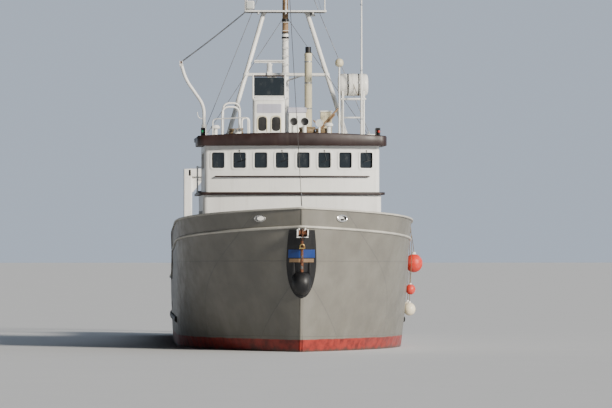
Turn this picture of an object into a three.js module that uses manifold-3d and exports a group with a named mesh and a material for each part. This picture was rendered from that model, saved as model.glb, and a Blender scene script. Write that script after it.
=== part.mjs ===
// A steel stern trawler, 26.4 m long and 8 m wide, with its wheelhouse forward and its working deck aft.
// Millimetres, +Z up. The bow points to -Y and the port side is +X.
// The origin lies on the centreline at half length, at the height of the still water.
import * as THREE from 'three';
import { mergeVertices } from 'three/addons/utils/BufferGeometryUtils.js';
import Module from 'manifold-3d';

const wasm = await Module();
wasm.setup();

// Driving dimensions.
const LENGTH = 26400;
const DRAFT = 3300;
const STEM_HALF = 60;
const CAP_BOW = 4800;
const CAP_MID = 3950;
const BULWARK_BOW = 600;
const FOREDECK_DROP = 700;
const BREAK = 13000;
const MAIN_DECK = 1150;
const AFT_CAP = 2350;
const WALL = 90;
const GAP = 0.3;
const RUNNING_GAP = 0.5;
const RAMP_HALF = 1250;
const RAMP_TOP = 23300;

const root = new THREE.Group();

// Paints and metals.
const paint = (color, roughness = 0.5, metalness = 0) =>
  new THREE.MeshStandardMaterial({ color, roughness, metalness });
const finishes = {
  hullGrey: paint(0x9d9c92, 0.55),
  white: paint(0xe9e8e1, 0.45),
  darkTrim: paint(0x33231f, 0.5),
  deckGrey: paint(0x6e716e, 0.8),
  glass: paint(0x0c1113, 0.1),
  black: paint(0x16171a, 0.6),
  cream: paint(0xd9d1ae, 0.5),
  steel: paint(0x7d7f80, 0.4, 0.7),
  rust: paint(0x6a4433, 0.8, 0.2),
  bronze: paint(0xa8843f, 0.35, 0.9),
  orange: paint(0xe2442b, 0.45),
  ivory: paint(0xe6dcc2, 0.5),
  net: paint(0x2f6a4c, 0.9),
  engine: paint(0x4d5f53, 0.5),
};

// Y of a point that lies this far aft of the stem head.
const aft = (distance) => distance - LENGTH / 2;
const mix = (a, b, share) => a + (b - a) * share;

// A closed geometry as a solid, placed as it stands.
function solid(geometry) {
  const loose = geometry.index ? geometry.toNonIndexed() : geometry;
  const bare = new THREE.BufferGeometry();
  bare.setAttribute('position', loose.getAttribute('position'));
  const merged = mergeVertices(bare, 1e-3);
  return new wasm.Manifold(new wasm.Mesh({
    numProp: 3,
    vertProperties: merged.attributes.position.array,
    triVerts: new Uint32Array(merged.index.array),
  }));
}

const join = (...solids) => solids.reduce((sum, next) => sum.add(next));
const cut = (body, ...tools) => tools.reduce((rest, tool) => rest.subtract(tool), body);

// The triangles of a solid.
function geometryOf(body) {
  const { numProp, vertProperties, triVerts } = body.getMesh();
  const geometry = new THREE.BufferGeometry();
  const positions = new Float32Array((vertProperties.length / numProp) * 3);
  for (let i = 0; i < positions.length / 3; i++) {
    positions.set(vertProperties.subarray(i * numProp, i * numProp + 3), i * 3);
  }
  geometry.setAttribute('position', new THREE.BufferAttribute(positions, 3));
  geometry.setIndex(new THREE.BufferAttribute(new Uint32Array(triVerts), 1));
  return geometry;
}

// The same body on the other side of the ship.
function mirrored(body) {
  const geometry = geometryOf(body);
  geometry.scale(-1, 1, 1);
  geometry.setIndex([...geometry.index.array].reverse());
  return solid(geometry);
}

// Adds one named mesh of one solid to the model.
function add(name, body, material) {
  const mesh = new THREE.Mesh(geometryOf(body), material);
  mesh.name = name;
  root.add(mesh);
}

// Adds a body and its mirror image as port and starboard pieces.
function addPair(name, body, material) {
  add(`${name}_port`, body, material);
  add(`${name}_starboard`, mirrored(body), material);
}

// A box between two corners. d0 and d1 are distances aft of the stem head.
function block(x0, x1, d0, d1, z0, z1) {
  const box = new THREE.BoxGeometry(x1 - x0, d1 - d0, z1 - z0);
  box.translate((x0 + x1) / 2, aft((d0 + d1) / 2), (z0 + z1) / 2);
  return solid(box);
}

// A point from its x, its distance aft of the stem head and its height.
const at = (x, distance, z) => new THREE.Vector3(x, aft(distance), z);

// A round bar between two points. Its facets start at the angle given.
function rod(from, to, radius, sides = 8, endRadius = radius, angle = 0) {
  const axis = to.clone().sub(from);
  const bar = new THREE.CylinderGeometry(endRadius, radius, axis.length(), sides, 1, false, angle);
  const turn = new THREE.Quaternion().setFromUnitVectors(
    new THREE.Vector3(0, 1, 0),
    axis.clone().normalize(),
  );
  bar.applyQuaternion(turn);
  const middle = from.clone().add(to).multiplyScalar(0.5);
  bar.translate(middle.x, middle.y, middle.z);
  return solid(bar);
}

// A round bar bent through a row of points, and mitred at each inner one.
function pipe(points, radius, sides = 8) {
  const along = points.slice(1).map((point, i) => point.clone().sub(points[i]).normalize());
  const aside = new THREE.Vector3(0.2, 0.1, 1).cross(along[0]).normalize();
  const across = along[0].clone().cross(aside);
  let ring = Array.from({ length: sides }, (_, i) => {
    const turn = (2 * Math.PI * i) / sides;
    return points[0].clone()
      .addScaledVector(aside, radius * Math.cos(turn))
      .addScaledVector(across, radius * Math.sin(turn));
  });
  const vertices = [...ring];
  points.slice(1).forEach((point, i) => {
    const mitre = along[i].clone().add(along[i + 1] ?? along[i]);
    ring = ring.map((p) => {
      const reach = point.clone().sub(p).dot(mitre) / along[i].dot(mitre);
      return p.clone().addScaledVector(along[i], reach);
    });
    vertices.push(...ring);
  });
  const index = [];
  const last = vertices.length - sides;
  for (let start = 0; start < last; start += sides) {
    for (let i = 0; i < sides; i++) {
      const [a, b] = [start + i, start + ((i + 1) % sides)];
      index.push(a, b, b + sides, a, b + sides, a + sides);
    }
  }
  for (let i = 1; i < sides - 1; i++) index.push(0, i + 1, i, last, last + i, last + i + 1);
  const bar = new THREE.BufferGeometry().setFromPoints(vertices);
  bar.setIndex(index);
  return solid(bar);
}

// A shaft or pin. It is turned by half a facet, so that its edges run close to the flats of its bore.
const spindle = (from, to, radius, sides = 12) => rod(from, to, radius, sides, radius, Math.PI / sides);

// Bodies of one outline. The outline is in the plane named, and the depth runs across it.
const PLANES = {
  plan: [new THREE.Vector3(1, 0, 0), new THREE.Vector3(0, 1, 0), new THREE.Vector3(0, 0, 1)],
  side: [new THREE.Vector3(0, 1, 0), new THREE.Vector3(0, 0, 1), new THREE.Vector3(1, 0, 0)],
  front: [new THREE.Vector3(1, 0, 0), new THREE.Vector3(0, 0, 1), new THREE.Vector3(0, -1, 0)],
};

function prism(outline, plane, start, depth, curveSegments = 4) {
  const shape = outline instanceof THREE.Shape
    ? outline
    : new THREE.Shape(outline.map(([x, y]) => new THREE.Vector2(x, y)));
  const body = new THREE.ExtrudeGeometry(shape, { depth, bevelEnabled: false, curveSegments });
  body.translate(0, 0, start);
  body.applyMatrix4(new THREE.Matrix4().makeBasis(...PLANES[plane]));
  return solid(body);
}

// A plate seen from the side: its outline is [distance aft of the stem head, height].
const sidePlate = (points, x0, x1) =>
  prism(points.map(([distance, z]) => [aft(distance), z]), 'side', x0, x1 - x0);

// A body turned round a line through centre, along the x, y or z axis, from [radius, along] pairs.
function turned(profile, centre, axis, sides = 20) {
  const body = new THREE.LatheGeometry(profile.map(([r, h]) => new THREE.Vector2(r, h)), sides);
  if (axis === 'x') body.rotateZ(-Math.PI / 2);
  if (axis === 'z') body.rotateX(Math.PI / 2);
  body.translate(centre.x, centre.y, centre.z);
  return solid(body);
}

// The radius of a faceted hole in which a faceted shaft of the given radius turns freely.
const boreFor = (radius, sides) => radius / Math.cos(Math.PI / sides) + RUNNING_GAP;

// An upright hinge. Its lugs stand on a wall that looks aft, and a door's pin turns in their bores.
const HINGE = { pin: 11, sides: 12, reach: 24, thickness: 40, offset: 34, clear: 5 };
function hingeLugs({ x, wall, z0, z1 }) {
  const { reach, thickness, offset } = HINGE;
  const distance = wall + offset;
  const lug = (z) => block(x - reach, x + reach, wall - 5, distance + reach, z, z + thickness);
  const bore = rod(
    at(x, distance, z0 - thickness - 20), at(x, distance, z1 + thickness + 20),
    boreFor(HINGE.pin, HINGE.sides), HINGE.sides,
  );
  return { lugs: [lug(z0 - thickness), lug(z1)], bore };
}

// A door leaf with its pin and its handle. It reaches from its hinge to x1.
function doorLeaf({ x, wall, z0, z1 }, x1) {
  const distance = wall + HINGE.offset;
  const side = Math.sign(x1 - x);
  const pin = spindle(at(x, distance, z0 - HINGE.thickness), at(x, distance, z1 + HINGE.thickness), HINGE.pin);
  const leaf = block(Math.min(x, x1), Math.max(x, x1), distance - 12, distance + 12, z0 + HINGE.clear, z1 - HINGE.clear);
  const middle = mix(z0, z1, 0.5);
  const handle = block(
    Math.min(x1 - side * 60, x1 - side * 200), Math.max(x1 - side * 60, x1 - side * 200),
    distance, distance + 45, middle - 14, middle + 14,
  );
  return join(pin, leaf, handle);
}

// Hull form. Each level is a line along the hull, from the centreline of the bottom to the cap of the bulwark.
// stemZ, midZ, sternZ: its height at the stem, amidships and at the transom.
// half, sternHalf: its half breadth amidships and at the transom.
// entrance, fullness: how far it takes to reach full breadth, and how bluffly.
const LEVELS = [
  { name: 'bottom', stemZ: -2300, midZ: -2650, sternZ: -450, half: 0, sternHalf: 0, entrance: 9000, fullness: 2 },
  { name: 'lowBilge', stemZ: -2150, midZ: -2150, sternZ: -330, half: 2400, sternHalf: 1900, entrance: 10500, fullness: 1.6 },
  { name: 'bilge', stemZ: -1500, midZ: -1350, sternZ: -150, half: 3550, sternHalf: 2900, entrance: 9800, fullness: 1.9 },
  { name: 'water', stemZ: -300, midZ: -250, sternZ: 150, half: 3880, sternHalf: 3450, entrance: 9000, fullness: 2.2 },
  { name: 'bootTop', stemZ: 450, midZ: 450, sternZ: 450, half: 3930, sternHalf: 3600, entrance: 8600, fullness: 2.35 },
  { name: 'topside', stemZ: 2300, midZ: 1800, sternZ: 1800, half: 3980, sternHalf: 3680, entrance: 8000, fullness: 2.6 },
  { name: 'knuckle', stemZ: 4200, midZ: 3350, sternZ: 3350, half: 4000, sternHalf: 3700, entrance: 7300, fullness: 2.9 },
  { name: 'cap', stemZ: 4800, midZ: 3950, sternZ: 3950, half: 4040, sternHalf: 3720, entrance: 7000, fullness: 3 },
];
const STEM_RAKE = 1300;
const FOREFOOT_SWEEP = 1700;
const SHEER_END = 14000;
const RUN_START = 15500;
const STATIONS = 16;
const BOW_CROWDING = 1.5;

// How far aft of the stem head the stem lies at height z.
function stemAt(z) {
  if (z >= 0) return STEM_RAKE * (1 - z / CAP_BOW) ** 1.3;
  return STEM_RAKE + FOREFOOT_SWEEP * (-z / 2300) ** 2;
}

// The height of a level at a distance aft of the stem head.
function levelHeight(level, distance) {
  if (distance < SHEER_END) {
    return level.midZ + (level.stemZ - level.midZ) * (1 - Math.max(distance, 0) / SHEER_END) ** 1.25;
  }
  const run = Math.max(0, (distance - RUN_START) / (LENGTH - RUN_START));
  return level.midZ + (level.sternZ - level.midZ) * run ** 1.25;
}

// The half breadth of a level at a distance aft of the stem head.
function levelHalf(level, distance) {
  const entry = Math.min(1, Math.max(0, (distance - stemAt(level.stemZ)) / level.entrance));
  const run = Math.max(0, (distance - RUN_START) / (LENGTH - RUN_START));
  const full = level.half - (level.half - level.sternHalf) * run ** 2;
  return STEM_HALF + (full - STEM_HALF) * (1 - (1 - entry) ** level.fullness);
}

// The half breadth of the hull at a distance and a height, straight between levels.
function halfAt(distance, z) {
  const heights = LEVELS.map((level) => levelHeight(level, distance));
  const i = Math.min(LEVELS.length - 2, Math.max(0, heights.findIndex((h) => h > z) - 1));
  const above = heights.findIndex((h) => h > z) < 0 ? LEVELS.length - 2 : i;
  const share = (z - heights[above]) / (heights[above + 1] - heights[above]);
  return mix(levelHalf(LEVELS[above], distance), levelHalf(LEVELS[above + 1], distance), share);
}

// The triangles round a sleeve of rings, each ring from the port side to the starboard side.
// The two sides' diagonals mirror each other.
function sleeve(steps, columns) {
  const index = [];
  for (let row = 0; row < steps; row++) {
    for (let column = 0; column < columns; column++) {
      const [a, b] = [row * columns + column, row * columns + ((column + 1) % columns)];
      const [c, d] = [b + columns, a + columns];
      if (column < (columns - 1) / 2) index.push(a, b, c, a, c, d);
      else index.push(a, b, d, b, c, d);
    }
  }
  return index;
}

// The outer form of hull and bulwarks as one solid, grown outward by a little where asked.
function envelope(grow = 0) {
  const columns = LEVELS.length * 2 - 1;
  const points = [];
  for (let row = 0; row <= STATIONS; row++) {
    const share = (row / STATIONS) ** BOW_CROWDING;
    const port = LEVELS.map((level) => {
      const start = stemAt(level.stemZ) - grow;
      const distance = mix(start, LENGTH + grow, share);
      const half = level.half === 0 ? 0 : levelHalf(level, distance) + grow;
      return at(half, distance, levelHeight(level, distance) - (level.half === 0 ? grow : 0));
    });
    const starboard = port.slice(1).map((p) => new THREE.Vector3(-p.x, p.y, p.z));
    points.push(...port.slice().reverse(), ...starboard);
  }
  const index = sleeve(STATIONS, columns);
  const id = (row, column) => row * columns + column;
  const quad = (a, b, c, d) => index.push(a, b, c, a, c, d);
  for (let k = 0; k < LEVELS.length - 1; k++) {
    const mirror = columns - 1 - k;
    const centre = k + 1 === mirror - 1;
    for (const [row, flip] of [[0, false], [STATIONS, true]]) {
      const corners = [id(row, k), id(row, mirror), id(row, mirror - 1), id(row, k + 1)];
      if (flip) corners.reverse();
      if (centre || corners[2] === corners[3] || corners[0] === corners[1]) {
        const [a, b, c] = [...new Set(corners)];
        index.push(a, b, c);
      } else {
        quad(...corners);
      }
    }
  }
  const geometry = new THREE.BufferGeometry().setFromPoints(points);
  geometry.setIndex(index);
  const made = solid(geometry);
  if (made.volume() < 0) throw new Error('the hull form is inside out');
  return made;
}

// Hull and decks.
const HOLD = { from: 16300, to: 19300, half: 2100, floor: -1500 };
const HATCH = { from: 17000, to: 18900, half: 950, height: 600, wall: 80 };
const CABIN = { from: 9600, half: 2300, wall: 110, ceiling: 3050 };
const ENGINE_ROOM = { from: 9800, to: 14800, half: 1600, floor: -1700, ceiling: 900 };
const STAIRWELL = { half: 500, from: 10200, to: 11400 };
const DOORWAY = { x: -900, half: 375, sill: 1350, top: 3000 };
const SHAFT = { z: -2300, radius: 80, sides: 16, mouth: 22350 };
const STOCK = { distance: 23900, radius: 75, sides: 16, top: -700 };
const SHOE_TOP = -3170;
const HIGH = 9000;
const WIDE = 6000;

const foredeck = (distance) => levelHeight(LEVELS.at(-1), distance) - FOREDECK_DROP;

// Everything above a line given as [distance, height] pairs, as seen from the side.
function above(line) {
  const [first, last] = [line[0][0], line.at(-1)[0]];
  return sidePlate([...line, [last, HIGH], [first, HIGH]], -WIDE, WIDE);
}

const everyStep = (from, to, steps) =>
  Array.from({ length: steps + 1 }, (_, i) => mix(from, to, i / steps));

const FOREDECK_STEPS = everyStep(-600, BREAK + 2, 8);
const foredeckLine = (lift) => FOREDECK_STEPS.map((d) => [d, foredeck(d) + lift]);

// The bulwark sweeps down from the forecastle to the working deck, and rises a little to the stern.
const SHEER_LINE = [
  [11900, CAP_MID + 300], [11900, 3985], [12300, 3930], [12700, 3740], [13100, 3420], [13600, 2930],
  [14000, 2640], [14400, 2450], [14900, AFT_CAP], [20000, AFT_CAP], [LENGTH + 600, AFT_CAP + 150],
];

// The space inside the bulwarks, above a deck: the hull's own breadth less the wall.
function well(from, to, floor, steps, crowding = 1, wall = WALL) {
  const rows = everyStep(0, 1, steps).map((share) => mix(from, to, share ** crowding));
  const points = rows.flatMap((distance) => {
    const low = floor(distance);
    const cap = levelHeight(LEVELS.at(-1), distance);
    const knuckle = Math.max(low + 1, cap - BULWARK_BOW);
    const side = [[low, low], [knuckle, knuckle], [cap, cap], [cap + 900, cap]].map(
      ([z, level]) => at(Math.max(20, halfAt(distance, level) - wall), distance, z),
    );
    return [...side.slice().reverse(), ...side.map((p) => new THREE.Vector3(-p.x, p.y, p.z))];
  });
  const columns = 8;
  const index = sleeve(steps, columns);
  const quad = (a, b, c, d) => index.push(a, b, c, a, c, d);
  for (let k = 0; k < columns / 2 - 1; k++) {
    const ring = [k, columns - 1 - k, columns - 2 - k, k + 1];
    quad(...ring);
    quad(...ring.map((i) => i + steps * columns).reverse());
  }
  const geometry = new THREE.BufferGeometry().setFromPoints(points);
  geometry.setIndex(index);
  return solid(geometry);
}

const form = envelope();
const clearOfHull = envelope(GAP);
const foreFloor = (distance) => foredeck(distance) - 60;
const foreWell = well(230, BREAK + 1, foreFloor, 10, 1.5);
const aftWell = well(BREAK - 50, LENGTH - WALL, () => MAIN_DECK, 6);
const aboveForedeck = above(foredeckLine(GAP));
const aboveSheer = above(SHEER_LINE);

// The stern ramp runs from the working deck down to the foot of the transom.
const RAMP_FOOT = [LENGTH + 200, 60];
const ramp = sidePlate(
  [[RAMP_TOP, MAIN_DECK], RAMP_FOOT, [LENGTH + 200, HIGH], [RAMP_TOP, HIGH]],
  -RAMP_HALF,
  RAMP_HALF,
);

// A bar keel with a skeg, and a shoe that carries the rudder's heel.
function keel() {
  const outline = [
    [2700, -1900], [3150, -2350], [4300, -2800], [6500, -3050], [24350, -DRAFT], [24350, SHOE_TOP], [SHAFT.mouth, SHOE_TOP],
    [SHAFT.mouth, -1250], [19000, -1500], [9000, -2300],
  ];
  const boss = turned([[0, -900], [230, -900], [230, 900], [0, 900]], at(0, SHAFT.mouth - 900, SHAFT.z), 'y', 16);
  return join(sidePlate(outline, -150, 150), boss);
}

const shaftBore = rod(
  at(0, SHAFT.mouth - 450, SHAFT.z), at(0, SHAFT.mouth + 50, SHAFT.z),
  boreFor(SHAFT.radius, SHAFT.sides), SHAFT.sides,
);

// The rudder's stock turns in a trunk, and its heel in a hole in the shoe.
const rudderBores = [[-1600, STOCK.top + 20], [SHOE_TOP - 90, SHOE_TOP + 50]].map(([z0, z1]) => rod(
  at(0, STOCK.distance, z0), at(0, STOCK.distance, z1), boreFor(STOCK.radius, STOCK.sides), STOCK.sides,
));

const hold = join(
  block(-HOLD.half, HOLD.half, HOLD.from, HOLD.to, HOLD.floor, MAIN_DECK - 150),
  block(-HATCH.half, HATCH.half, HATCH.from, HATCH.to, 0, MAIN_DECK + 100),
);

const stairwell = block(
  -STAIRWELL.half, STAIRWELL.half, STAIRWELL.from, STAIRWELL.to, ENGINE_ROOM.ceiling - 50, MAIN_DECK + 100,
);
const engineRoom = join(
  block(-ENGINE_ROOM.half, ENGINE_ROOM.half, ENGINE_ROOM.from, ENGINE_ROOM.to, ENGINE_ROOM.floor, ENGINE_ROOM.ceiling),
  stairwell,
);

const belowDeck = block(-WIDE, WIDE, -1000, LENGTH + 1000, -5000, MAIN_DECK);
const hull = cut(
  join(form.intersect(belowDeck), keel()),
  ramp,
  hold,
  engineRoom,
  shaftBore,
  ...rudderBores,
);
add('hull', hull, finishes.hullGrey);

// The forecastle is the raised bow, with a cabin that opens on to the working deck.
const foreEnd = block(-WIDE, WIDE, -1000, BREAK, MAIN_DECK + GAP, HIGH);
const cabin = join(
  block(-CABIN.half, CABIN.half, CABIN.from, BREAK - CABIN.wall, MAIN_DECK + 60, CABIN.ceiling),
  block(DOORWAY.x - DOORWAY.half, DOORWAY.x + DOORWAY.half, BREAK - 300, BREAK + 50, DOORWAY.sill, DOORWAY.top),
  stairwell,
);
const CABIN_DOOR = { x: DOORWAY.x - DOORWAY.half - 60, wall: BREAK, z0: DOORWAY.sill - 40, z1: DOORWAY.top + 40 };
const cabinHinge = hingeLugs(CABIN_DOOR);
const forecastle = cut(form.intersect(foreEnd), above(foredeckLine(0)), cabin);
add('forecastle', cut(join(forecastle, ...cabinHinge.lugs), cabinHinge.bore), finishes.hullGrey);
add('forecastle_door', doorLeaf(CABIN_DOOR, DOORWAY.x + DOORWAY.half + 40), finishes.white);

// Bulwarks, each with its cap rail. The bow's also has a knuckle rail at its foot and two fairleads.
const FAIRLEAD = { x: 1250, distance: 1000, z: 4430, width: 420, height: 200 };
const CAP_RAIL = { proud: 60, depth: 60 };
const KNUCKLE_RAIL = { proud: 70, height: 90, foot: 10 };
const GUARD = { proud: 90, top: 1050, height: 220, from: 8600 };

const lifted = (line, lift) => line.map(([d, z]) => [d, z + lift]);

// The strip between two lines of [distance, height] pairs, as seen from the side.
const strip = (low, high) => sidePlate([...low, ...high.slice().reverse()], -WIDE, WIDE);

const capLine = [
  ...everyStep(-600, 11900, 8).map((d) => [d, levelHeight(LEVELS.at(-1), d)]),
  ...SHEER_LINE.slice(1),
];
const capRailForm = envelope(CAP_RAIL.proud).intersect(strip(lifted(capLine, -CAP_RAIL.depth), capLine));
const railWall = WALL + CAP_RAIL.proud;
const plating = cut(form, above(lifted(capLine, -CAP_RAIL.depth / 2)));

function bowBulwark() {
  const shell = cut(plating, foreWell);
  const capRail = cut(capRailForm, well(330, BREAK + 1, foreFloor, 10, 1.5, railWall));
  const knuckleRail = envelope(KNUCKLE_RAIL.proud).intersect(
    strip(foredeckLine(KNUCKLE_RAIL.foot), foredeckLine(KNUCKLE_RAIL.foot + KNUCKLE_RAIL.height)),
  );
  const fairleads = [-1, 1].map((side) => {
    const hole = new THREE.CylinderGeometry(FAIRLEAD.height / 2, FAIRLEAD.height / 2, 1500, 10);
    hole.scale(FAIRLEAD.width / FAIRLEAD.height, 1, 1);
    hole.rotateZ(side * 0.65);
    hole.translate(side * FAIRLEAD.x, aft(FAIRLEAD.distance), FAIRLEAD.z);
    return solid(hole);
  });
  const whole = join(shell, capRail, cut(knuckleRail, foreWell));
  return cut(whole.intersect(foreEnd).intersect(aboveForedeck), ...fairleads);
}
add('bulwark_bow', bowBulwark(), finishes.hullGrey);

// The working deck's bulwarks run aft from the forecastle and across the transom to the ramp.
// Freeing ports let the water out at deck level.
const FREEING_PORT = { length: 700, height: 220, lift: 90, places: [15600, 17900, 20200, 22500] };
const CHEEK = { from: RAMP_TOP - 250, inner: RAMP_HALF + 10 };
const GATE = { distance: 23150, pinZ: 1215, pin: 20, half: 1235, top: 2250, thickness: 40 };
const gateBore = rod(at(-1500, GATE.distance, GATE.pinZ), at(1500, GATE.distance, GATE.pinZ), boreFor(GATE.pin, 12), 12);

function portBulwark() {
  const afterEnd = block(CHEEK.inner, WIDE, BREAK + GAP, LENGTH + 1000, MAIN_DECK + GAP, HIGH);
  const inside = well(BREAK - 50, LENGTH - railWall, () => MAIN_DECK, 6, 1, railWall);
  const capRail = cut(capRailForm, inside);
  const cheek = cut(
    block(CHEEK.inner, CHEEK.inner + WALL, CHEEK.from, LENGTH - 20, MAIN_DECK, AFT_CAP + 400),
    aboveSheer,
  );
  const ports = FREEING_PORT.places.map((d) => block(
    2000, WIDE, d, d + FREEING_PORT.length,
    MAIN_DECK + FREEING_PORT.lift, MAIN_DECK + FREEING_PORT.lift + FREEING_PORT.height,
  ));
  return cut(join(cut(plating, aftWell), capRail, cheek).intersect(afterEnd), ...ports, gateBore);
}
addPair('bulwark', portBulwark(), finishes.hullGrey);

// A heavy guard on the side at deck level.
function portGuard() {
  const side = block(CHEEK.inner, WIDE, GUARD.from, LENGTH + 400, GUARD.top - GUARD.height, GUARD.top);
  return cut(envelope(GUARD.proud).intersect(side), clearOfHull);
}
addPair('guard', portGuard(), finishes.black);

// Superstructure. In plan it has a curved front with round corners, straight sides and a flat back.
const HOUSE = { front: 6900, bulge: 420, corner: 200, half: 3080, aft: 12950 };
const BOAT_DECK = { z: 5260, thickness: 90, overhang: 130, aft: 13900 };
const WHEELHOUSE = { inset: 60, aft: 11900, floor: BOAT_DECK.z + BOAT_DECK.thickness, wall: 70, top: 7150 };
const VISOR = { overhang: 190, foot: 6950, aft: 10000 };
const ROOF = { edge: 7290, crown: 7400, aft: 12100 };

// The plan outline of a house, grown or shrunk by a margin.
function houseOutline(margin, aftEnd, steps = 8) {
  const half = HOUSE.half + margin;
  const radius = (half ** 2 + HOUSE.bulge ** 2) / (2 * HOUSE.bulge);
  const arc = (x) => HOUSE.front - margin + radius - Math.sqrt(radius ** 2 - x ** 2);
  const corner = HOUSE.corner + margin * 0.5;
  const cheek = half - corner;
  const side = [0, 0.33, 0.67].map((share) => {
    const turn = (share * Math.PI) / 2;
    return [cheek + corner * Math.cos(turn), arc(cheek) + corner * (1 - Math.sin(turn))];
  });
  const port = [[half, aftEnd], ...side];
  const front = everyStep(cheek, -cheek, steps).map((x) => [x, arc(x)]);
  const starboard = port.map(([x, d]) => [-x, d]).reverse();
  return [...port, ...front, ...starboard].map(([x, d]) => [x, aft(d)]);
}

const house = (margin, aftEnd, z0, z1) => prism(houseOutline(margin, aftEnd), 'plan', z0, z1 - z0);

add('trunk', house(0, HOUSE.aft, 3000, BOAT_DECK.z - GAP).intersect(aboveForedeck), finishes.white);

// A rail of posts and two bars along a row of [x, distance] corners.
function railing(corners, foot, height, spacing = 1500) {
  const bars = [height / 2, height].map((lift) => pipe(corners.map(([x, d]) => at(x, d, foot + lift)), 20, 6));
  const posts = corners.slice(1).flatMap(([x, d], i) => {
    const [x0, d0] = corners[i];
    const count = Math.max(1, Math.round(Math.hypot(x - x0, d - d0) / spacing));
    return everyStep(0, 1, count).map((share) => {
      const [px, pd] = [mix(x0, x, share), mix(d0, d, share)];
      return rod(at(px, pd, foot - 20), at(px, pd, foot + height), 22, 6);
    });
  });
  return join(...bars, ...posts);
}

const deckTop = BOAT_DECK.z + BOAT_DECK.thickness;
const boatDeckRail = railing(
  [[3140, 12000], [3140, 13830], [-3140, 13830], [-3140, 12000]],
  deckTop, 950,
);
add('boat_deck', join(house(BOAT_DECK.overhang, BOAT_DECK.aft, BOAT_DECK.z, deckTop), boatDeckRail), finishes.darkTrim);

// The wheelhouse: a hollow case with windows all round and two doors aft.
const WINDOW = { sill: 6150, top: 6750, width: 500, pitch: 730, count: 8, corner: 70 };
const SIDE_WINDOWS = [[7950, 8850], [9050, 9950], [10150, 11050]];
const AFT_WINDOWS = [[-1400, -200], [200, 1400]];
const AFT_DOOR = { from: 1700, to: 2400, sill: deckTop + 90, top: 7060 };
const GRAB_RAIL = { z: 5890, proud: 70, radius: 24 };

const windowOutline = (a0, a1) => {
  const { sill, top, corner } = WINDOW;
  return [
    [a0 + corner, sill], [a1 - corner, sill], [a1, sill + corner], [a1, top - corner],
    [a1 - corner, top], [a0 + corner, top], [a0, top - corner], [a0, sill + corner],
  ];
};

function wheelhouseHoles() {
  const front = everyStep(-3.5, 3.5, WINDOW.count - 1).map((place) => {
    const middle = place * WINDOW.pitch;
    const outline = windowOutline(middle - WINDOW.width / 2, middle + WINDOW.width / 2);
    return prism(outline, 'front', -aft(8200), 1700);
  });
  const sides = SIDE_WINDOWS.map(([d0, d1]) =>
    sidePlate(windowOutline(d0, d1), -4000, 4000));
  const back = AFT_WINDOWS.map(([x0, x1]) => prism(windowOutline(x0, x1), 'front', -aft(12200), 600));
  const doors = [-1, 1].map((side) => block(
    Math.min(side * AFT_DOOR.from, side * AFT_DOOR.to), Math.max(side * AFT_DOOR.from, side * AFT_DOOR.to),
    WHEELHOUSE.aft - 200, WHEELHOUSE.aft + 200, AFT_DOOR.sill, AFT_DOOR.top,
  ));
  return [...front, ...sides, ...back, ...doors];
}

// The grab rail under the front windows, on short stubs.
function grabRail() {
  const outline = houseOutline(GRAB_RAIL.proud - WHEELHOUSE.inset, 0).slice(5, -5);
  const line = outline.map(([x, y]) => new THREE.Vector3(x, y, GRAB_RAIL.z));
  const inward = new THREE.Vector3(0, GRAB_RAIL.proud + 30, 0);
  const stubs = line.filter((_, i) => i % 2 === 0).map((p) => rod(p, p.clone().add(inward), 16, 6));
  return join(pipe(line, GRAB_RAIL.radius, 6), ...stubs);
}

const SIDE_DOOR = {
  x: AFT_DOOR.to + 60, wall: WHEELHOUSE.aft, z0: AFT_DOOR.sill - 40, z1: AFT_DOOR.top + 40,
};
function wheelhouse() {
  const { inset, wall, floor, top } = WHEELHOUSE;
  const shell = cut(
    house(-inset, WHEELHOUSE.aft, floor + GAP, top),
    house(-inset - wall, WHEELHOUSE.aft - wall, floor + 60, top + 50),
    ...wheelhouseHoles(),
  );
  const hinge = hingeLugs(SIDE_DOOR);
  const lugs = hinge.lugs.flatMap((lug) => [lug, mirrored(lug)]);
  return cut(join(shell, ...lugs, grabRail()), hinge.bore, mirrored(hinge.bore));
}
add('wheelhouse', wheelhouse(), finishes.white);
addPair('wheelhouse_door', doorLeaf(SIDE_DOOR, AFT_DOOR.from - 40), finishes.white);

// Panes stand against the inside of the walls.
const PANE = { thickness: 12, z0: WINDOW.sill - 60, z1: WINDOW.top + 60, aft: 11200 };
const innerMargin = -WHEELHOUSE.inset - WHEELHOUSE.wall - GAP;
const frontPane = cut(
  house(innerMargin, PANE.aft, PANE.z0, PANE.z1),
  house(innerMargin - PANE.thickness, PANE.aft + 100, PANE.z0 - 10, PANE.z1 + 10),
);
add('wheelhouse_glass', frontPane, finishes.glass);
const backWall = WHEELHOUSE.aft - WHEELHOUSE.wall - GAP;
add('wheelhouse_glass_aft', block(-1500, 1500, backWall - PANE.thickness, backWall, PANE.z0, PANE.z1), finishes.glass);

// The roof is a cambered slab, with a deep visor round the front and the sides.
const camber = (x) => ROOF.crown - (ROOF.crown - ROOF.edge) * (x / 3300) ** 2;
const underCamber = (lift) => {
  const line = everyStep(-3900, 3900, 10).map((x) => [x, camber(x) + lift]);
  return prism([...line, [3900, 5000], [-3900, 5000]], 'front', -aft(12600), 8000);
};
const underRoof = underCamber(GAP);
const DAVIT = { x: -2950, distance: 10800, pin: 40, sides: 12, socketTop: 7700 };

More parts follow.
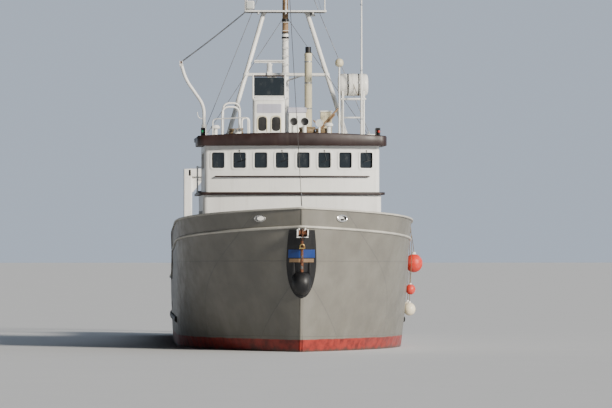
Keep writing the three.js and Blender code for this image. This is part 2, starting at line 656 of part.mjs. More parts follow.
function wheelhouseRoof() {
  const { inset, top } = WHEELHOUSE;
  const slab = house(VISOR.overhang, ROOF.aft, top + GAP, ROOF.crown + 10);
  const visor = cut(
    house(VISOR.overhang, VISOR.aft, VISOR.foot, top + 100),
    house(GAP - inset, VISOR.aft + 10, VISOR.foot - 10, top + GAP),
  );
  const socket = rod(at(DAVIT.x, DAVIT.distance, top + 100), at(DAVIT.x, DAVIT.distance, DAVIT.socketTop), 85, 12);
  const bore = rod(
    at(DAVIT.x, DAVIT.distance, DAVIT.socketTop - 300), at(DAVIT.x, DAVIT.distance, DAVIT.socketTop + 50),
    boreFor(DAVIT.pin, DAVIT.sides), DAVIT.sides,
  );
  return cut(join(join(slab, visor).intersect(underCamber(0)), socket), bore);
}
add('wheelhouse_roof', wheelhouseRoof(), finishes.darkTrim);

const CONSOLE = { half: 1500, from: 7350, to: 7950, floor: WHEELHOUSE.floor + 60 + GAP };
add('helm_console', sidePlate([
  [CONSOLE.from, CONSOLE.floor], [CONSOLE.to, CONSOLE.floor], [CONSOLE.to, 6150],
  [CONSOLE.to - 300, 6320], [CONSOLE.from, 6120],
], -CONSOLE.half, CONSOLE.half), finishes.black);

const CHAIR = { x: 0, distance: 8800, half: 260, seat: 5900 };
const helmChair = join(
  rod(at(CHAIR.x, CHAIR.distance, CONSOLE.floor), at(CHAIR.x, CHAIR.distance, CONSOLE.floor + 40), 240, 12),
  rod(at(CHAIR.x, CHAIR.distance, CONSOLE.floor + 20), at(CHAIR.x, CHAIR.distance, CHAIR.seat + 20), 55, 8),
  block(-CHAIR.half, CHAIR.half, 8540, 9060, CHAIR.seat, CHAIR.seat + 110),
  block(-CHAIR.half, CHAIR.half, 8990, 9090, CHAIR.seat, CHAIR.seat + 720),
);
add('helm_chair', helmChair, finishes.black);

// The mast: a king post, and two raked legs that carry a crossbar and a platform.
const KING_POST = { distance: 12700, radius: 150, top: 15200, endRadius: 80 };
const LEG = { foot: [2100, 11200, 7340], head: [770, 12600, 11800], radius: 80 };
const CROSSBAR = { z: 9560, radius: 60 };
const PLATFORM = { half: 1450, from: 12150, to: 13050, z: 11800, thickness: 60, rail: 900 };
const GOOSENECK = { distance: 12980, pin: 35, z: 7900, arm: 130 };
const RADAR = { x: -600, z: 9930, pin: 22, half: 560 };

// Where a leg of the mast is at a height, as [x, distance, z].
function legAt(z) {
  const share = (z - LEG.foot[2]) / (LEG.head[2] - LEG.foot[2]);
  return LEG.foot.map((value, i) => mix(value, LEG.head[i], share));
}
const [CROSSBAR_HALF, CROSSBAR_DISTANCE] = legAt(CROSSBAR.z);

function mast() {
  const leg = rod(at(...LEG.foot), at(...LEG.head), LEG.radius, 10);
  const pad = block(1900, 2300, 11000, 11400, 7200, 7420);
  const crossbar = rod(
    at(-CROSSBAR_HALF, CROSSBAR_DISTANCE, CROSSBAR.z), at(CROSSBAR_HALF, CROSSBAR_DISTANCE, CROSSBAR.z),
    CROSSBAR.radius, 8,
  );
  const post = rod(
    at(0, KING_POST.distance, deckTop + GAP), at(0, KING_POST.distance, KING_POST.top),
    KING_POST.radius, 12, KING_POST.endRadius,
  );
  const platform = block(
    -PLATFORM.half, PLATFORM.half, PLATFORM.from, PLATFORM.to, PLATFORM.z, PLATFORM.z + PLATFORM.thickness,
  );
  const rail = railing([
    [1420, 13020], [1420, 12180], [-1420, 12180], [-1420, 13020],
  ], PLATFORM.z + PLATFORM.thickness, PLATFORM.rail, 1500);
  const floodLight = block(-1430, -1130, 12050, 12200, 11890, 12190);
  const radarPedestal = rod(at(RADAR.x, CROSSBAR_DISTANCE, CROSSBAR.z), at(RADAR.x, CROSSBAR_DISTANCE, RADAR.z), 110, 10);
  const radarBore = rod(
    at(RADAR.x, CROSSBAR_DISTANCE, RADAR.z - 120), at(RADAR.x, CROSSBAR_DISTANCE, RADAR.z + 50), boreFor(RADAR.pin, 12), 12,
  );
  const arms = [GOOSENECK.z - GOOSENECK.arm - 60, GOOSENECK.z + GOOSENECK.arm].map((z) =>
    block(-80, 80, KING_POST.distance, GOOSENECK.distance + 80, z, z + 60));
  const armBore = rod(
    at(0, GOOSENECK.distance, GOOSENECK.z - 300), at(0, GOOSENECK.distance, GOOSENECK.z + 300),
    boreFor(GOOSENECK.pin, 12), 12,
  );
  const pair = [leg, pad].flatMap((body) => [body, mirrored(body)]);
  const whole = join(...pair, crossbar, post, platform, rail, floodLight, radarPedestal, ...arms);
  const onRoof = cut(whole, underRoof.intersect(block(-4000, 4000, 5000, 12150, 5000, 8000)));
  return cut(onRoof, radarBore, armBore);
}
add('mast', mast(), finishes.white);

const onRadar = (lift) => at(RADAR.x, CROSSBAR_DISTANCE, RADAR.z + lift);
add('radar_scanner', join(
  spindle(onRadar(-110), onRadar(60), RADAR.pin),
  rod(onRadar(5), onRadar(60), 70, 12),
  block(
    RADAR.x - RADAR.half, RADAR.x + RADAR.half, CROSSBAR_DISTANCE - 55, CROSSBAR_DISTANCE + 55,
    RADAR.z + 40, RADAR.z + 150,
  ),
), finishes.white);

// The boom: its gooseneck swings round an upright pin, and its fork tops up and down on a cross pin.
const BOOM = { pin: 25, pinDistance: 13180, length: 9000, rise: 12, radius: 95, endRadius: 65, root: 85 };
const onGooseneck = (lift) => at(0, GOOSENECK.distance, GOOSENECK.z + lift);
const onBoomPin = (x) => at(x, BOOM.pinDistance, GOOSENECK.z);
add('boom_gooseneck', join(
  spindle(onGooseneck(-185), onGooseneck(185), GOOSENECK.pin),
  rod(onGooseneck(-120), onGooseneck(120), 62, 12),
  block(-25, 25, GOOSENECK.distance, BOOM.pinDistance + 40, GOOSENECK.z - 40, GOOSENECK.z + 40),
  spindle(onBoomPin(-80), onBoomPin(80), BOOM.pin),
), finishes.steel);

// A body turned up round a line across the ship.
function toppedUp(body, centre, degrees) {
  const geometry = geometryOf(body);
  geometry.translate(-centre.x, -centre.y, -centre.z);
  geometry.rotateX((degrees * Math.PI) / 180);
  geometry.translate(centre.x, centre.y, centre.z);
  return solid(geometry);
}

function boom() {
  const { pinDistance, root: start, length } = BOOM;
  const { z } = GOOSENECK;
  const cheek = block(31, 65, pinDistance - 45, pinDistance + start + 60, z - 50, z + 50);
  const spar = rod(at(0, pinDistance + start, z), at(0, pinDistance + length, z), BOOM.radius, 10, BOOM.endRadius);
  const tip = block(-25, 25, pinDistance + length - 200, pinDistance + length + 60, z - 180, z);
  const level = join(cheek, mirrored(cheek), spar, tip);
  const pinBore = rod(onBoomPin(-100), onBoomPin(100), boreFor(BOOM.pin, 12), 12);
  return cut(toppedUp(level, onBoomPin(0), BOOM.rise), pinBore);
}
add('boom', boom(), finishes.white);

// Roof fittings. Each one stands on the camber of the roof.
const standing = (...bodies) => cut(join(...bodies), underRoof);

add('davit', join(
  spindle(at(DAVIT.x, DAVIT.distance, DAVIT.socketTop - 290), at(DAVIT.x, DAVIT.distance, 8500), DAVIT.pin),
  rod(at(DAVIT.x, DAVIT.distance, DAVIT.socketTop + 5), at(DAVIT.x, DAVIT.distance, 8500), 70, 12),
  pipe([at(DAVIT.x, DAVIT.distance, 8430), at(-3600, 10700, 9350), at(-3760, 10680, 9960)], 55, 8),
  block(-3860, -3660, 10600, 10760, 9800, 10010),
), finishes.white);

add('exhaust_stack', standing(
  rod(at(720, 10700, 7250), at(720, 10700, 10500), 140, 14),
  block(500, 940, 10480, 10920, 7250, 7450),
), finishes.cream);

const FLYBRIDGE = { x0: -1260, x1: -140, from: 9700, to: 10350, top: 8700 };
add('flybridge_console', standing(
  block(FLYBRIDGE.x0, FLYBRIDGE.x1, FLYBRIDGE.from, FLYBRIDGE.to, 7250, FLYBRIDGE.top),
  rod(at(FLYBRIDGE.x1, FLYBRIDGE.from + 60, FLYBRIDGE.top - 50), at(FLYBRIDGE.x1, FLYBRIDGE.from + 60, 9500), 35, 8),
  rod(at(FLYBRIDGE.x0, FLYBRIDGE.from + 60, FLYBRIDGE.top - 50), at(FLYBRIDGE.x0, FLYBRIDGE.from + 60, 9500), 35, 8),
), finishes.white);
add('flybridge_windscreen', block(
  FLYBRIDGE.x0 + 35 + GAP, FLYBRIDGE.x1 - 35 - GAP, FLYBRIDGE.from + 50, FLYBRIDGE.from + 70,
  FLYBRIDGE.top + GAP, 9400,
), finishes.glass);

// The life raft's canister lies in two cradles on a tall stand.
const RAFT = { x0: 1750, x1: 2800, distance: 10300, z: 9155, radius: 400 };
const canister = rod(at(RAFT.x0, RAFT.distance, RAFT.z), at(RAFT.x1, RAFT.distance, RAFT.z), RAFT.radius, 16);
const canisterGap = rod(
  at(RAFT.x0 - 10, RAFT.distance, RAFT.z), at(RAFT.x1 + 10, RAFT.distance, RAFT.z), RAFT.radius + GAP * 1.5, 16,
);
add('life_raft', canister, finishes.white);
const cradles = [RAFT.x0 + 120, RAFT.x1 - 200].map((x) =>
  block(x, x + 80, RAFT.distance - 330, RAFT.distance + 330, 8640, 8960));
const standLegs = [RAFT.x0 + 160, RAFT.x1 - 160].flatMap((x) => [-280, 280].map((d) =>
  rod(at(x, RAFT.distance + d, 7200), at(x, RAFT.distance + d, 8700), 35, 8)));
const standDeck = block(RAFT.x0 + 80, RAFT.x1 - 80, RAFT.distance - 330, RAFT.distance + 330, 8620, 8680);
add('raft_stand', cut(standing(...cradles, ...standLegs, standDeck), canisterGap), finishes.white);

const dome = new THREE.SphereGeometry(150, 12, 8);
dome.translate(1750, aft(9500), 9900);
add('dome_antenna', standing(rod(at(1750, 9500, 7250), at(1750, 9500, 9800), 32, 8), solid(dome)), finishes.cream);

add('whip_antenna', standing(
  rod(at(2520, 9400, 7200), at(2520, 9400, 14500), 40, 8, 16),
  block(2480, 3000, 9340, 9460, 7150, 7400),
), finishes.white);

// Bow gear. The dark pad and the anchor fit the shape of the stem.
const PAD = { half: 500, z0: 1780, z1: 4050, thickness: 40 };
const padOutline = everyStep(0, 2 * Math.PI, 16).slice(1).map((turn) => [
  PAD.half * Math.cos(turn),
  mix(PAD.z0, PAD.z1, 0.5) + ((PAD.z1 - PAD.z0) / 2) * Math.sin(turn),
]);
const padReach = prism(padOutline, 'front', -aft(2600), 4000);
add('anchor_pad', cut(envelope(PAD.thickness).intersect(padReach), clearOfHull), finishes.black);

const clearOfPad = envelope(PAD.thickness + GAP);
const anchorShape = join(
  rod(at(0, 500, 2350), at(0, 190, 3700), 60, 8),
  turned([
    [0, -330], [170, -330], [330, -230], [400, -90], [400, 90], [330, 230], [170, 330], [0, 330],
  ], at(0, 560, 2300), 'x', 16),
);
add('anchor', cut(anchorShape, clearOfPad), finishes.black);

// The roller that the anchor's chain runs over, at the head of the stem.
const ROLLER = { distance: -180, z: 3960, pin: 25, radius: 90 };
const rollerCheek = sidePlate([[-320, 3860], [500, 3760], [500, 4020], [-200, 4080], [-320, 4060]], 150, 190);
const rollerBracket = cut(
  join(rollerCheek, mirrored(rollerCheek), block(-190, 190, -120, 500, 3790, 3830)),
  clearOfPad,
  rod(at(-300, ROLLER.distance, ROLLER.z), at(300, ROLLER.distance, ROLLER.z), boreFor(ROLLER.pin, 12), 12),
);
add('bow_roller_bracket', rollerBracket, finishes.steel);
add('bow_roller', join(
  spindle(at(-186, ROLLER.distance, ROLLER.z), at(186, ROLLER.distance, ROLLER.z), ROLLER.pin),
  turned([[0, -140], [90, -140], [60, -40], [60, 40], [90, 140], [0, 140]], at(0, ROLLER.distance, ROLLER.z), 'x', 12),
), finishes.rust);

// A horizontal drum on a shaft, turned from [radius, x] pairs, with both ends of the shaft in its bearings.
const drum = (profile, x0, x1, radius, centre) => join(
  turned(profile, centre, 'x', 20),
  spindle(new THREE.Vector3(x0, centre.y, centre.z), new THREE.Vector3(x1, centre.y, centre.z), radius),
);
const bearingBore = (x0, x1, radius, centre) =>
  rod(new THREE.Vector3(x0, centre.y, centre.z), new THREE.Vector3(x1, centre.y, centre.z), boreFor(radius, 12), 12);

const WINDLASS = { distance: 3600, z: 4300, shaft: 38 };
const windlassCentre = at(0, WINDLASS.distance, WINDLASS.z);
const windlassCheek = sidePlate([[3300, 3600], [3900, 3600], [3760, 4390], [3440, 4390]], 330, 380);
add('windlass_frame', cut(
  join(windlassCheek, mirrored(windlassCheek), block(-520, 520, 3280, 3920, 3600, 3930)),
  bearingBore(-600, 600, WINDLASS.shaft, windlassCentre),
  cut(block(-3000, 3000, 2000, 6000, 2000, 5000), aboveForedeck),
), finishes.steel);
add('windlass_drum', drum([
  [0, -320], [230, -320], [230, -290], [130, -280], [130, 60], [260, 70], [260, 100], [150, 150], [260, 200],
  [260, 230], [150, 240], [150, 320], [0, 320],
], -620, 620, WINDLASS.shaft, windlassCentre), finishes.rust);

const BITTS = { x: 1500, distance: 2500, spread: 330, z: 4420 };
addPair('bitts', join(
  rod(at(BITTS.x, BITTS.distance - BITTS.spread / 2, 3500), at(BITTS.x, BITTS.distance - BITTS.spread / 2, BITTS.z), 85, 10),
  rod(at(BITTS.x, BITTS.distance + BITTS.spread / 2, 3500), at(BITTS.x, BITTS.distance + BITTS.spread / 2, BITTS.z), 85, 10),
  block(BITTS.x - 140, BITTS.x + 140, BITTS.distance - 330, BITTS.distance + 330, 3500, 3990),
).intersect(aboveForedeck), finishes.black);

// Deck gear.
const DECK = MAIN_DECK + GAP;
const WINCH = { x: 2200, distance: 15000, z: 1770, shaft: 45, half: 640 };
const winchCentre = at(WINCH.x, WINCH.distance, WINCH.z);
const winchCheek = (x) => sidePlate([[14560, DECK], [15440, DECK], [15160, 1890], [14840, 1890]], x, x + 60);
addPair('winch_frame', cut(join(
  block(1440, 3240, 14520, 15480, DECK, 1225),
  winchCheek(WINCH.x - WINCH.half - 70), winchCheek(WINCH.x + WINCH.half + 10),
  block(2905, 3225, 14800, 15200, 1200, 1960),
), bearingBore(1450, 2925, WINCH.shaft, winchCentre)), finishes.steel);
addPair('winch_drum', drum([
  [0, -630], [420, -630], [420, -600], [300, -600], [300, 600], [420, 600], [420, 630], [0, 630],
], 1500, 2915, WINCH.shaft, winchCentre), finishes.rust);

// The hatch over the fish hold. Its cover is hinged at the forward edge.
const COVER = { axis: 16860, z: 1785, pin: 12 };
const coamingTop = MAIN_DECK + HATCH.height;
const { half: hatchHalf, wall: hatchWall } = HATCH;
const coaming = cut(
  block(-hatchHalf - hatchWall, hatchHalf + hatchWall, HATCH.from - hatchWall, HATCH.to + hatchWall, DECK, coamingTop),
  block(-hatchHalf, hatchHalf, HATCH.from, HATCH.to, 1000, 2000),
);
const coverLugs = [450, 610, -490, -650].flatMap((x) => [
  block(x, x + 40, COVER.axis - 25, COVER.axis + 25, 1640, COVER.z + 20),
  block(x, x + 40, COVER.axis - 25, HATCH.from - hatchWall + 5, 1640, 1740),
]);
const coverBore = rod(at(-700, COVER.axis, COVER.z), at(700, COVER.axis, COVER.z), boreFor(COVER.pin, 12), 12);
add('hatch_coaming', cut(join(coaming, ...coverLugs), coverBore), finishes.deckGrey);
const coverHinge = join(
  block(496, 604, COVER.axis - 22, COVER.axis + 90, COVER.z - 22, COVER.z + 22),
  spindle(at(445, COVER.axis, COVER.z), at(655, COVER.axis, COVER.z), COVER.pin),
);
add('hatch_cover', join(
  block(-1070, 1070, COVER.axis + 40, HATCH.to + 120, coamingTop + 5, coamingTop + 65),
  block(-1070, 1070, HATCH.to + 90, HATCH.to + 120, coamingTop - 60, coamingTop + 60),
  coverHinge, mirrored(coverHinge),
), finishes.white);

// The net reel, with the trawl wound on it.
const REEL = { distance: 20900, z: 2400, shaft: 60, half: 1600, core: 300, net: 720, flange: 900 };
const reelCentre = at(0, REEL.distance, REEL.z);
const pedestal = (x) => sidePlate([[20350, DECK], [21450, DECK], [21080, 2560], [20720, 2560]], x, x + 110);
add('net_reel_frame', cut(join(
  pedestal(1650), pedestal(-1760),
  block(-1760, 1760, 20350, 20470, DECK, 1270),
  block(-1760, 1760, 21330, 21450, DECK, 1270),
  block(1755, 2150, 20700, 21100, 2150, 2620),
), bearingBore(-1700, 1700, REEL.shaft, reelCentre)), finishes.steel);
add('net_reel', drum([
  [0, -REEL.half], [REEL.flange, -REEL.half], [REEL.flange, -REEL.half + 40], [REEL.core, -REEL.half + 40],
  [REEL.core, REEL.half - 40], [REEL.flange, REEL.half - 40], [REEL.flange, REEL.half], [0, REEL.half],
], -1690, 1690, REEL.shaft, reelCentre), finishes.steel);
const netEnd = REEL.half - 40 - GAP;
add('trawl_net', cut(
  turned([
    [0, -netEnd], [REEL.net - 90, -netEnd], [REEL.net, -netEnd / 2], [REEL.net, netEnd / 2],
    [REEL.net - 90, netEnd], [0, netEnd],
  ], reelCentre, 'x', 20),
  turned([[0, -2000], [REEL.core + GAP, -2000], [REEL.core + GAP, 2000], [0, 2000]], reelCentre, 'x', 20),
), finishes.net);

// The gate at the head of the ramp is hinged at deck level and folds down forward.
add('ramp_gate', join(
  block(-GATE.half, GATE.half, GATE.distance - 20, GATE.distance + 20, GATE.pinZ - 20, GATE.top),
  spindle(at(-1320, GATE.distance, GATE.pinZ), at(1320, GATE.distance, GATE.pinZ), GATE.pin),
  ...[-800, 0, 800].map((x) => block(x - 30, x + 30, GATE.distance + 10, GATE.distance + 60, GATE.pinZ + 60, GATE.top - 40)),
), finishes.steel);

// The gantry over the stern, with two hanger plates for the trawl blocks.
const GANTRY = { x: 3200, half: 160, from: 24550, to: 24850, top: 6400 };
const gantryLeg = block(GANTRY.x - GANTRY.half, GANTRY.x + GANTRY.half, GANTRY.from, GANTRY.to, DECK, GANTRY.top);
const gantryBrace = sidePlate([[23700, DECK], [23900, DECK], [24650, 4300], [24500, 4300]], GANTRY.x - 80, GANTRY.x + 80);
const gantryPlate = block(2250, 2290, 24600, 24800, 5650, 6120);
add('stern_gantry', join(
  gantryLeg, mirrored(gantryLeg), gantryBrace, mirrored(gantryBrace), gantryPlate, mirrored(gantryPlate),
  block(-GANTRY.x, GANTRY.x, GANTRY.from, GANTRY.to, 6080, GANTRY.top),
), finishes.white);
addPair('trawl_block', join(
  turned([[0, -60], [190, -60], [190, -45], [140, 0], [190, 45], [190, 60], [0, 60]], at(2270, 24700, 5380), 'x', 16),
  block(2200, 2340, 24640, 24760, 5380, 5650 - GAP),
), finishes.steel);

// The trawl doors hang on the stern's cap rail.
const DOOR = { x0: 1750, x1: 3550, z0: 1120, z1: 2900, face: LENGTH + CAP_RAIL.proud + GAP };
const doorFace = everyStep(0, 1, 5).map((t) => [mix(DOOR.x0, DOOR.x1, t), aft(DOOR.face) + 130 * Math.sin(Math.PI * t)]);
const doorBack = doorFace.map(([x, y]) => [x, y + 60]).reverse();
const doorHook = (x) => join(
  block(x, x + 70, LENGTH - railWall - 55, DOOR.face + 70, 2495, 2555),
  block(x, x + 70, LENGTH - railWall - 55, LENGTH - railWall - 15, 2420, 2555),
);
addPair('trawl_door', join(
  prism([...doorFace, ...doorBack], 'plan', DOOR.z0, DOOR.z1 - DOOR.z0),
  doorHook(1800), doorHook(3360),
), finishes.rust);

// Under water: the rudder on its stock, and the propeller on its shaft.
const BLADE = { z0: -3100, z1: -1350 };
const foil = [[0, 23480], [70, 23680], [88, 23900], [70, 24300], [12, 24900], [-12, 24900], [-70, 24300], [-88, 23900], [-70, 23680]];
add('rudder', join(
  spindle(at(0, STOCK.distance, SHOE_TOP - 89), at(0, STOCK.distance, STOCK.top), STOCK.radius, STOCK.sides),
  prism(foil.map(([x, d]) => [x, aft(d)]), 'plan', BLADE.z0, BLADE.z1 - BLADE.z0),
), finishes.hullGrey);

const PROPELLER = { from: 22480, to: 22860, hub: 165, radius: 820, pitch: 38, blades: 4 };
function propellerBlade(turn) {
  const outline = [[-70, 90], [-190, 350], [-230, 600], [-150, 790], [0, 820], [130, 740], [180, 560], [150, 330], [70, 90]];
  const geometry = geometryOf(prism(outline, 'front', -18, 36));
  geometry.rotateZ((PROPELLER.pitch * Math.PI) / 180);
  geometry.rotateY(turn);
  geometry.translate(0, aft(22670), SHAFT.z);
  return solid(geometry);
}
const blades = everyStep(0, 1.5 * Math.PI, PROPELLER.blades - 1).map(propellerBlade);
add('propeller', join(
  spindle(at(0, SHAFT.mouth - 440, SHAFT.z), at(0, PROPELLER.from + 20, SHAFT.z), SHAFT.radius, SHAFT.sides),
  turned([[0, -190], [150, -190], [165, -60], [150, 120], [60, 240], [0, 240]], at(0, 22670, SHAFT.z), 'y', 16),
  ...blades,
), finishes.bronze);

// Fenders along the port side. Each is a ball that rests against the plating.
const FENDERS = [
  { name: 'fender_red_large', distance: 7900, z: 2900, radius: 300, material: finishes.orange },
  { name: 'fender_red_small', distance: 7300, z: 2000, radius: 170, material: finishes.orange },
  { name: 'fender_cream_forward', distance: 8300, z: 1300, radius: 210, material: finishes.ivory },
  { name: 'fender_cream_aft', distance: 9300, z: 1330, radius: 210, material: finishes.ivory },
];
const FENDER_SUNK = 40;
FENDERS.forEach(({ name, distance, z, radius, material }) => {
  const x = halfAt(distance, z) + radius - FENDER_SUNK;
  const ball = new THREE.SphereGeometry(radius, 12, 8);
  ball.rotateX(Math.PI / 2);
  ball.scale(1, 1, 1.08);
  ball.translate(x, aft(distance), z);
  const neck = rod(at(x, distance, z + radius * 0.9), at(x, distance, z + radius * 1.3), radius * 0.22, 8);
  add(name, cut(join(solid(ball), neck), clearOfHull), material);
});

// The main engine, as one plain block on the floor of its room.
add('main_engine', block(-520, 520, 11800, 14300, ENGINE_ROOM.floor + GAP, -350), finishes.engine);

export default root;
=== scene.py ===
"""Looks of a steel stern trawler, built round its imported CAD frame.

Shapes are worked out in ship's coordinates, in metres: x to port, the distance aft of the stem head, and the height
above still water. Shape.piece moves them to the frame's origin, which is at half the hull's length.
"""
import sys
import logging
import math
from collections.abc import Callable, Sequence
from dataclasses import dataclass, field
from enum import Enum

import bpy
import numpy as np
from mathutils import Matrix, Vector
from numpy.typing import ArrayLike, NDArray


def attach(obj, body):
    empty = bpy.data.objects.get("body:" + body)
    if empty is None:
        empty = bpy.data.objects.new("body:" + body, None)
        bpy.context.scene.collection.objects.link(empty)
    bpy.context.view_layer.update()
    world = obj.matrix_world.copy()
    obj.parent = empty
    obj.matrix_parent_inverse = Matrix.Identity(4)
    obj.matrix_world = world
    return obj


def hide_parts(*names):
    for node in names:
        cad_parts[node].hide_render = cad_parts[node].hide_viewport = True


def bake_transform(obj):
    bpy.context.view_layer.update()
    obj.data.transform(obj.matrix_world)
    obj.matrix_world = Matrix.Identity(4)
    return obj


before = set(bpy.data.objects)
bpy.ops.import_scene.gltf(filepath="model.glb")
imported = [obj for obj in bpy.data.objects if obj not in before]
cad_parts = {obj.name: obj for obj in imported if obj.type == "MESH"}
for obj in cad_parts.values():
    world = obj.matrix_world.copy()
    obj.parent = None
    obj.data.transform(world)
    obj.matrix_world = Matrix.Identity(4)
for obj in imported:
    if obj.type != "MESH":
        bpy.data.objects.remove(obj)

LOG = logging.getLogger("trawler")
Points = NDArray[np.float64]
Numbers = NDArray[np.int64]
Colour = tuple[float, float, float]
Place = tuple[float, float, float]
Span = tuple[float, float]
LENGTH = 26.4
HALF_LENGTH = LENGTH / 2


# Surfaces.


@dataclass
class Surface:
    """Points of shape (n, 3), and faces as arrays of point numbers, one array for each number of corners."""

    points: Points
    faces: list[Numbers]

    def welded(self) -> "Surface":
        """Merges points that coincide, so that seams and poles are closed.

        Returns:
            The same surface, where a quad with two equal corners has become a triangle.
        """
        keys = np.round(self.points, 6) + 0.0
        kept, inverse = np.unique(keys, axis=0, return_inverse=True)
        inverse = inverse.reshape(-1)
        faces: list[Numbers] = []
        for block_of_faces in self.faces:
            corners = inverse[block_of_faces]
            if corners.shape[1] != 4:
                faces.append(corners)
                continue
            same = corners == np.roll(corners, -1, axis=1)
            doubled = same.sum(axis=1)
            faces.append(corners[doubled == 0])
            folded = doubled == 1
            faces.append(corners[folded][~same[folded]].reshape(-1, 3))
        return Surface(kept, [part for part in faces if len(part)])

    def flipped(self) -> "Surface":
        """Turns the faces the other way round."""
        return Surface(self.points, [part[:, ::-1] for part in self.faces])

    def mirrored(self) -> "Surface":
        """Gives the same surface on the other side of the ship, facing outwards again."""
        return Surface(self.points * (-1, 1, 1), [part[:, ::-1] for part in self.faces])

    def moved(self, x: float = 0.0, distance: float = 0.0, z: float = 0.0) -> "Surface":
        """Shifts the surface."""
        return Surface(self.points + (x, distance, z), self.faces)

    def turned(self, axis: int, degrees: float, centre: ArrayLike) -> "Surface":
        """Turns the surface round an axis through a centre.

        Args:
            axis: 0, 1 or 2 for x, distance or z.
            degrees: how far, counter-clockwise seen from the axis's tip.
            centre: a point on the axis.

        Returns:
            The turned surface: p' = c + R (p - c).
        """
        one, two = (axis + 1) % 3, (axis + 2) % 3
        cosine, sine = math.cos(math.radians(degrees)), math.sin(math.radians(degrees))
        turn = np.eye(3)
        turn[one, one], turn[one, two], turn[two, one], turn[two, two] = cosine, -sine, sine, cosine
        middle = np.asarray(centre, float)
        return Surface(middle + (self.points - middle) @ turn.T, self.faces)


def merged(*surfaces: Surface) -> Surface:
    """Puts surfaces into one.

    Args:
        surfaces: the surfaces to gather.

    Returns:
        One surface with all their points and faces.
    """
    starts = np.cumsum([0] + [len(part.points) for part in surfaces])
    faces = [block_of_faces + start for part, start in zip(surfaces, starts) for block_of_faces in part.faces]
    return Surface(np.concatenate([part.points for part in surfaces]), faces)


def grid(points: Points, around: bool = False, keep: NDArray[np.bool_] | None = None) -> Surface:
    """Joins a grid of points into quads.

    Args:
        points: shape (rows, columns, 3).
        around: whether the last column joins the first one.
        keep: which cells stay, shape (rows - 1, columns - 1), or all of them.

    Returns:
        A surface that faces along dP/dcolumn x dP/drow.
    """
    rows, columns = points.shape[:2]
    number = np.arange(rows * columns).reshape(rows, columns)
    if around:
        number = np.concatenate([number, number[:, :1]], axis=1)
    cells = np.stack([number[:-1, :-1], number[:-1, 1:], number[1:, 1:], number[1:, :-1]], axis=-1)
    chosen = cells.reshape(-1, 4) if keep is None else cells[keep]
    return Surface(points.reshape(-1, 3), [chosen])


def unit(vectors: Points) -> Points:
    """Scales each vector to length 1."""
    return vectors / np.maximum(np.linalg.norm(vectors, axis=-1, keepdims=True), 1e-12)


def sweep(
    path: ArrayLike, profile: ArrayLike, up: ArrayLike | None = None, size: ArrayLike = 1.0, closed: bool = False,
    ends: bool = True,
) -> Surface:
    """Carries a flat profile along a path.

    Args:
        path: the points it follows, shape (n, 3).
        profile: its corners as (side, rise), counter-clockwise as seen looking back along the path.
        up: a direction that the path never takes. By default it is the axis that the path keeps furthest from.
        size: a factor on the profile, for each point of the path.
        closed: whether the path ends where it starts.
        ends: whether the ends get caps.

    Returns:
        The surface path(u) + size(u) (side(v) S + rise(v) R), with S = unit(up x T), R = T x S and T the tangent.
    """
    line = np.asarray(path, float)
    shape = np.asarray(profile, float)
    if closed:
        tangent = unit(np.roll(line, -1, axis=0) - np.roll(line, 1, axis=0))
    else:
        tangent = unit(np.gradient(line, axis=0))
    if up is None:
        up = np.eye(3)[np.argmin(np.abs(tangent).max(axis=0))]
    side = unit(np.cross(np.asarray(up, float), tangent))
    rise = np.cross(tangent, side)
    factor = np.broadcast_to(np.asarray(size, float), len(line))[:, None, None]
    rings = line[:, None] + factor * (shape[None, :, :1] * side[:, None] + shape[None, :, 1:] * rise[:, None])
    if closed:
        return grid(np.concatenate([rings, rings[:1]]), around=True).welded()
    body = grid(rings, around=True)
    if ends:
        count = len(shape)
        body.faces.append(np.arange(count)[None, ::-1])
        body.faces.append(np.arange(count)[None] + (len(line) - 1) * count)
    return body


def circle(radius: float, sides: int = 12) -> Points:
    """Gives the corners r (cos a, sin a) of a round profile."""
    turn = np.linspace(0, 2 * np.pi, sides, endpoint=False)
    return radius * np.stack([np.cos(turn), np.sin(turn)], axis=1)


def tube(path: ArrayLike, radius: float, sides: int = 10, **more: object) -> Surface:
    """Carries a circle along a path, as sweep does."""
    return sweep(path, circle(radius, sides), **more)


def hoop(centre: ArrayLike, one: ArrayLike, two: ArrayLike, bar: float, count: int = 32, sides: int = 8) -> Surface:
    """Bends a round bar to a closed oval.

    Args:
        centre: the oval's middle, c.
        one: its first half axis, a.
        two: its second half axis, b.
        bar: the bar's radius.
        count: how many points the oval has.
        sides: how many flats the bar has.

    Returns:
        A circle carried along c + a cos t + b sin t.
    """
    turn = np.linspace(0, 2 * np.pi, count, endpoint=False)[:, None]
    first, second = np.asarray(one, float), np.asarray(two, float)
    line = np.asarray(centre, float) + np.cos(turn) * first + np.sin(turn) * second
    return sweep(line, circle(bar, sides), up=np.cross(first, second), closed=True)


def slack_line(start: ArrayLike, end: ArrayLike, sag: float, count: int) -> Points:
    """Gives the points of a line that hangs sag sin(pi t) below the straight one from start to end."""
    share = np.linspace(0, 1, count)[:, None]
    first, last = np.asarray(start, float), np.asarray(end, float)
    return first + (last - first) * share - np.array([0, 0, sag]) * np.sin(np.pi * share)


def flat_coil(
    x: float, distance: float, foot: float, radius: float, turns: int, sway: tuple[float, float], rise: float,
) -> Points:
    """Gives the line of a rope that is coiled down on a deck.

    Args:
        x: its middle across the ship.
        distance: its middle, aft of the stem head.
        foot: the height of its first turn.
        radius: its mean radius.
        turns: how many turns it has.
        sway: how far it wavers in and out, and how many waves there are to a radian.
        rise: how much higher each turn lies than the one before.

    Returns:
        (x + s cos t, distance + s sin t, foot + rise t / 2 pi), with s = radius + reach sin(waves t).
    """
    reach, waves = sway
    turn = np.linspace(0, 2 * np.pi * turns, 24 * turns + 1)
    spread = radius + reach * np.sin(waves * turn)
    height = foot + rise * turn / (2 * np.pi)
    return np.stack([x + spread * np.cos(turn), distance + spread * np.sin(turn), height], axis=1)


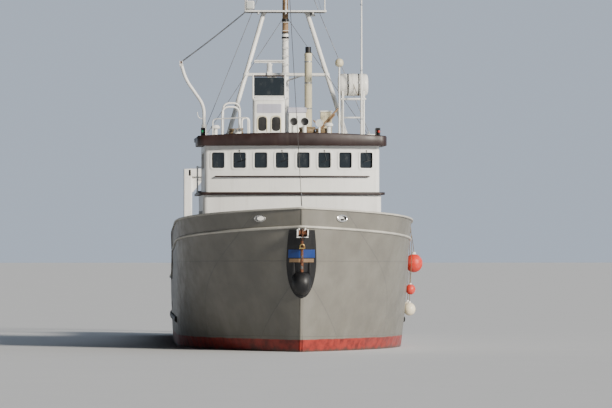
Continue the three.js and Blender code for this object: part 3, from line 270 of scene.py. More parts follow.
def coil(x: Span, centre: ArrayLike, radius: float, turns: int, steps: int = 20) -> Points:
    """Gives a line wound round an axis across the ship.

    Args:
        x: where it starts and ends.
        centre: a point on the axis.
        radius: how far from the axis it runs.
        turns: how many turns it has.
        steps: how many pieces each turn has.

    Returns:
        (x, c + r cos t, c + r sin t), with x in even steps.
    """
    turn = np.linspace(0, 2 * np.pi * turns, turns * steps + 1)
    along = x[0] + (x[1] - x[0]) * turn / turn[-1]
    return np.stack([along, centre[1] + radius * np.cos(turn), centre[2] + radius * np.sin(turn)], axis=1)


def rounded(corners: ArrayLike, radius: float, steps: int = 5) -> Points:
    """Rounds the inner corners of a line.

    Args:
        corners: the line's points, shape (n, 3).
        radius: how far before and after a corner its curve starts and ends.
        steps: how many pieces each curve has.

    Returns:
        The line, where each corner b is the parabola (1-t)^2 p + 2t(1-t) b + t^2 q between p and q on its legs.
    """
    line = np.asarray(corners, float)
    before, corner, after = line[:-2], line[1:-1], line[2:]
    reach = np.minimum(radius, 0.5 * np.minimum(
        np.linalg.norm(before - corner, axis=1), np.linalg.norm(after - corner, axis=1)))[:, None]
    start = corner + unit(before - corner) * reach
    end = corner + unit(after - corner) * reach
    t = np.linspace(0, 1, steps + 1)[None, :, None]
    curves = (1 - t) ** 2 * start[:, None] + 2 * t * (1 - t) * corner[:, None] + t ** 2 * end[:, None]
    return np.concatenate([line[:1], curves.reshape(-1, 3), line[-1:]])


def lathe(profile: ArrayLike, centre: ArrayLike, axis: int = 2, sides: int = 32) -> Surface:
    """Turns a profile round an axis.

    Args:
        profile: (radius, along) pairs, with rising along for an outer skin.
        centre: the point that along is measured from.
        axis: 0, 1 or 2 for x, distance or z.
        sides: how many flats go round.

    Returns:
        The surface (r cos a, r sin a, h), with its poles closed.
    """
    radius, along = np.asarray(profile, float).T
    turn = np.linspace(0, 2 * np.pi, sides, endpoint=False)
    ring = np.stack(np.broadcast_arrays(
        radius[:, None] * np.cos(turn), radius[:, None] * np.sin(turn), along[:, None]), axis=-1)
    placed = np.empty_like(ring)
    placed[..., [(axis + 1) % 3, (axis + 2) % 3, axis]] = ring
    return grid(placed + np.asarray(centre, float), around=True).welded()


def ball(radius: float, centre: ArrayLike, tall: float = 1.0, sides: int = 24) -> Surface:
    """Gives the ball (r sin b, -k r cos b), b from 0 to pi, turned round z."""
    turn = np.linspace(0, np.pi, sides // 2 + 1)
    return lathe(np.stack([radius * np.sin(turn), -tall * radius * np.cos(turn)], axis=1), centre, 2, sides)


class Plane(Enum):
    """The plane that an outline is drawn in. The value is the axes of its two numbers and of its depth."""

    PLAN = (0, 1, 2)
    SIDE = (1, 2, 0)
    FRONT = (0, 2, 1)


def inset(outline: Points, margin: float) -> Points:
    """Moves each corner of a counter-clockwise outline inwards by margin (n1 + n2) / (1 + n1 . n2).

    Args:
        outline: the corners.
        margin: how far each edge moves in.

    Returns:
        The moved corners, as many as there were.
    """
    ahead = unit(np.roll(outline, -1, axis=0) - outline)
    normal = np.stack([-ahead[:, 1], ahead[:, 0]], axis=1)
    previous = np.roll(normal, 1, axis=0)
    shared = 1 + (normal * previous).sum(axis=1, keepdims=True)
    return outline + margin * (normal + previous) / np.maximum(shared, 0.3)


def slab(outline: ArrayLike, low: float, high: float, plane: Plane = Plane.PLAN, edge: float = 0.006) -> Surface:
    """Gives a plate of one outline with eased edges.

    Args:
        outline: its corners in the plane.
        low: where its depth starts.
        high: where its depth ends.
        plane: the plane of the outline.
        edge: the width of the eased edge.

    Returns:
        Four rings across the depth, the outer two drawn in by the edge, and two caps.
    """
    shape = np.asarray(outline, float)
    ahead = np.roll(shape, -1, axis=0)
    if (shape[:, 0] * ahead[:, 1] - shape[:, 1] * ahead[:, 0]).sum() < 0:
        shape = shape[::-1]
    edge = min(edge, (high - low) * 0.45)
    drawn_in = inset(shape, edge)
    depths = np.array([low, low + edge, high - edge, high])
    rings = np.stack([drawn_in, shape, shape, drawn_in])
    placed = np.empty((4, len(shape), 3))
    one, two, three = plane.value
    placed[..., one], placed[..., two], placed[..., three] = rings[..., 0], rings[..., 1], depths[:, None]
    body = grid(placed, around=True)
    count = len(shape)
    body.faces += [np.arange(count)[None, ::-1], np.arange(count)[None] + 3 * count]
    return body.flipped() if plane is Plane.FRONT else body


def block(x: Sequence[float], distance: Sequence[float], z: Sequence[float], edge: float = 0.006) -> Surface:
    """Gives a box with eased edges.

    Args:
        x: its lowest and highest x.
        distance: its lowest and highest distance from the bow.
        z: its lowest and highest z.
        edge: how much each edge is eased.

    Returns:
        A closed surface.
    """
    corners = [(x[0], distance[0]), (x[1], distance[0]), (x[1], distance[1]), (x[0], distance[1])]
    cut = min(edge, (x[1] - x[0]) * 0.4, (distance[1] - distance[0]) * 0.4)
    eased = rounded_outline(corners, cut, 2)
    return slab(eased, z[0], z[1], Plane.PLAN, edge)


def rounded_outline(corners: ArrayLike, radius: float, steps: int = 4) -> Points:
    """Rounds every corner of a closed outline in the way of rounded()."""
    outline = np.asarray(corners, float)
    flat = np.concatenate([outline[-1:], outline, outline[:1]])
    return rounded(np.pad(flat, ((0, 0), (0, 1))), radius, steps)[1:-1, :2]


def rod(start: ArrayLike, end: ArrayLike, radius: float, end_radius: float | None = None, sides: int = 14) -> Surface:
    """Gives a straight round bar with eased ends.

    Args:
        start: the middle of its first end.
        end: the middle of its other end.
        radius: its radius at the start.
        end_radius: its radius at the end, the same by default.
        sides: how many flats go round.

    Returns:
        A circle carried along the line, drawn in by a twelfth of the radius at both ends.
    """
    first, last = np.asarray(start, float), np.asarray(end, float)
    tip = radius if end_radius is None else end_radius
    length = float(np.linalg.norm(last - first))
    ease = min(radius, tip, length) / 12
    share = np.array([0, ease, length - ease, length]) / length
    sizes = (radius + (tip - radius) * share) - np.array([ease, 0, 0, ease])
    return tube(first + (last - first) * share[:, None], 1.0, sides, size=sizes)


def arc_between(low: float, high: float, steps: int) -> Points:
    """Gives evenly spaced angles in radians between two angles in degrees."""
    return np.radians(np.linspace(low, high, steps))


# Finishes.


class Nodes:
    """Builds the node tree of one material."""

    def __init__(self, name: str) -> None:
        """Starts a material with its shader and its output.

        Args:
            name: the material's name.
        """
        self.material = bpy.data.materials.new(name)
        self.material.use_nodes = True
        self.tree = self.material.node_tree
        self.tree.nodes.clear()
        self.shader = self.node("ShaderNodeBsdfPrincipled")
        output = self.node("ShaderNodeOutputMaterial")
        self.tree.links.new(self.shader.outputs[0], output.inputs["Surface"])
        self.place = self.node("ShaderNodeTexCoord").outputs["Object"]

    def node(self, kind: str, inputs: dict[str | int, object] | None = None, **settings: object) -> bpy.types.Node:
        """Adds a node.

        Args:
            kind: its type's name.
            inputs: for each socket, a number, a colour or another node's output.
            settings: its own properties.

        Returns:
            The new node.
        """
        made = self.tree.nodes.new(kind)
        for key, value in settings.items():
            setattr(made, key, value)
        for key, value in (inputs or {}).items():
            self.feed(made.inputs[key], value)
        return made

    def feed(self, socket: bpy.types.NodeSocket, value: object) -> None:
        """Links another node's output to a socket, or sets the socket's value.

        Args:
            socket: the socket.
            value: an output, a number, a vector, or a colour without its alpha.
        """
        if isinstance(value, bpy.types.NodeSocket):
            self.tree.links.new(value, socket)
        elif socket.type == "RGBA":
            socket.default_value = (*value, 1.0)
        else:
            socket.default_value = value

    def maths(self, operation: str, one: object, two: object = 0.0, three: object = 0.0) -> bpy.types.NodeSocket:
        """Adds a Math node and returns its result."""
        return self.node("ShaderNodeMath", {0: one, 1: two, 2: three}, operation=operation).outputs[0]

    def noise(self, scale: float, detail: float = 4.0, stretch: Place = (1, 1, 1), rough: float = 0.55) -> object:
        """Gives a noise from 0 to 1 over the object's own coordinates.

        Args:
            scale: how many waves there are to a metre.
            detail: how many finer layers it has.
            stretch: a factor on the frequency along each axis.
            rough: how strong the finer layers are.

        Returns:
            The noise's socket.
        """
        where = self.place
        if stretch != (1, 1, 1):
            where = self.node("ShaderNodeMapping", {"Vector": where, "Scale": stretch}).outputs[0]
        sockets = {"Vector": where, "Scale": scale, "Detail": detail, "Roughness": rough}
        return self.node("ShaderNodeTexNoise", sockets).outputs["Fac"]

    def ramp(self, value: object, low: float, high: float, bottom: float = 0.0, top: float = 1.0) -> object:
        """Maps low..high to bottom..top smoothly, and holds the ends."""
        sockets = {"Value": value, "From Min": low, "From Max": high, "To Min": bottom, "To Max": top}
        return self.node("ShaderNodeMapRange", sockets, interpolation_type="SMOOTHSTEP").outputs["Result"]

    def blend(self, share: object, first: object, second: object) -> object:
        """Mixes two colours."""
        return self.node("ShaderNodeMix", {0: share, 6: first, 7: second}, data_type="RGBA").outputs[2]

    def bump(self, height: object, strength: float, distance: float, under: object = None) -> object:
        """Gives a normal that is bent by a height.

        Args:
            height: the height, from 0 to 1.
            strength: how much of the bend is kept.
            distance: how high 1 is, in metres.
            under: the normal that is bent, or none for the surface's own.

        Returns:
            The bent normal.
        """
        sockets = {"Height": height, "Strength": strength, "Distance": distance}
        if under is not None:
            sockets["Normal"] = under
        return self.node("ShaderNodeBump", sockets).outputs["Normal"]

    def finish(self, **sockets: object) -> bpy.types.Material:
        """Sets the shader's sockets, with _ for a space in their names, and returns the material."""
        for key, value in sockets.items():
            self.feed(self.shader.inputs[key.replace("_", " ")], value)
        return self.material


RUST: Colour = (0.16, 0.052, 0.018)
GRIME: Colour = (0.16, 0.14, 0.11)


@dataclass(frozen=True)
class Finish:
    """A finish of the ship. Its material is made once and shared."""

    name: str
    colour: Colour

    def build(self, nodes: Nodes) -> bpy.types.Material:
        """Fills the material's nodes. Each kind of finish has its own way."""
        raise NotImplementedError

    def material(self) -> bpy.types.Material:
        """Gives the finish's material."""
        made = bpy.data.materials.get(f"{self.name}_finish")
        return made if made else self.build(Nodes(f"{self.name}_finish"))


@dataclass(frozen=True)
class Paint(Finish):
    """Paint on steel, with uneven colour, runs of dirt, and rust that breaks through.

    gloss is the roughness. patches is how far the colour varies. runs, rust and grain are amounts from 0 to 1.
    """

    gloss: float = 0.45
    patches: float = 0.10
    runs: float = 0.25
    rust: float = 0.15
    grain: float = 0.15
    dents: float = 0.25

    def base(self, nodes: Nodes) -> object:
        """Gives the paint's own colour, a little lighter and darker in patches."""
        darker = tuple(channel * (1 - 1.8 * self.patches) for channel in self.colour)
        lighter = tuple(min(1.0, channel * (1 + 0.6 * self.patches)) for channel in self.colour)
        return nodes.blend(nodes.ramp(nodes.noise(1.1, 6), 0.3, 0.7), darker, lighter)

    def worn(self, nodes: Nodes, colour: object) -> tuple[object, object]:
        """Lays runs of dirt and spots of rust over a colour.

        Args:
            nodes: the material's nodes.
            colour: the clean paint.

        Returns:
            The worn colour, and the share of rust.
        """
        runs = nodes.ramp(nodes.noise(7, 5, (1, 1, 0.07)), 0.5, 0.8, 0, self.runs)
        dirty = nodes.blend(runs, colour, GRIME)
        spots = nodes.ramp(nodes.noise(5, 9, (1, 1, 0.5), 0.72), 0.70 - 0.1 * self.rust, 0.76)
        spots = nodes.maths("MULTIPLY", spots, min(1.0, self.rust * 3))
        return nodes.blend(spots, dirty, RUST), spots

    def relief(self, nodes: Nodes, spots: object) -> object:
        """Gives the normal: wide dents in the plate, the grain of the paint, and the rust's edges."""
        wide = nodes.bump(nodes.noise(1.4, 2), self.dents * 0.5, 0.03)
        fine = nodes.bump(nodes.noise(160, 3), self.grain, 0.002, wide)
        return nodes.bump(spots, 0.3, 0.004, fine)

    def roughness(self, nodes: Nodes, spots: object) -> object:
        """Gives the roughness, which varies over the paint and is high on rust."""
        uneven = nodes.ramp(nodes.noise(3, 5), 0.3, 0.7, self.gloss - 0.08, self.gloss + 0.1)
        return nodes.maths("MAXIMUM", uneven, nodes.maths("MULTIPLY", spots, 0.85))

    def build(self, nodes: Nodes) -> bpy.types.Material:
        """Makes the painted steel."""
        colour, spots = self.worn(nodes, self.base(nodes))
        return nodes.finish(
            Base_Color=colour, Roughness=self.roughness(nodes, spots), Normal=self.relief(nodes, spots),
        )


@dataclass(frozen=True)
class HullPaint(Paint):
    """Hull paint in zones by height: antifouling and boot top at the foot, then the topsides with plate seams.

    waterline is the height of the upper edge of the boot top. seams and rows are the spacing of the welded seams along
    the hull and up it.
    """

    boot: Colour = (0.3, 0.028, 0.018)
    weed: Colour = (0.035, 0.042, 0.03)
    waterline: float = 0.42
    seams: float = 2.4
    rows: float = 1.25

    def welds(self, nodes: Nodes) -> object:
        """Draws the welded seams: rows of plates, whose butts rake at the bow as the stem does.

        Args:
            nodes: the material's nodes.

        Returns:
            1 on a seam and 0 elsewhere.
        """
        parts = nodes.node("ShaderNodeSeparateXYZ", {0: nodes.place}).outputs
        waver = nodes.maths("MULTIPLY", nodes.noise(14, 2), 0.012)
        raked = nodes.maths("MULTIPLY_ADD", nodes.ramp(parts[1], -12.0, -5.0, 0.9, 0.0), parts[2], parts[1])
        shifted = nodes.maths("ADD", raked, 0.8)
        along = nodes.maths("PINGPONG", nodes.maths("ADD", shifted, waver), self.seams / 2)
        lifted = nodes.maths("SUBTRACT", parts[2], 0.38)
        rising = nodes.maths("MULTIPLY_ADD", parts[1], 0.012, lifted)
        up = nodes.maths("PINGPONG", nodes.maths("ADD", rising, waver), self.rows)
        return nodes.maths("MAXIMUM", *(nodes.ramp(way, 0.011, 0.019, 1, 0) for way in (along, up)))

    def build(self, nodes: Nodes) -> bpy.types.Material:
        """Makes the hull's zones, seams and stains.

        Args:
            nodes: the material's nodes.

        Returns:
            The material: red below the waterline, weedy further down, and stained grey with seams above.
        """
        height = nodes.node("ShaderNodeSeparateXYZ", {0: nodes.place}).outputs[2]
        welds = self.welds(nodes)
        grey = self.base(nodes)
        grey = nodes.blend(nodes.maths("MULTIPLY", welds, 0.35), grey, (0.1, 0.1, 0.095))
        low = nodes.ramp(height, 0.3, 2.1, 0.42, 0)
        stained = nodes.maths("MULTIPLY", low, nodes.ramp(nodes.noise(2.3, 6, (1, 1, 0.35)), 0.35, 0.65))
        grey = nodes.blend(stained, grey, (0.12, 0.115, 0.09))
        grey, spots = self.worn(nodes, grey)
        edge = nodes.maths("MULTIPLY_ADD", nodes.noise(1.7, 4), 0.05, height)
        red = nodes.blend(nodes.ramp(nodes.noise(4, 6), 0.35, 0.7), self.boot, tuple(c * 0.45 for c in self.boot))
        foot = nodes.blend(nodes.ramp(edge, self.waterline, self.waterline + 0.03), red, grey)
        slime = nodes.ramp(nodes.maths("MULTIPLY_ADD", nodes.noise(3, 5), 0.2, height), 0.08, 0.24, 0.9, 0)
        below = nodes.ramp(height, -0.35, -0.1)
        slime = nodes.maths("MULTIPLY", slime, nodes.maths("MULTIPLY_ADD", below, 0.75, 0.25))
        colour = nodes.blend(slime, foot, self.weed)
        normal = nodes.bump(welds, 0.55, 0.006, self.relief(nodes, spots))
        return nodes.finish(Base_Color=colour, Roughness=self.roughness(nodes, spots), Normal=normal)


@dataclass(frozen=True)
class BareMetal(Finish):
    """Metal without paint: galvanised, bronze or stainless, dulled by stains and pitted."""

    gloss: float = 0.4
    stain: Colour = (0.2, 0.19, 0.17)
    stained: float = 0.5
    spangle: float = 24.0

    def build(self, nodes: Nodes) -> bpy.types.Material:
        """Makes metal with grains of zinc, stains and scratches.

        Args:
            nodes: the material's nodes.

        Returns:
            The material, whose grains are a Voronoi pattern of the given spangle.
        """
        cells = nodes.node("ShaderNodeTexVoronoi", {"Vector": nodes.place, "Scale": self.spangle})
        grey = nodes.node("ShaderNodeRGBToBW", {0: cells.outputs["Color"]}).outputs[0]
        dark = tuple(channel * 0.72 for channel in self.colour)
        metal = nodes.blend(grey, dark, self.colour)
        stains = nodes.ramp(nodes.noise(6, 8, (1, 1, 0.4), 0.65), 0.48, 0.72, 0, self.stained)
        scratches = nodes.noise(60, 2, (1, 8, 1))
        rough = nodes.maths("ADD", nodes.ramp(scratches, 0.3, 0.8, self.gloss - 0.08, self.gloss + 0.12), stains)
        normal = nodes.bump(nodes.noise(90, 4), 0.18, 0.002)
        return nodes.finish(
            Base_Color=nodes.blend(stains, metal, self.stain), Metallic=0.85, Roughness=rough, Normal=normal,
        )


@dataclass(frozen=True)
class RustyMetal(Finish):
    """Steel that has lost most of its paint."""

    left: float = 0.35

    def build(self, nodes: Nodes) -> bpy.types.Material:
        """Makes scaly rust with what is left of the paint.

        Args:
            nodes: the material's nodes.

        Returns:
            The material, which keeps islands of paint that grow with the given share.
        """
        scale = nodes.noise(12, 10, (1, 1, 1), 0.7)
        rust = nodes.blend(nodes.ramp(scale, 0.35, 0.65), (0.045, 0.02, 0.013), (0.2, 0.07, 0.026))
        paint = nodes.ramp(nodes.noise(4, 8, (1, 1, 1), 0.68), 0.5 - 0.2 * self.left, 0.54 - 0.2 * self.left, 1, 0)
        colour = nodes.blend(nodes.maths("MULTIPLY", paint, 0.9), rust, self.colour)
        normal = nodes.bump(paint, 0.4, 0.003, nodes.bump(scale, 0.6, 0.008))
        rough = nodes.ramp(paint, 0, 1, 0.85, 0.5)
        return nodes.finish(Base_Color=colour, Roughness=rough, Metallic=0.1, Normal=normal)


@dataclass(frozen=True)
class DarkGlass(Finish):
    """Toughened glass, opaque and smeared by salt; for the windows its near-black colour is painted shade of the room
    behind.
    """

    def build(self, nodes: Nodes) -> bpy.types.Material:
        """Makes a glossy pane in the finish's colour, near-black for the windows as painted shade, with dried salt on
        it.

        Args:
            nodes: the material's nodes.

        Returns:
            The material, glossy and coated, and duller where the salt lies.
        """
        salt = nodes.ramp(nodes.noise(5, 7, (1, 1, 0.5), 0.65), 0.5, 0.85, 0, 0.12)
        colour = nodes.blend(salt, self.colour, (0.35, 0.36, 0.35))
        rough = nodes.ramp(salt, 0, 0.12, 0.05, 0.4)
        return nodes.finish(Base_Color=colour, Roughness=rough, Coat_Weight=0.6, Coat_Roughness=0.03, IOR=1.5)


@dataclass(frozen=True)
class Rubber(Finish):
    """Blown plastic or rubber, scuffed and chalky."""

    gloss: float = 0.42
    scuffed: float = 0.35

    def build(self, nodes: Nodes) -> bpy.types.Material:
        """Makes a smooth skin with scuffs and dirt.

        Args:
            nodes: the material's nodes.

        Returns:
            The material, chalky in patches and scuffed dark in streaks.
        """
        chalk = tuple(min(1.0, 0.85 * channel + 0.07) for channel in self.colour)
        colour = nodes.blend(nodes.ramp(nodes.noise(5, 6), 0.42, 0.75), self.colour, chalk)
        scuffs = nodes.ramp(nodes.noise(16, 8, (1, 1, 3), 0.7), 0.55, 0.68, 0, self.scuffed)
        rough = nodes.ramp(nodes.noise(9, 4), 0.3, 0.7, self.gloss - 0.1, self.gloss + 0.15)
        normal = nodes.bump(nodes.noise(70, 4), 0.12, 0.002)
        return nodes.finish(
            Base_Color=nodes.blend(scuffs, colour, (0.07, 0.06, 0.05)), Roughness=rough, Normal=normal,
        )


@dataclass(frozen=True)
class Twine(Finish):
    """Netting or rope, by the piece's own UV map. pitch is how many strands there are to one unit of it."""

    pitch: tuple[float, float] = (40.0, 40.0)
    slope: float = 1.0

    def build(self, nodes: Nodes) -> bpy.types.Material:
        """Makes crossed strands, with painted shade in the grooves and gaps between them, and faded patches of worn
        fibre.

        Args:
            nodes: the material's nodes.

        Returns:
            The material: two sets of slanting ridges on the UV map, or one set where the slope isn't 1.
        """
        along = nodes.node("ShaderNodeUVMap", uv_map="strands").outputs[0]
        parts = nodes.node("ShaderNodeSeparateXYZ", {0: along}).outputs
        u = nodes.maths("MULTIPLY", parts[0], self.pitch[0])
        v = nodes.maths("MULTIPLY", parts[1], self.pitch[1])
        one = nodes.maths("PINGPONG", nodes.maths("MULTIPLY_ADD", v, self.slope, u), 1)
        two = nodes.maths("PINGPONG", nodes.maths("SUBTRACT", u, nodes.maths("MULTIPLY", v, self.slope)), 1)
        strand = nodes.maths("MAXIMUM", one, two) if self.slope == 1 else one
        # Between the strands the colour drops to 0.3 of itself: painted shade in the grooves and gaps.
        dark = tuple(channel * 0.3 for channel in self.colour)
        colour = nodes.blend(nodes.ramp(strand, 0.25, 0.85), dark, self.colour)
        faded = tuple(min(1.0, channel * 1.5 + 0.06) for channel in self.colour)
        colour = nodes.blend(nodes.ramp(nodes.noise(4, 5), 0.45, 0.8, 0, 0.7), colour, faded)
        normal = nodes.bump(strand, 0.9, 0.012, nodes.bump(nodes.noise(220, 2), 0.2, 0.002))
        return nodes.finish(Base_Color=colour, Roughness=0.9, Normal=normal, Sheen_Weight=0.2)


@dataclass(frozen=True)
class DeckPaint(Paint):
    """Deck paint with grit in it, worn to steel where people walk."""

    def build(self, nodes: Nodes) -> bpy.types.Material:
        """Makes gritty paint with worn paths and puddle stains.

        Args:
            nodes: the material's nodes.

        Returns:
            The material, whose grit is a fine Voronoi pattern over the paint's own relief.
        """
        colour, spots = self.worn(nodes, self.base(nodes))
        paths = nodes.ramp(nodes.noise(0.9, 7, (1, 0.35, 1), 0.62), 0.5, 0.66, 0, 0.6)
        colour = nodes.blend(paths, colour, (0.17, 0.13, 0.1))
        grit = nodes.node("ShaderNodeTexVoronoi", {"Vector": nodes.place, "Scale": 90.0}).outputs["Distance"]
        normal = nodes.bump(grit, 0.35, 0.003, self.relief(nodes, spots))
        return nodes.finish(Base_Color=colour, Roughness=self.roughness(nodes, spots), Normal=normal)


HULL_GREY = HullPaint("hull_paint", (0.185, 0.176, 0.152), gloss=0.42, patches=0.09, runs=0.3, rust=0.16, dents=0.5)
TOP_GREY = Paint("bulwark_grey", (0.225, 0.217, 0.192), gloss=0.45, patches=0.1, runs=0.3, rust=0.2, dents=0.35)
RAIL_GREY = Paint("rail_paint", (0.5, 0.48, 0.42), gloss=0.4, runs=0.2, rust=0.3, dents=0.1)
WHITE = Paint("house_white", (0.8, 0.795, 0.765), gloss=0.36, patches=0.035, runs=0.13, rust=0.1, dents=0.22)
GEAR_WHITE = Paint("gear_white", (0.78, 0.775, 0.74), gloss=0.38, patches=0.05, runs=0.22, rust=0.3, dents=0.08)
MAROON = Paint("maroon_trim", (0.027, 0.013, 0.012), gloss=0.42, patches=0.16, runs=0.15, rust=0.06, dents=0.1)
BLACK = Paint("black_paint", (0.006, 0.006, 0.007), gloss=0.46, patches=0.2, runs=0.1, rust=0.2, dents=0.15)
CREAM = Paint("cream_paint", (0.66, 0.6, 0.42), gloss=0.4, patches=0.08, runs=0.35, rust=0.2, dents=0.08)
BLUE = Paint("blue_paint", (0.008, 0.04, 0.2), gloss=0.4, patches=0.12, runs=0.05, rust=0.05, dents=0.0)
TAN = Paint("tan_timber", (0.27, 0.17, 0.09), gloss=0.7, patches=0.2, runs=0.3, rust=0.05, dents=0.0)
DECK = DeckPaint("deck_paint", (0.15, 0.165, 0.16), gloss=0.68, patches=0.16, runs=0.0, rust=0.4, grain=0.4)
CABIN_DECK = DeckPaint("boat_deck_paint", (0.1, 0.14, 0.12), gloss=0.7, patches=0.12, runs=0.0, rust=0.15, grain=0.4)
ENGINE = Paint("engine_paint", (0.075, 0.13, 0.1), gloss=0.4, patches=0.15, runs=0.4, rust=0.1)
SIGNAL_RED = Paint("signal_red", (0.5, 0.03, 0.02), gloss=0.35, rust=0.05)
SIGNAL_GREEN = Paint("signal_green", (0.01, 0.28, 0.1), gloss=0.35, rust=0.05)
GALVANISED = BareMetal("galvanised_steel", (0.52, 0.53, 0.53), gloss=0.42)
STAINLESS = BareMetal("stainless_steel", (0.66, 0.66, 0.65), gloss=0.24, stained=0.2, spangle=4.0)
BRONZE = BareMetal("cast_bronze", (0.52, 0.33, 0.12), gloss=0.34, stain=(0.1, 0.16, 0.11), stained=0.6, spangle=6.0)
WIRE = BareMetal("wire_rope", (0.2, 0.19, 0.175), gloss=0.55, stain=(0.12, 0.06, 0.03), stained=0.7, spangle=60.0)
RUSTY = RustyMetal("rusty_steel", (0.09, 0.1, 0.1))
RUSTY_DOOR = RustyMetal("trawl_door_steel", (0.03, 0.075, 0.16), left=0.5)
# Near-black window glass: painted shade of the room behind the opaque pane.
GLASS = DarkGlass("window_glass", (0.006, 0.009, 0.01))
LENS = DarkGlass("lamp_glass", (0.5, 0.52, 0.5))
GASKET = Rubber("window_rubber", (0.012, 0.012, 0.012), gloss=0.6)
RED_FENDER = Rubber("red_fender", (0.62, 0.03, 0.012))
CREAM_FENDER = Rubber("cream_fender", (0.76, 0.68, 0.5))
RAFT_WHITE = Rubber("raft_shell", (0.76, 0.75, 0.7), gloss=0.34, scuffed=0.15)
NETTING = Twine("trawl_netting", (0.03, 0.16, 0.09), pitch=(90.0, 60.0))
ROPE = Twine("laid_rope", (0.3, 0.2, 0.09), pitch=(6.0, 30.0), slope=0.5)
BLUE_ROPE = Twine("blue_rope", (0.04, 0.14, 0.34), pitch=(6.0, 30.0), slope=0.5)
VINYL = Rubber("seat_vinyl", (0.02, 0.021, 0.024), gloss=0.5)
CANVAS = Paint("faded_canvas", (0.42, 0.42, 0.5), gloss=0.8, patches=0.12, runs=0.2, rust=0.05, dents=0.4)


# Pieces.


class Shape:
    """Gathers the surfaces of one piece with their finishes, and makes the piece of them."""

    def __init__(self, name: str, body: str = "vessel") -> None:
        """Starts a piece that rides on a body, or on none where the name is empty."""
        self.name = name
        self.body = body
        self.parts: list[tuple[Surface, Finish, Points | None]] = []

    def add(self, finish: Finish, *surfaces: Surface) -> "Shape":
        """Adds surfaces of one finish."""
        self.parts += [(surface, finish, None) for surface in surfaces]
        return self

    def pair(self, finish: Finish, *surfaces: Surface) -> "Shape":
        """Adds surfaces and their mirror images on the other side of the ship."""
        return self.add(finish, *surfaces).add(finish, *(surface.mirrored() for surface in surfaces))

    def strands(self, finish: Finish, surface: Surface, rows: int, columns: int, length: float = 1.0) -> "Shape":
        """Adds a closed sweep with a UV map: along it from 0 to length, and round it from 0 to 1.

        Args:
            finish: its finish, which reads the map.
            surface: what sweep gave.
            rows: how many points its path has.
            columns: how many corners its profile has.
            length: the map's u at the end of the path.

        Returns:
            The shape itself.
        """
        row, column = np.meshgrid(np.arange(rows - 1), np.arange(columns), indexing="ij")
        corners = np.stack([
            np.stack([(row + i) / (rows - 1) * length, (column + j) / columns], axis=-1)
            for i, j in ((0, 0), (0, 1), (1, 1), (1, 0))
        ], axis=2).reshape(-1, 2)
        rest = sum(part.size for part in surface.faces[1:])
        self.parts.append((surface, finish, np.concatenate([corners, np.zeros((rest, 2))])))
        return self

    def mesh(self) -> bpy.types.Mesh:
        """Puts the gathered surfaces into one mesh.

        Returns:
            The mesh at the frame's origin, without the points that no face uses, and with a UV map where a surface
            has strands.
        """
        whole = merged(*(surface for surface, _, _ in self.parts))
        finishes = list(dict.fromkeys(finish for _, finish, _ in self.parts))
        sizes = np.concatenate([np.full(len(part), part.shape[1]) for part in whole.faces])
        held, corners = np.unique(np.concatenate([part.reshape(-1) for part in whole.faces]), return_inverse=True)
        points = whole.points[held]
        slots = np.concatenate([
            np.full(sum(len(part) for part in surface.faces), finishes.index(finish))
            for surface, finish, _ in self.parts
        ])
        mesh = bpy.data.meshes.new(self.name)
        mesh.vertices.add(len(points))
        mesh.vertices.foreach_set("co", (points - (0, HALF_LENGTH, 0)).astype(np.float32).reshape(-1))
        mesh.loops.add(len(corners))
        mesh.loops.foreach_set("vertex_index", corners.astype(np.int32))
        mesh.polygons.add(len(sizes))
        mesh.polygons.foreach_set("loop_start", np.concatenate([[0], np.cumsum(sizes)[:-1]]).astype(np.int32))
        mesh.polygons.foreach_set("material_index", slots.astype(np.int32))
        for finish in finishes:
            mesh.materials.append(finish.material())
        mesh.update(calc_edges=True)
        if any(strand is not None for _, _, strand in self.parts):
            layer = mesh.uv_layers.new(name="strands")
            flat = [
                np.zeros((sum(part.size for part in surface.faces), 2)) if strand is None else strand
                for surface, _, strand in self.parts
            ]
            layer.data.foreach_set("uv", np.concatenate(flat).astype(np.float32).reshape(-1))
        return mesh

    def piece(self, slot: str, replaces: Sequence[str] = (), crease: float = 34.0) -> bpy.types.Object:
        """Makes the piece and sets it on its body.

        Args:
            slot: the record's material slot; not used.
            replaces: the CAD nodes that it stands for.
            crease: the angle in degrees from which an edge stays sharp.

        Returns:
            The new object.
        """
        mesh = self.mesh()
        mesh.shade_smooth()
        mesh.set_sharp_from_angle(angle=math.radians(crease))
        made = bpy.data.objects.new(self.name, mesh)
        bpy.context.scene.collection.objects.link(made)
        if self.body:
            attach(made, self.body)
        if replaces:
            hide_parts(*replaces)
        LOG.info("%s: %d faces on %s", self.name, len(mesh.polygons), self.body)
        return made


def lines_between(low: float, high: float, step: float, also: Sequence[float] = ()) -> Points:
    """Gives rising numbers from low to high, about a step apart.

    Args:
        low: the first number.
        high: the last number.
        step: the most that two neighbours differ.
        also: numbers that are exactly among them, where they lie between low and high.

    Returns:
        The numbers.
    """
    marks = np.unique(np.round([low, high, *(value for value in also if low < value < high)], 6))
    counts = np.maximum(1, np.ceil(np.diff(marks) / step)).astype(int)
    runs = [np.linspace(a, b, count, endpoint=False) for a, b, count in zip(marks[:-1], marks[1:], counts)]
    return np.concatenate([*runs, marks[-1:]])


def outside(one: Points, two: Points, holes: Sequence[tuple[Span, Span]]) -> NDArray[np.bool_]:
    """Tells which cells of a grid lie in none of the holes.

    Args:
        one: the grid's lines across its rows.
        two: the grid's lines across its columns.
        holes: ((low, high), (low, high)) of each hole, in the same numbers.

    Returns:
        True for each cell that stays, shape (len(one) - 1, len(two) - 1).
    """
    keep = np.ones((len(one) - 1, len(two) - 1), bool)
    middle_one, middle_two = (one[1:] + one[:-1]) / 2, (two[1:] + two[:-1]) / 2
    for (a0, a1), (b0, b1) in holes:
        keep &= ~np.outer((middle_one > a0) & (middle_one < a1), (middle_two > b0) & (middle_two < b1))
    return keep


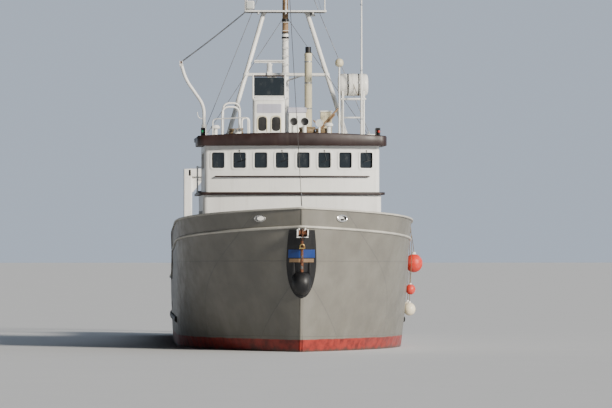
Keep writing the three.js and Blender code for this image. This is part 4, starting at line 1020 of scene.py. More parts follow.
def panel(
    plane: Plane, depth: float, one: Span, two: Span, holes: Sequence[tuple[Span, Span]] = (), back: bool = False,
) -> Surface:
    """Gives a flat wall with rectangular holes.

    Args:
        plane: the plane that it lies in.
        depth: where it lies across that plane.
        one: its reach along the plane's first axis.
        two: its reach along the plane's second axis.
        holes: ((low, high), (low, high)) of each hole.
        back: whether it faces against the plane's depth axis.

    Returns:
        A grid with lines on the holes' edges, and without the holes' cells.
    """
    first = lines_between(*one, 1.0, [edge for hole in holes for edge in hole[0]])
    second = lines_between(*two, 1.0, [edge for hole in holes for edge in hole[1]])
    points = np.empty((len(first), len(second), 3))
    a, b, c = plane.value
    points[..., a], points[..., b], points[..., c] = first[:, None], second[None], depth
    surface = grid(points, keep=outside(first, second, holes))
    faces_low = plane is not Plane.FRONT
    return surface if faces_low is back else surface.flipped()


def duct(x: Span, distance: Span, z: Span, open_plane: Plane = Plane.PLAN) -> Surface:
    """Gives four walls that face inwards round a hole.

    Args:
        x: the hole's lowest and highest x.
        distance: its lowest and highest distance from the bow.
        z: its lowest and highest z.
        open_plane: the plane across which both its ends are open.

    Returns:
        The walls as one surface.
    """
    walls = {
        Plane.SIDE: [panel(Plane.SIDE, x[0], distance, z), panel(Plane.SIDE, x[1], distance, z, back=True)],
        Plane.FRONT: [panel(Plane.FRONT, distance[0], x, z), panel(Plane.FRONT, distance[1], x, z, back=True)],
        Plane.PLAN: [panel(Plane.PLAN, z[0], x, distance), panel(Plane.PLAN, z[1], x, distance, back=True)],
    }
    return merged(*(wall for plane, pair in walls.items() if plane is not open_plane for wall in pair))


def room(
    x: Span, distance: Span, z: Span, holes: dict[tuple[Plane, bool], Sequence[tuple[Span, Span]]] | None = None,
) -> Surface:
    """Gives the inside of a room.

    Args:
        x: its reach across the ship.
        distance: its reach along the ship.
        z: its reach in height.
        holes: the holes of a wall, by its plane and whether it is the one at the high end.

    Returns:
        Six walls that face inwards.
    """
    reach = {Plane.SIDE: (distance, z, x), Plane.FRONT: (x, z, distance), Plane.PLAN: (x, distance, z)}
    walls = [
        panel(plane, depths[high], one, two, (holes or {}).get((plane, bool(high)), ()), back=bool(high))
        for plane, (one, two, depths) in reach.items() for high in (0, 1)
    ]
    return merged(*walls)


# Hull form.


@dataclass(frozen=True)
class Level:
    """A line along the hull: its height at the stem, amidships and astern, its half breadth amidships and astern, and
    how far it takes to reach full breadth, and how bluffly."""

    stem_z: float
    mid_z: float
    stern_z: float
    half: float
    stern_half: float
    entrance: float
    fullness: float


LEVELS = (
    Level(-2.3, -2.65, -0.45, 0.0, 0.0, 9.0, 2.0),
    Level(-2.15, -2.15, -0.33, 2.4, 1.9, 10.5, 1.6),
    Level(-1.5, -1.35, -0.15, 3.55, 2.9, 9.8, 1.9),
    Level(-0.3, -0.25, 0.15, 3.88, 3.45, 9.0, 2.2),
    Level(0.45, 0.45, 0.45, 3.93, 3.6, 8.6, 2.35),
    Level(2.3, 1.8, 1.8, 3.98, 3.68, 8.0, 2.6),
    Level(4.2, 3.35, 3.35, 4.0, 3.7, 7.3, 2.9),
    Level(4.8, 3.95, 3.95, 4.04, 3.72, 7.0, 3.0),
)
# The numbers of the knuckle's and the boot top's levels.
KNUCKLE = 6
BOOT = 4
ROWS_PER_LEVEL = 10
FORE_END = 14.0
RUN_START = 15.5
RUN_LENGTH = 10.9
STEM_HEAD = 4.8
BOOT_TOP = 0.45
BREAK = 13.0
MAIN_DECK = 1.15
BULWARK = 0.7
HATCH: tuple[Span, Span] = ((-0.95, 0.95), (17.0, 18.9))
GATE: tuple[float, float] = (23.15, 1.215)
DAVIT: tuple[float, float] = (-2.95, 10.8)
STOCK = 23.9
SHAFT_Z = -2.3
# The cap rail's (distance, height) from the forecastle aft.
SHEER = np.array([
    (11.6, 4.036), (11.9, 4.0), (12.3, 3.93), (12.7, 3.74), (13.1, 3.42), (13.6, 2.93), (14.0, 2.64), (14.4, 2.45),
    (14.9, 2.35), (20.0, 2.35), (27.0, 2.5),
])


def stem_at(z: ArrayLike) -> Points:
    """Gives how far aft of the stem head the stem lies: 1.3 (1 - z/4.8)^1.3 above water, and a parabola below."""
    height = np.asarray(z, float)
    above = 1.3 * np.maximum(0, 1 - np.maximum(height, 0) / STEM_HEAD) ** 1.3
    return above + 1.7 * (np.minimum(height, 0) / 2.3) ** 2


def level_height(level: Level, distance: Points) -> Points:
    """Gives a level's height: it sinks from the stem to amidships and rises in the run, both by a power of 1.25."""
    fore = level.mid_z + (level.stem_z - level.mid_z) * np.clip(1 - distance / FORE_END, 0, 1) ** 1.25
    run = np.maximum(0, (distance - RUN_START) / RUN_LENGTH)
    return np.where(distance < FORE_END, fore, level.mid_z + (level.stern_z - level.mid_z) * run ** 1.25)


def level_half(level: Level, distance: Points) -> Points:
    """Gives a level's half breadth: 0.06 + (full - 0.06)(1 - (1 - e)^fullness), e being the share of the entrance.

    Args:
        level: the level's numbers.
        distance: how far from the bow, as an array.

    Returns:
        The half breadth at each distance.
    """
    entry = np.clip((distance - stem_at(level.stem_z)) / level.entrance, 0, 1)
    run = np.maximum(0, (distance - RUN_START) / RUN_LENGTH)
    full = level.half - (level.half - level.stern_half) * run ** 2
    return 0.06 + (full - 0.06) * (1 - (1 - entry) ** level.fullness)


def foredeck(distance: ArrayLike) -> Points:
    """Gives the height of the foredeck, a bulwark's height under the cap level."""
    return level_height(LEVELS[-1], np.asarray(distance, float)) - BULWARK


def cap_line(distance: ArrayLike) -> Points:
    """Gives the height of the top of the bulwark, which sweeps down from the forecastle to the working deck."""
    where = np.asarray(distance, float)
    smooth = smooth_through(SHEER[:, 0], SHEER[:, 1], where)
    return np.where(where < SHEER[0, 0], level_height(LEVELS[-1], where), smooth)


def slopes_at(rises: Points) -> Points:
    """Gives slopes for a curve that never overshoots: harmonic means of the neighbours', and 0 at a turn.

    Args:
        rises: the slope of each stretch between knots, shape (..., k - 1).

    Returns:
        A slope for each knot, shape (..., k).
    """
    before, after = rises[..., :-1], rises[..., 1:]
    product = before * after
    inner = np.where(product > 0, 2 * product / np.where(before + after == 0, 1, before + after), 0.0)
    return np.concatenate([rises[..., :1], inner, rises[..., -1:]], axis=-1)


def smooth_through(knots: Points, values: Points, where: Points) -> Points:
    """Reads a cubic curve that doesn't overshoot.

    Args:
        knots: where its values are known, rising, shape (k,).
        values: its values there, shape (..., k).
        where: the places asked for, shape (n,).

    Returns:
        The curve's values at those places, shape (..., n), by the Hermite form with the slopes of slopes_at.
    """
    steps = np.diff(knots)
    slope = slopes_at(np.diff(values, axis=-1) / steps)
    cell = np.clip(np.searchsorted(knots, where) - 1, 0, len(steps) - 1)
    t = np.clip((where - knots[cell]) / steps[cell], 0, 1)
    low, high = values[..., cell], values[..., cell + 1]
    lift = steps[cell]
    return (
        (2 * t ** 3 - 3 * t ** 2 + 1) * low + (t ** 3 - 2 * t ** 2 + t) * lift * slope[..., cell]
        + (3 * t ** 2 - 2 * t ** 3) * high + (t ** 3 - t ** 2) * lift * slope[..., cell + 1]
    )


def frames_at(distance: ArrayLike) -> Points:
    """Gives the hull's section at each station.

    Args:
        distance: how far aft of the stem head each station's top is.

    Returns:
        Points of the port side from the keel to the cap, shape (stations, rows, 3). A station starts further aft at
        levels whose stem is further aft, by d = D + stem (1 - D / L)^3. The section is a smooth curve through the
        levels, with one knuckle.
    """
    top = np.asarray(distance, float)
    ease = (1 - top / LENGTH) ** 3
    knots = np.stack([
        np.stack([level_half(level, where), where, level_height(level, where)])
        for level in LEVELS
        for where in [top + stem_at(level.stem_z) * ease]
    ], axis=-1)
    low = np.linspace(0, KNUCKLE, KNUCKLE * ROWS_PER_LEVEL + 1)
    high = np.linspace(KNUCKLE, len(LEVELS) - 1, ROWS_PER_LEVEL + 1)[1:]
    below = smooth_through(np.arange(KNUCKLE + 1.0), knots[..., :KNUCKLE + 1], low)
    knuckle, cap = knots[..., KNUCKLE:KNUCKLE + 1], knots[..., KNUCKLE + 1:]
    above = knuckle + (cap - knuckle) * (high - KNUCKLE)
    return np.moveaxis(np.concatenate([below, above], axis=-1), 0, -1)


def on_skin(distance: ArrayLike, z: ArrayLike, out: float = 0.0) -> Points:
    """Gives points on the port side of the hull.

    Args:
        distance: the stations, rising, shape (stations,).
        z: the heights at each station, shape (stations, rows).
        out: how far outside the plating they lie, measured level.

    Returns:
        Points of shape (stations, rows, 3), found by reading each station's section at those heights.
    """
    sections = frames_at(distance)
    heights = np.asarray(z, float)
    cell = np.clip((sections[:, None, :, 2] < heights[..., None]).sum(axis=-1) - 1, 0, sections.shape[1] - 2)
    row = np.arange(len(sections))[:, None]
    low, high = sections[row, cell], sections[row, cell + 1]
    share = (heights - low[..., 2]) / (high[..., 2] - low[..., 2])
    points = low + (high - low) * share[..., None]
    points[..., 2] = heights
    if out and len(points) > 1:
        along = np.gradient(points, axis=0)
        normal = unit(np.stack([along[..., 1], -along[..., 0], np.zeros_like(along[..., 0])], axis=-1))
        points = points + out * normal
    return points


def skin_point(distance: float, z: float, out: float = 0.0) -> Points:
    """Gives one point on the port side, as on_skin does."""
    near = np.array([distance - 0.02, distance, distance + 0.02])
    return on_skin(near, np.full((3, 1), z), out)[1, 0]


def round_the_bow(side: Points) -> Points:
    """Joins a line on the port side, given from the bow aft, with its mirror image round the stem.

    Args:
        side: the line's points, shape (n, 3).

    Returns:
        The line from the port quarter round the stem to the starboard quarter.
    """
    return np.concatenate([side[::-1], side * (-1, 1, 1)])


# Hull and decks.


@dataclass
class Hull:
    """The shell with its decks, bulwarks, rails, rooms and keel."""

    wall: float = 0.08
    ramp_half: float = 1.25
    ramp_top: float = 23.3
    ramp_foot: float = 0.126
    port_edges: tuple[float, ...] = (15.6, 17.9, 20.2, 22.5)
    port_length: float = 0.7
    port_z: Span = (1.24, 1.46)
    fairlead: Span = (0.79, 1.02)
    fairlead_z: Span = (4.35, 4.51)
    hatch: tuple[Span, Span] = HATCH
    stair: tuple[Span, Span] = ((-0.5, 0.5), (10.2, 11.4))
    rows: int = 26
    port_rise: float = 1.9
    lead_rise: float = 4.28
    stations: Points = field(init=False)
    levels: Points = field(init=False)

    def __post_init__(self) -> None:
        """Lays the stations and the rows, with lines on the edges of every hole."""
        ends = [edge + extra for edge in self.port_edges for extra in (0, self.port_length)]
        bow = LENGTH * np.linspace(0, 1, 80) ** 1.6
        marks = [*ends, *self.fairlead, BREAK, 11.9, 12.4, 12.8, 13.2, 13.6, 14.0, 14.4]
        self.stations = np.unique(np.round(np.concatenate([bow, marks]), 4))
        port, lead = self.shares()
        self.levels = lines_between(0, 1, 1 / self.rows, [*port, *lead])

    def shares(self) -> tuple[Span, Span]:
        """Gives the shares of the plating's rise that the freeing ports and the fairlead lie between."""
        port = tuple((height - BOOT_TOP) / self.port_rise for height in self.port_z)
        lead = tuple((height - BOOT_TOP) / self.lead_rise for height in self.fairlead_z)
        return port, lead

    def plating(self, stations: Points) -> Points:
        """Gives the heights of the plating's rows at each station, from the boot top to the cap."""
        return BOOT_TOP + (cap_line(stations)[:, None] - BOOT_TOP) * self.levels[None]

    def skin(self) -> Points:
        """Gives the upper plating, from the boot top to the cap, as a grid of stations and levels."""
        return on_skin(self.stations, self.plating(self.stations))

    def holes(self) -> NDArray[np.bool_]:
        """Tells which cells of the plating stay, with the freeing ports and the fairlead left out."""
        port, lead = self.shares()
        spans = [((edge, edge + self.port_length), port) for edge in self.port_edges]
        return outside(self.stations, self.levels, [*spans, (self.fairlead, lead)])

    def inner(self) -> tuple[Surface, Points]:
        """Gives the inner plating of the port bulwark.

        Returns:
            Its grid from the deck up, and its foot, one point for each station.
        """
        start = int(np.searchsorted(self.stations, 0.25))
        stations = self.stations[start:]
        deck = np.where(stations <= BREAK, foredeck(stations) - 0.005, MAIN_DECK)[:, None]
        plain = self.plating(stations)
        points = on_skin(stations, np.maximum(plain, deck), -self.wall)
        keep = self.holes()[start:] & (plain[1:, 1:] > deck[1:] - 0.001)
        step = int(np.searchsorted(stations, BREAK))
        keep[step - 1, :] = plain[step, 1:] > deck[step]
        return grid(points, keep=keep).flipped(), on_skin(stations, deck, -self.wall)[:, 0]

    def below(self) -> Surface:
        """Gives the port side below the boot top, from the keel up."""
        sections = frames_at(self.stations)[:, :BOOT * ROWS_PER_LEVEL + 1]
        return grid(sections[:, ::2])

    def transom(self) -> Surface:
        """Gives the transom.

        Returns:
            A flat grid between the sections of both sides, with the notch that the ramp runs out through.
        """
        section = frames_at([LENGTH])[0]
        top = float(cap_line(LENGTH))
        heights = lines_between(float(section[0, 2]), top, 0.12, [self.ramp_foot])
        half = np.interp(heights, section[:, 2], section[:, 0])
        share = np.concatenate([np.linspace(0, 1, 5), np.linspace(1, 2, 9)[1:]])
        inner = np.minimum(self.ramp_half, 0.4 * half)[:, None]
        x = np.where(share <= 1, share * inner, inner + (share - 1) * (half[:, None] - inner))
        points = np.stack([x, np.full_like(x, LENGTH), np.broadcast_to(heights[:, None], x.shape)], axis=-1)
        keep = outside(heights, share, [((self.ramp_foot, 9.0), (0.0, 1.0))])
        port = grid(points, keep=keep).flipped()
        return merged(port, port.mirrored())

    def decks(self, foot: Points) -> tuple[Surface, Surface]:
        """Gives the foredeck and the working deck.

        Args:
            foot: the inner foot of the port bulwark, one point for each station.

        Returns:
            Two grids out to the bulwarks. The working deck is left open at the hatch and at the ramp.
        """
        fore = foot[foot[:, 1] <= BREAK + 0.05]
        share = np.linspace(-1, 1, 21)[None]
        x = share * fore[:, :1]
        y = np.broadcast_to(np.minimum(fore[:, 1:2], BREAK), x.shape)
        raised = grid(np.stack([x, y, foredeck(y)], axis=-1))
        edges = lines_between(BREAK, LENGTH - 0.09, 0.6, [*self.hatch[1], self.ramp_top])
        half = on_skin(edges, np.full((len(edges), 1), MAIN_DECK), -self.wall)[:, 0, 0][:, None]
        marks = np.array([0, 0.5, self.hatch[0][1], self.ramp_half, 1.5, 2.0])
        inner = np.minimum(marks, self.ramp_half)[None]
        side = (marks - self.ramp_half) / (marks[-1] - self.ramp_half)
        x = inner + (half - self.ramp_half) * np.maximum(side, 0)
        x = np.concatenate([-x[:, :0:-1], x], axis=1)
        columns = np.concatenate([-marks[:0:-1], marks])
        ramp = ((self.ramp_top, LENGTH), (-self.ramp_half, self.ramp_half))
        keep = outside(edges, columns, [self.hatch[::-1], ramp])
        y = np.broadcast_to(edges[:, None], x.shape)
        working = grid(np.stack([x, y, np.full_like(x, MAIN_DECK)], axis=-1), keep=keep)
        return raised, working

    def ramp(self) -> Surface:
        """Gives the stern ramp.

        Returns:
            A straight slope from the deck to its foot, and its side walls up to the deck.
        """
        share = np.linspace(0, 1, 12)[:, None]
        x = np.linspace(-self.ramp_half, self.ramp_half, 11)[None]
        y = self.ramp_top + (LENGTH - self.ramp_top) * share
        z = MAIN_DECK + (self.ramp_foot - MAIN_DECK) * share
        floor = grid(np.stack(np.broadcast_arrays(x, y, z), axis=-1))
        rise = np.array([[0.0, 1.0]])
        side_z = z + (MAIN_DECK - z) * rise
        side = np.stack(np.broadcast_arrays(self.ramp_half, y, side_z), axis=-1)
        wall = grid(side).welded()
        return merged(floor, wall.flipped(), wall.mirrored().flipped())

    def ports(self) -> list[Surface]:
        """Gives the jambs of the freeing ports.

        Returns:
            For each port a ring of four faces, between the outer and the inner plating.
        """
        jambs = []
        for edge in self.port_edges:
            stations = np.array([edge, edge + self.port_length])
            heights = BOOT_TOP + (cap_line(stations)[:, None] - BOOT_TOP) * np.array(self.shares()[0])
            outer, inner = on_skin(stations, heights), on_skin(stations, heights, -self.wall)
            ring = [points[[0, 1, 1, 0], [0, 0, 1, 1]] for points in (outer, inner)]
            jambs.append(grid(np.stack(ring), around=True))
        return jambs

    def rail_path(self) -> Points:
        """Gives the middle of the cap rail.

        Returns:
            Its points, from the port cheek of the ramp round the bow to the starboard one.
        """
        stations = LENGTH * np.linspace(0, 1, 110) ** 1.5 * 0.9985
        side = on_skin(stations, cap_line(stations)[:, None] - 0.03, -0.045)[:, 0]
        corner = side[-1] + (0, -0.03, 0)
        cheek = np.array([self.ramp_half + 0.02, corner[1], corner[2]])
        turn = rounded([side[-3], corner, cheek], 0.14, 6)
        return round_the_bow(np.concatenate([side[:-3], turn]))

    def stanchions(self) -> list[Surface]:
        """Gives the brackets that hold the bulwark up, on both decks.

        Returns:
            Thin plates whose outer edge follows the plating, at even steps, but none in front of a freeing port.
        """
        places = np.concatenate([np.arange(4.2, 12.0, 0.9), np.arange(14.9, 26.0, 0.85)])
        blocked = [(edge - 0.05, edge + self.port_length + 0.05) for edge in self.port_edges]
        brackets = []
        for place in places:
            if any(low < place < high for low, high in blocked):
                continue
            foot = MAIN_DECK if place > BREAK else float(foredeck(place))
            top = float(cap_line(place)) - 0.06
            low = skin_point(place, foot + 0.01, -self.wall)[0]
            high = skin_point(place, top, -self.wall)[0]
            reach = 0.28 if place > BREAK else 0.15
            outline = [(low - reach, foot), (low + 0.01, foot), (high + 0.01, top), (high - 0.05, top),
                       (low - reach, foot + 0.09)]
            brackets.append(slab(outline, place - 0.006, place + 0.006, Plane.FRONT, 0.002))
        return brackets

    def build(self) -> None:
        """Makes the hull's pieces."""
        shell = Shape("hull_shell")
        shell.pair(HULL_GREY, self.below(), grid(self.skin(), keep=self.holes()))
        inner, foot = self.inner()
        shell.add(HULL_GREY, self.transom(), self.stem()).pair(HULL_GREY, *self.ports())
        shell.pair(TOP_GREY, inner)
        raised, working = self.decks(foot)
        shell.add(DECK, raised, working, self.ramp())
        shell.piece("hull_paint", ["hull", "forecastle", "bulwark_bow", "bulwark_port", "bulwark_starboard"])
        self.keel()
        self.break_and_rooms()
        self.rails()

    def stem(self) -> Surface:
        """Gives the stem bar.

        Returns:
            A half-round carried down the stem into the keel.
        """
        height = np.concatenate([np.linspace(4.79, 0.3, 40), np.linspace(0.2, -2.4, 24)])
        line = np.stack([np.zeros(64), stem_at(height) + 0.03, height], axis=1)
        turn = arc_between(-100, 100, 11)
        bar = np.stack([0.062 * np.cos(turn) - 0.012, 0.066 * np.sin(turn)], axis=1)
        return sweep(line[::-1], bar, up=(1, 0, 0))

    def keel(self) -> None:
        """Makes the bar keel, the skeg with its boss, the shoe, the rudder's trunk and the anodes."""
        outline = [
            (2.7, -1.9), (3.15, -2.35), (4.3, -2.8), (6.5, -3.05), (24.35, -3.3), (24.35, -3.17), (22.35, -3.17),
            (22.35, -1.25), (19.0, -1.5), (9.0, -2.3),
        ]
        keel = Shape("keel").add(HULL_GREY, slab(outline, -0.15, 0.15, Plane.SIDE, 0.03))
        turn = arc_between(-90, 90, 9)
        boss = [(0.0, -1.1), *zip(0.06 + 0.17 * np.cos(turn[:5]), -1.0 + 0.3 * (1 + np.sin(turn[:5])) - 0.1)]
        keel.add(HULL_GREY, lathe([*boss, (0.23, 0.86), (0.21, 0.9), (0.0805, 0.9)], (0, 21.45, SHAFT_Z), 1, 32))
        keel.add(HULL_GREY, lathe([(0.0, -0.6), (0.12, -0.6), (0.12, 0.0), (0.0, 0.0)], (0, STOCK, -0.75), 2, 24))
        keel.pair(GALVANISED, *(
            block((0.15, 0.19), (d, d + 0.34), (z, z + 0.11), 0.015)
            for d, z in ((20.2, -2.2), (21.2, -1.75), (21.2, -2.75), (23.0, -3.29))
        ))
        keel.piece("hull_paint")

    def break_and_rooms(self) -> None:
        """Makes the bulkhead at the break of the forecastle, and the insides of cabin, engine room and hold."""
        top = float(foredeck(BREAK))
        rooms = Shape("rooms_below")
        door = ((-1.275, -0.525), (1.35, 3.0))
        half = skin_point(BREAK, 2.0, -0.03)[0]
        bulkhead = panel(Plane.FRONT, BREAK, (-half, half), (MAIN_DECK, top), [door], back=True)
        rooms.add(WHITE, bulkhead.flipped())
        rooms.add(WHITE, duct(door[0], (12.89, BREAK), door[1], Plane.FRONT))
        rooms.add(CREAM, room((-2.3, 2.3), (9.6, 12.89), (1.21, 3.05), {
            (Plane.FRONT, True): [door], (Plane.PLAN, False): [self.stair],
        }))
        rooms.add(CREAM, duct(self.stair[0], self.stair[1], (0.9, 1.21)))
        rooms.add(CREAM, room((-1.6, 1.6), (9.8, 14.8), (-1.7, 0.9), {(Plane.PLAN, True): [self.stair]}))
        rooms.add(GEAR_WHITE, room((-2.1, 2.1), (16.3, 19.3), (-1.5, 1.0), {(Plane.PLAN, True): [self.hatch]}))
        rooms.add(GEAR_WHITE, duct(self.hatch[0], self.hatch[1], (1.0, MAIN_DECK)))
        lugs = [block((-1.359, -1.311), (12.995, 13.058), (z, z + 0.04), 0.004) for z in (1.27, 3.04)]
        frame_line = [(-1.31, 13.0, 1.33), (-1.31, 13.0, 3.02), (-0.49, 13.0, 3.02), (-0.49, 13.0, 1.33)]
        rooms.add(GALVANISED, *lugs)
        rooms.add(WHITE, sweep(rounded([*frame_line, frame_line[0]], 0.05, 3), circle(0.02, 8), up=(0, 1, 0)))
        rooms.add(WHITE, *(
            block((x - 0.012, x + 0.012), (12.99, 13.05), (1.2, top - 0.05)) for x in (-2.6, 0.4, 1.3, 2.2, 3.1)))
        rooms.piece("hull_paint")

    def rails(self) -> None:
        """Makes the cap rail, the knuckle rail, the guards, the brackets, the ramp's cheeks and the fairleads."""
        cap = rounded_outline([(-0.09, -0.03), (0.1, -0.03), (0.1, 0.03), (-0.09, 0.03)], 0.018, 2)
        path = self.rail_path()
        rails = Shape("cap_rail").add(RAIL_GREY, sweep(path, cap, up=(0, 0, 1)))
        turn = arc_between(-90, 90, 9)
        stations = BREAK * np.linspace(0.0, 1, 90) ** 1.5
        side = on_skin(stations, foredeck(stations)[:, None] + 0.055)[:, 0]
        knuckle = np.stack([0.068 * np.cos(turn) - 0.004, 0.045 * np.sin(turn)], axis=1)
        rails.add(RAIL_GREY, sweep(round_the_bow(side), knuckle, up=(0, 0, 1)))
        rails.piece("hull_paint")
        start = 8.6
        stations = np.linspace(start, LENGTH * 0.9995, 90)
        side = on_skin(stations, np.full((90, 1), 0.94))[:, 0]
        corner = side[-1] + (0.0, 0.005, 0)
        side = np.concatenate([side[:-1], rounded([side[-2], corner, (1.27, corner[1], 0.94)], 0.1, 5)])
        bead = np.stack([0.085 * np.sign(np.cos(turn)) * np.cos(turn) ** 0.6 - 0.01, 0.108 * np.sin(turn)], axis=1)
        ease = np.clip((side[:, 1] - start) / 0.25, 0, 1)
        guard = sweep(side[::-1], bead, up=(0, 0, 1), size=(0.25 + 0.75 * np.sqrt(ease))[::-1])
        Shape("guard_rail_port").add(BLACK, guard).piece("black_fittings", ["guard_port"])
        Shape("guard_rail_starboard").add(BLACK, guard.mirrored()).piece("black_fittings", ["guard_starboard"])
        self.cheeks()
        Shape("bulwark_brackets").pair(TOP_GREY, *self.stanchions()).piece("hull_paint")
        self.fairleads()

    def cheeks(self) -> None:
        """Makes the walls beside the ramp, the bulwark across the transom, and the gate's bearings."""
        stations = np.linspace(23.05, 26.38, 12)
        top = cap_line(stations)
        outline = [(23.05, MAIN_DECK), (26.38, MAIN_DECK), *zip(stations[::-1], top[::-1])]
        wall = slab(outline, 1.26, 1.35, Plane.SIDE, 0.012)
        half = skin_point(26.3, 1.8, -self.wall)[0]
        across = panel(Plane.FRONT, 26.31, (1.35, float(half)), (MAIN_DECK, float(cap_line(26.31))))
        edge = np.stack([np.full(12, 1.305), stations, top], axis=1)
        pads = lathe([(0.03, 0.0), (0.07, 0.0), (0.07, 0.03), (0.03, 0.03)], (1.352, *GATE), 0, 20)
        cheeks = Shape("ramp_cheeks").pair(TOP_GREY, wall, across)
        rail = rounded([(1.305, 23.05, MAIN_DECK), *edge], 0.08, 4)
        cheeks.pair(RAIL_GREY, tube(rail, 0.05, 10, up=(1, 0, 0)))
        cheeks.pair(GALVANISED, pads)
        cheeks.piece("hull_paint")

    def fairleads(self) -> None:
        """Makes the oval frames of the two fairleads, inside and outside the bulwark."""
        middle = sum(self.fairlead) / 2
        height = sum(self.fairlead_z) / 2
        leads = Shape("fairleads")
        for out in (0.012, -self.wall - 0.008):
            near = on_skin([middle - 0.1, middle + 0.1], np.full((2, 1), height), out)[:, 0]
            along = unit(near[1] - near[0])
            leads.pair(STAINLESS, hoop(near.mean(axis=0), 0.206 * along, (0, 0, 0.1), 0.026, 36))
        leads.piece("hull_paint")


# Houses.


HOUSE_HALF = 3.08
HOUSE_FRONT = 6.9
HOUSE_BULGE = 0.42


def in_turn(side: int, *surfaces: Surface) -> list[Surface]:
    """Gives the surfaces as they are for port, and mirrored for starboard."""
    return [surface if side > 0 else surface.mirrored() for surface in surfaces]


def front_radius(half: float) -> float:
    """Gives the radius (h^2 + b^2) / 2b of the houses' front, for its half breadth h and its bulge b."""
    return (half ** 2 + HOUSE_BULGE ** 2) / (2 * HOUSE_BULGE)


def roof_at(x: ArrayLike) -> Points:
    """Gives the height of the cambered roof at x."""
    return 7.4 - 0.11 * (np.asarray(x, float) / 3.3) ** 2


def house_outline(margin: float, aft: float, front: Sequence[float] = ()) -> Points:
    """Gives the plan outline of the houses, from the port after corner round the front to the starboard one.

    Args:
        margin: how far it stands outside the trunk's walls.
        aft: how far aft its sides go.
        front: places across the front that get a point each.

    Returns:
        (x, distance) points. The front is an arc of the radius that front_radius gives, with round corners.
    """
    half = HOUSE_HALF + margin
    radius = front_radius(half)
    corner = 0.2 + margin * 0.5
    cheek = half - corner
    start = HOUSE_FRONT - margin + radius
    turn = np.linspace(0, np.pi / 2, 8, endpoint=False)
    cheek_distance = start - math.sqrt(radius ** 2 - cheek ** 2)
    side = np.stack([cheek + corner * np.cos(turn), cheek_distance + corner * (1 - np.sin(turn))], axis=1)
    across = lines_between(-cheek, cheek, 0.24, [*front])[::-1]
    ahead = np.stack([across, start - np.sqrt(radius ** 2 - across ** 2)], axis=1)
    port = np.concatenate([[(half, aft)], side])
    return np.concatenate([port, ahead, (port * (-1, 1))[::-1]])


def wall_of(outline: Points, z: ArrayLike) -> Points:
    """Stands an outline up as a grid: its points along the rows, and the heights along the columns."""
    heights = np.asarray(z, float)
    flat = np.broadcast_to(outline[:, None], (len(outline), len(heights), 2))
    return np.concatenate([flat, np.broadcast_to(heights[None, :, None], (*flat.shape[:2], 1))], axis=-1)


def rounded_frame(width: float, height: float, corner: float, steps: int = 5) -> Points:
    """Gives a rectangle with round corners about its middle, as (across, up) points."""
    a, b = width / 2, height / 2
    return rounded_outline([(-a, -b), (a, -b), (a, b), (-a, b)], corner, steps)


def set_on(outline: Points, centre: ArrayLike, across: ArrayLike) -> Points:
    """Stands a flat outline up in space: centre + a across + b z."""
    return np.asarray(centre, float) + outline[:, :1] * np.asarray(across, float) + outline[:, 1:] * (0, 0, 1)


def railing(
    corners: ArrayLike, foot: float, height: float, spacing: float = 1.1, radius: float = 0.02,
) -> list[Surface]:
    """Gives a rail of two bars and posts.

    Args:
        corners: (x, distance) points that the rail runs through.
        foot: the height of the deck under it.
        height: how high its top bar is above the deck.
        spacing: about how far apart its posts are.
        radius: the radius of its top bar.

    Returns:
        Bars with round corners, posts with round feet, and a joint at each crossing.
    """
    line = np.asarray(corners, float)
    parts = []
    for share, size in ((1.0, radius), (0.52, radius * 0.8)):
        level = np.column_stack([line, np.full(len(line), foot + height * share)])
        parts.append(tube(rounded(level, 0.12, 5), size, 10, up=(0, 0, 1)))
    places = []
    for start, end in zip(line[:-1], line[1:]):
        count = max(1, round(float(np.linalg.norm(end - start)) / spacing))
        inset_ends = np.linspace(0, 1, count + 1)
        places += [start + (end - start) * share for share in inset_ends]
    kept = [
        place for i, place in enumerate(places)
        if all(np.linalg.norm(place - other) > 0.2 for other in places[:i])
    ]
    middle = line.mean(axis=0)
    for place in kept:
        if any(np.linalg.norm(place - corner) < 1e-6 for corner in line[1:-1]):
            place = place + unit(middle - place) * 0.04
        x, y = place
        parts.append(rod((x, y, foot - 0.004), (x, y, foot + height), radius * 0.95))
        parts.append(lathe([(0.055, 0.0), (0.055, 0.008), (0.03, 0.03), (0.0, 0.03)], (x, y, foot), 2, 12))
        parts.append(ball(radius * 1.3, (x, y, foot + height), 1.0, 10))
    return parts


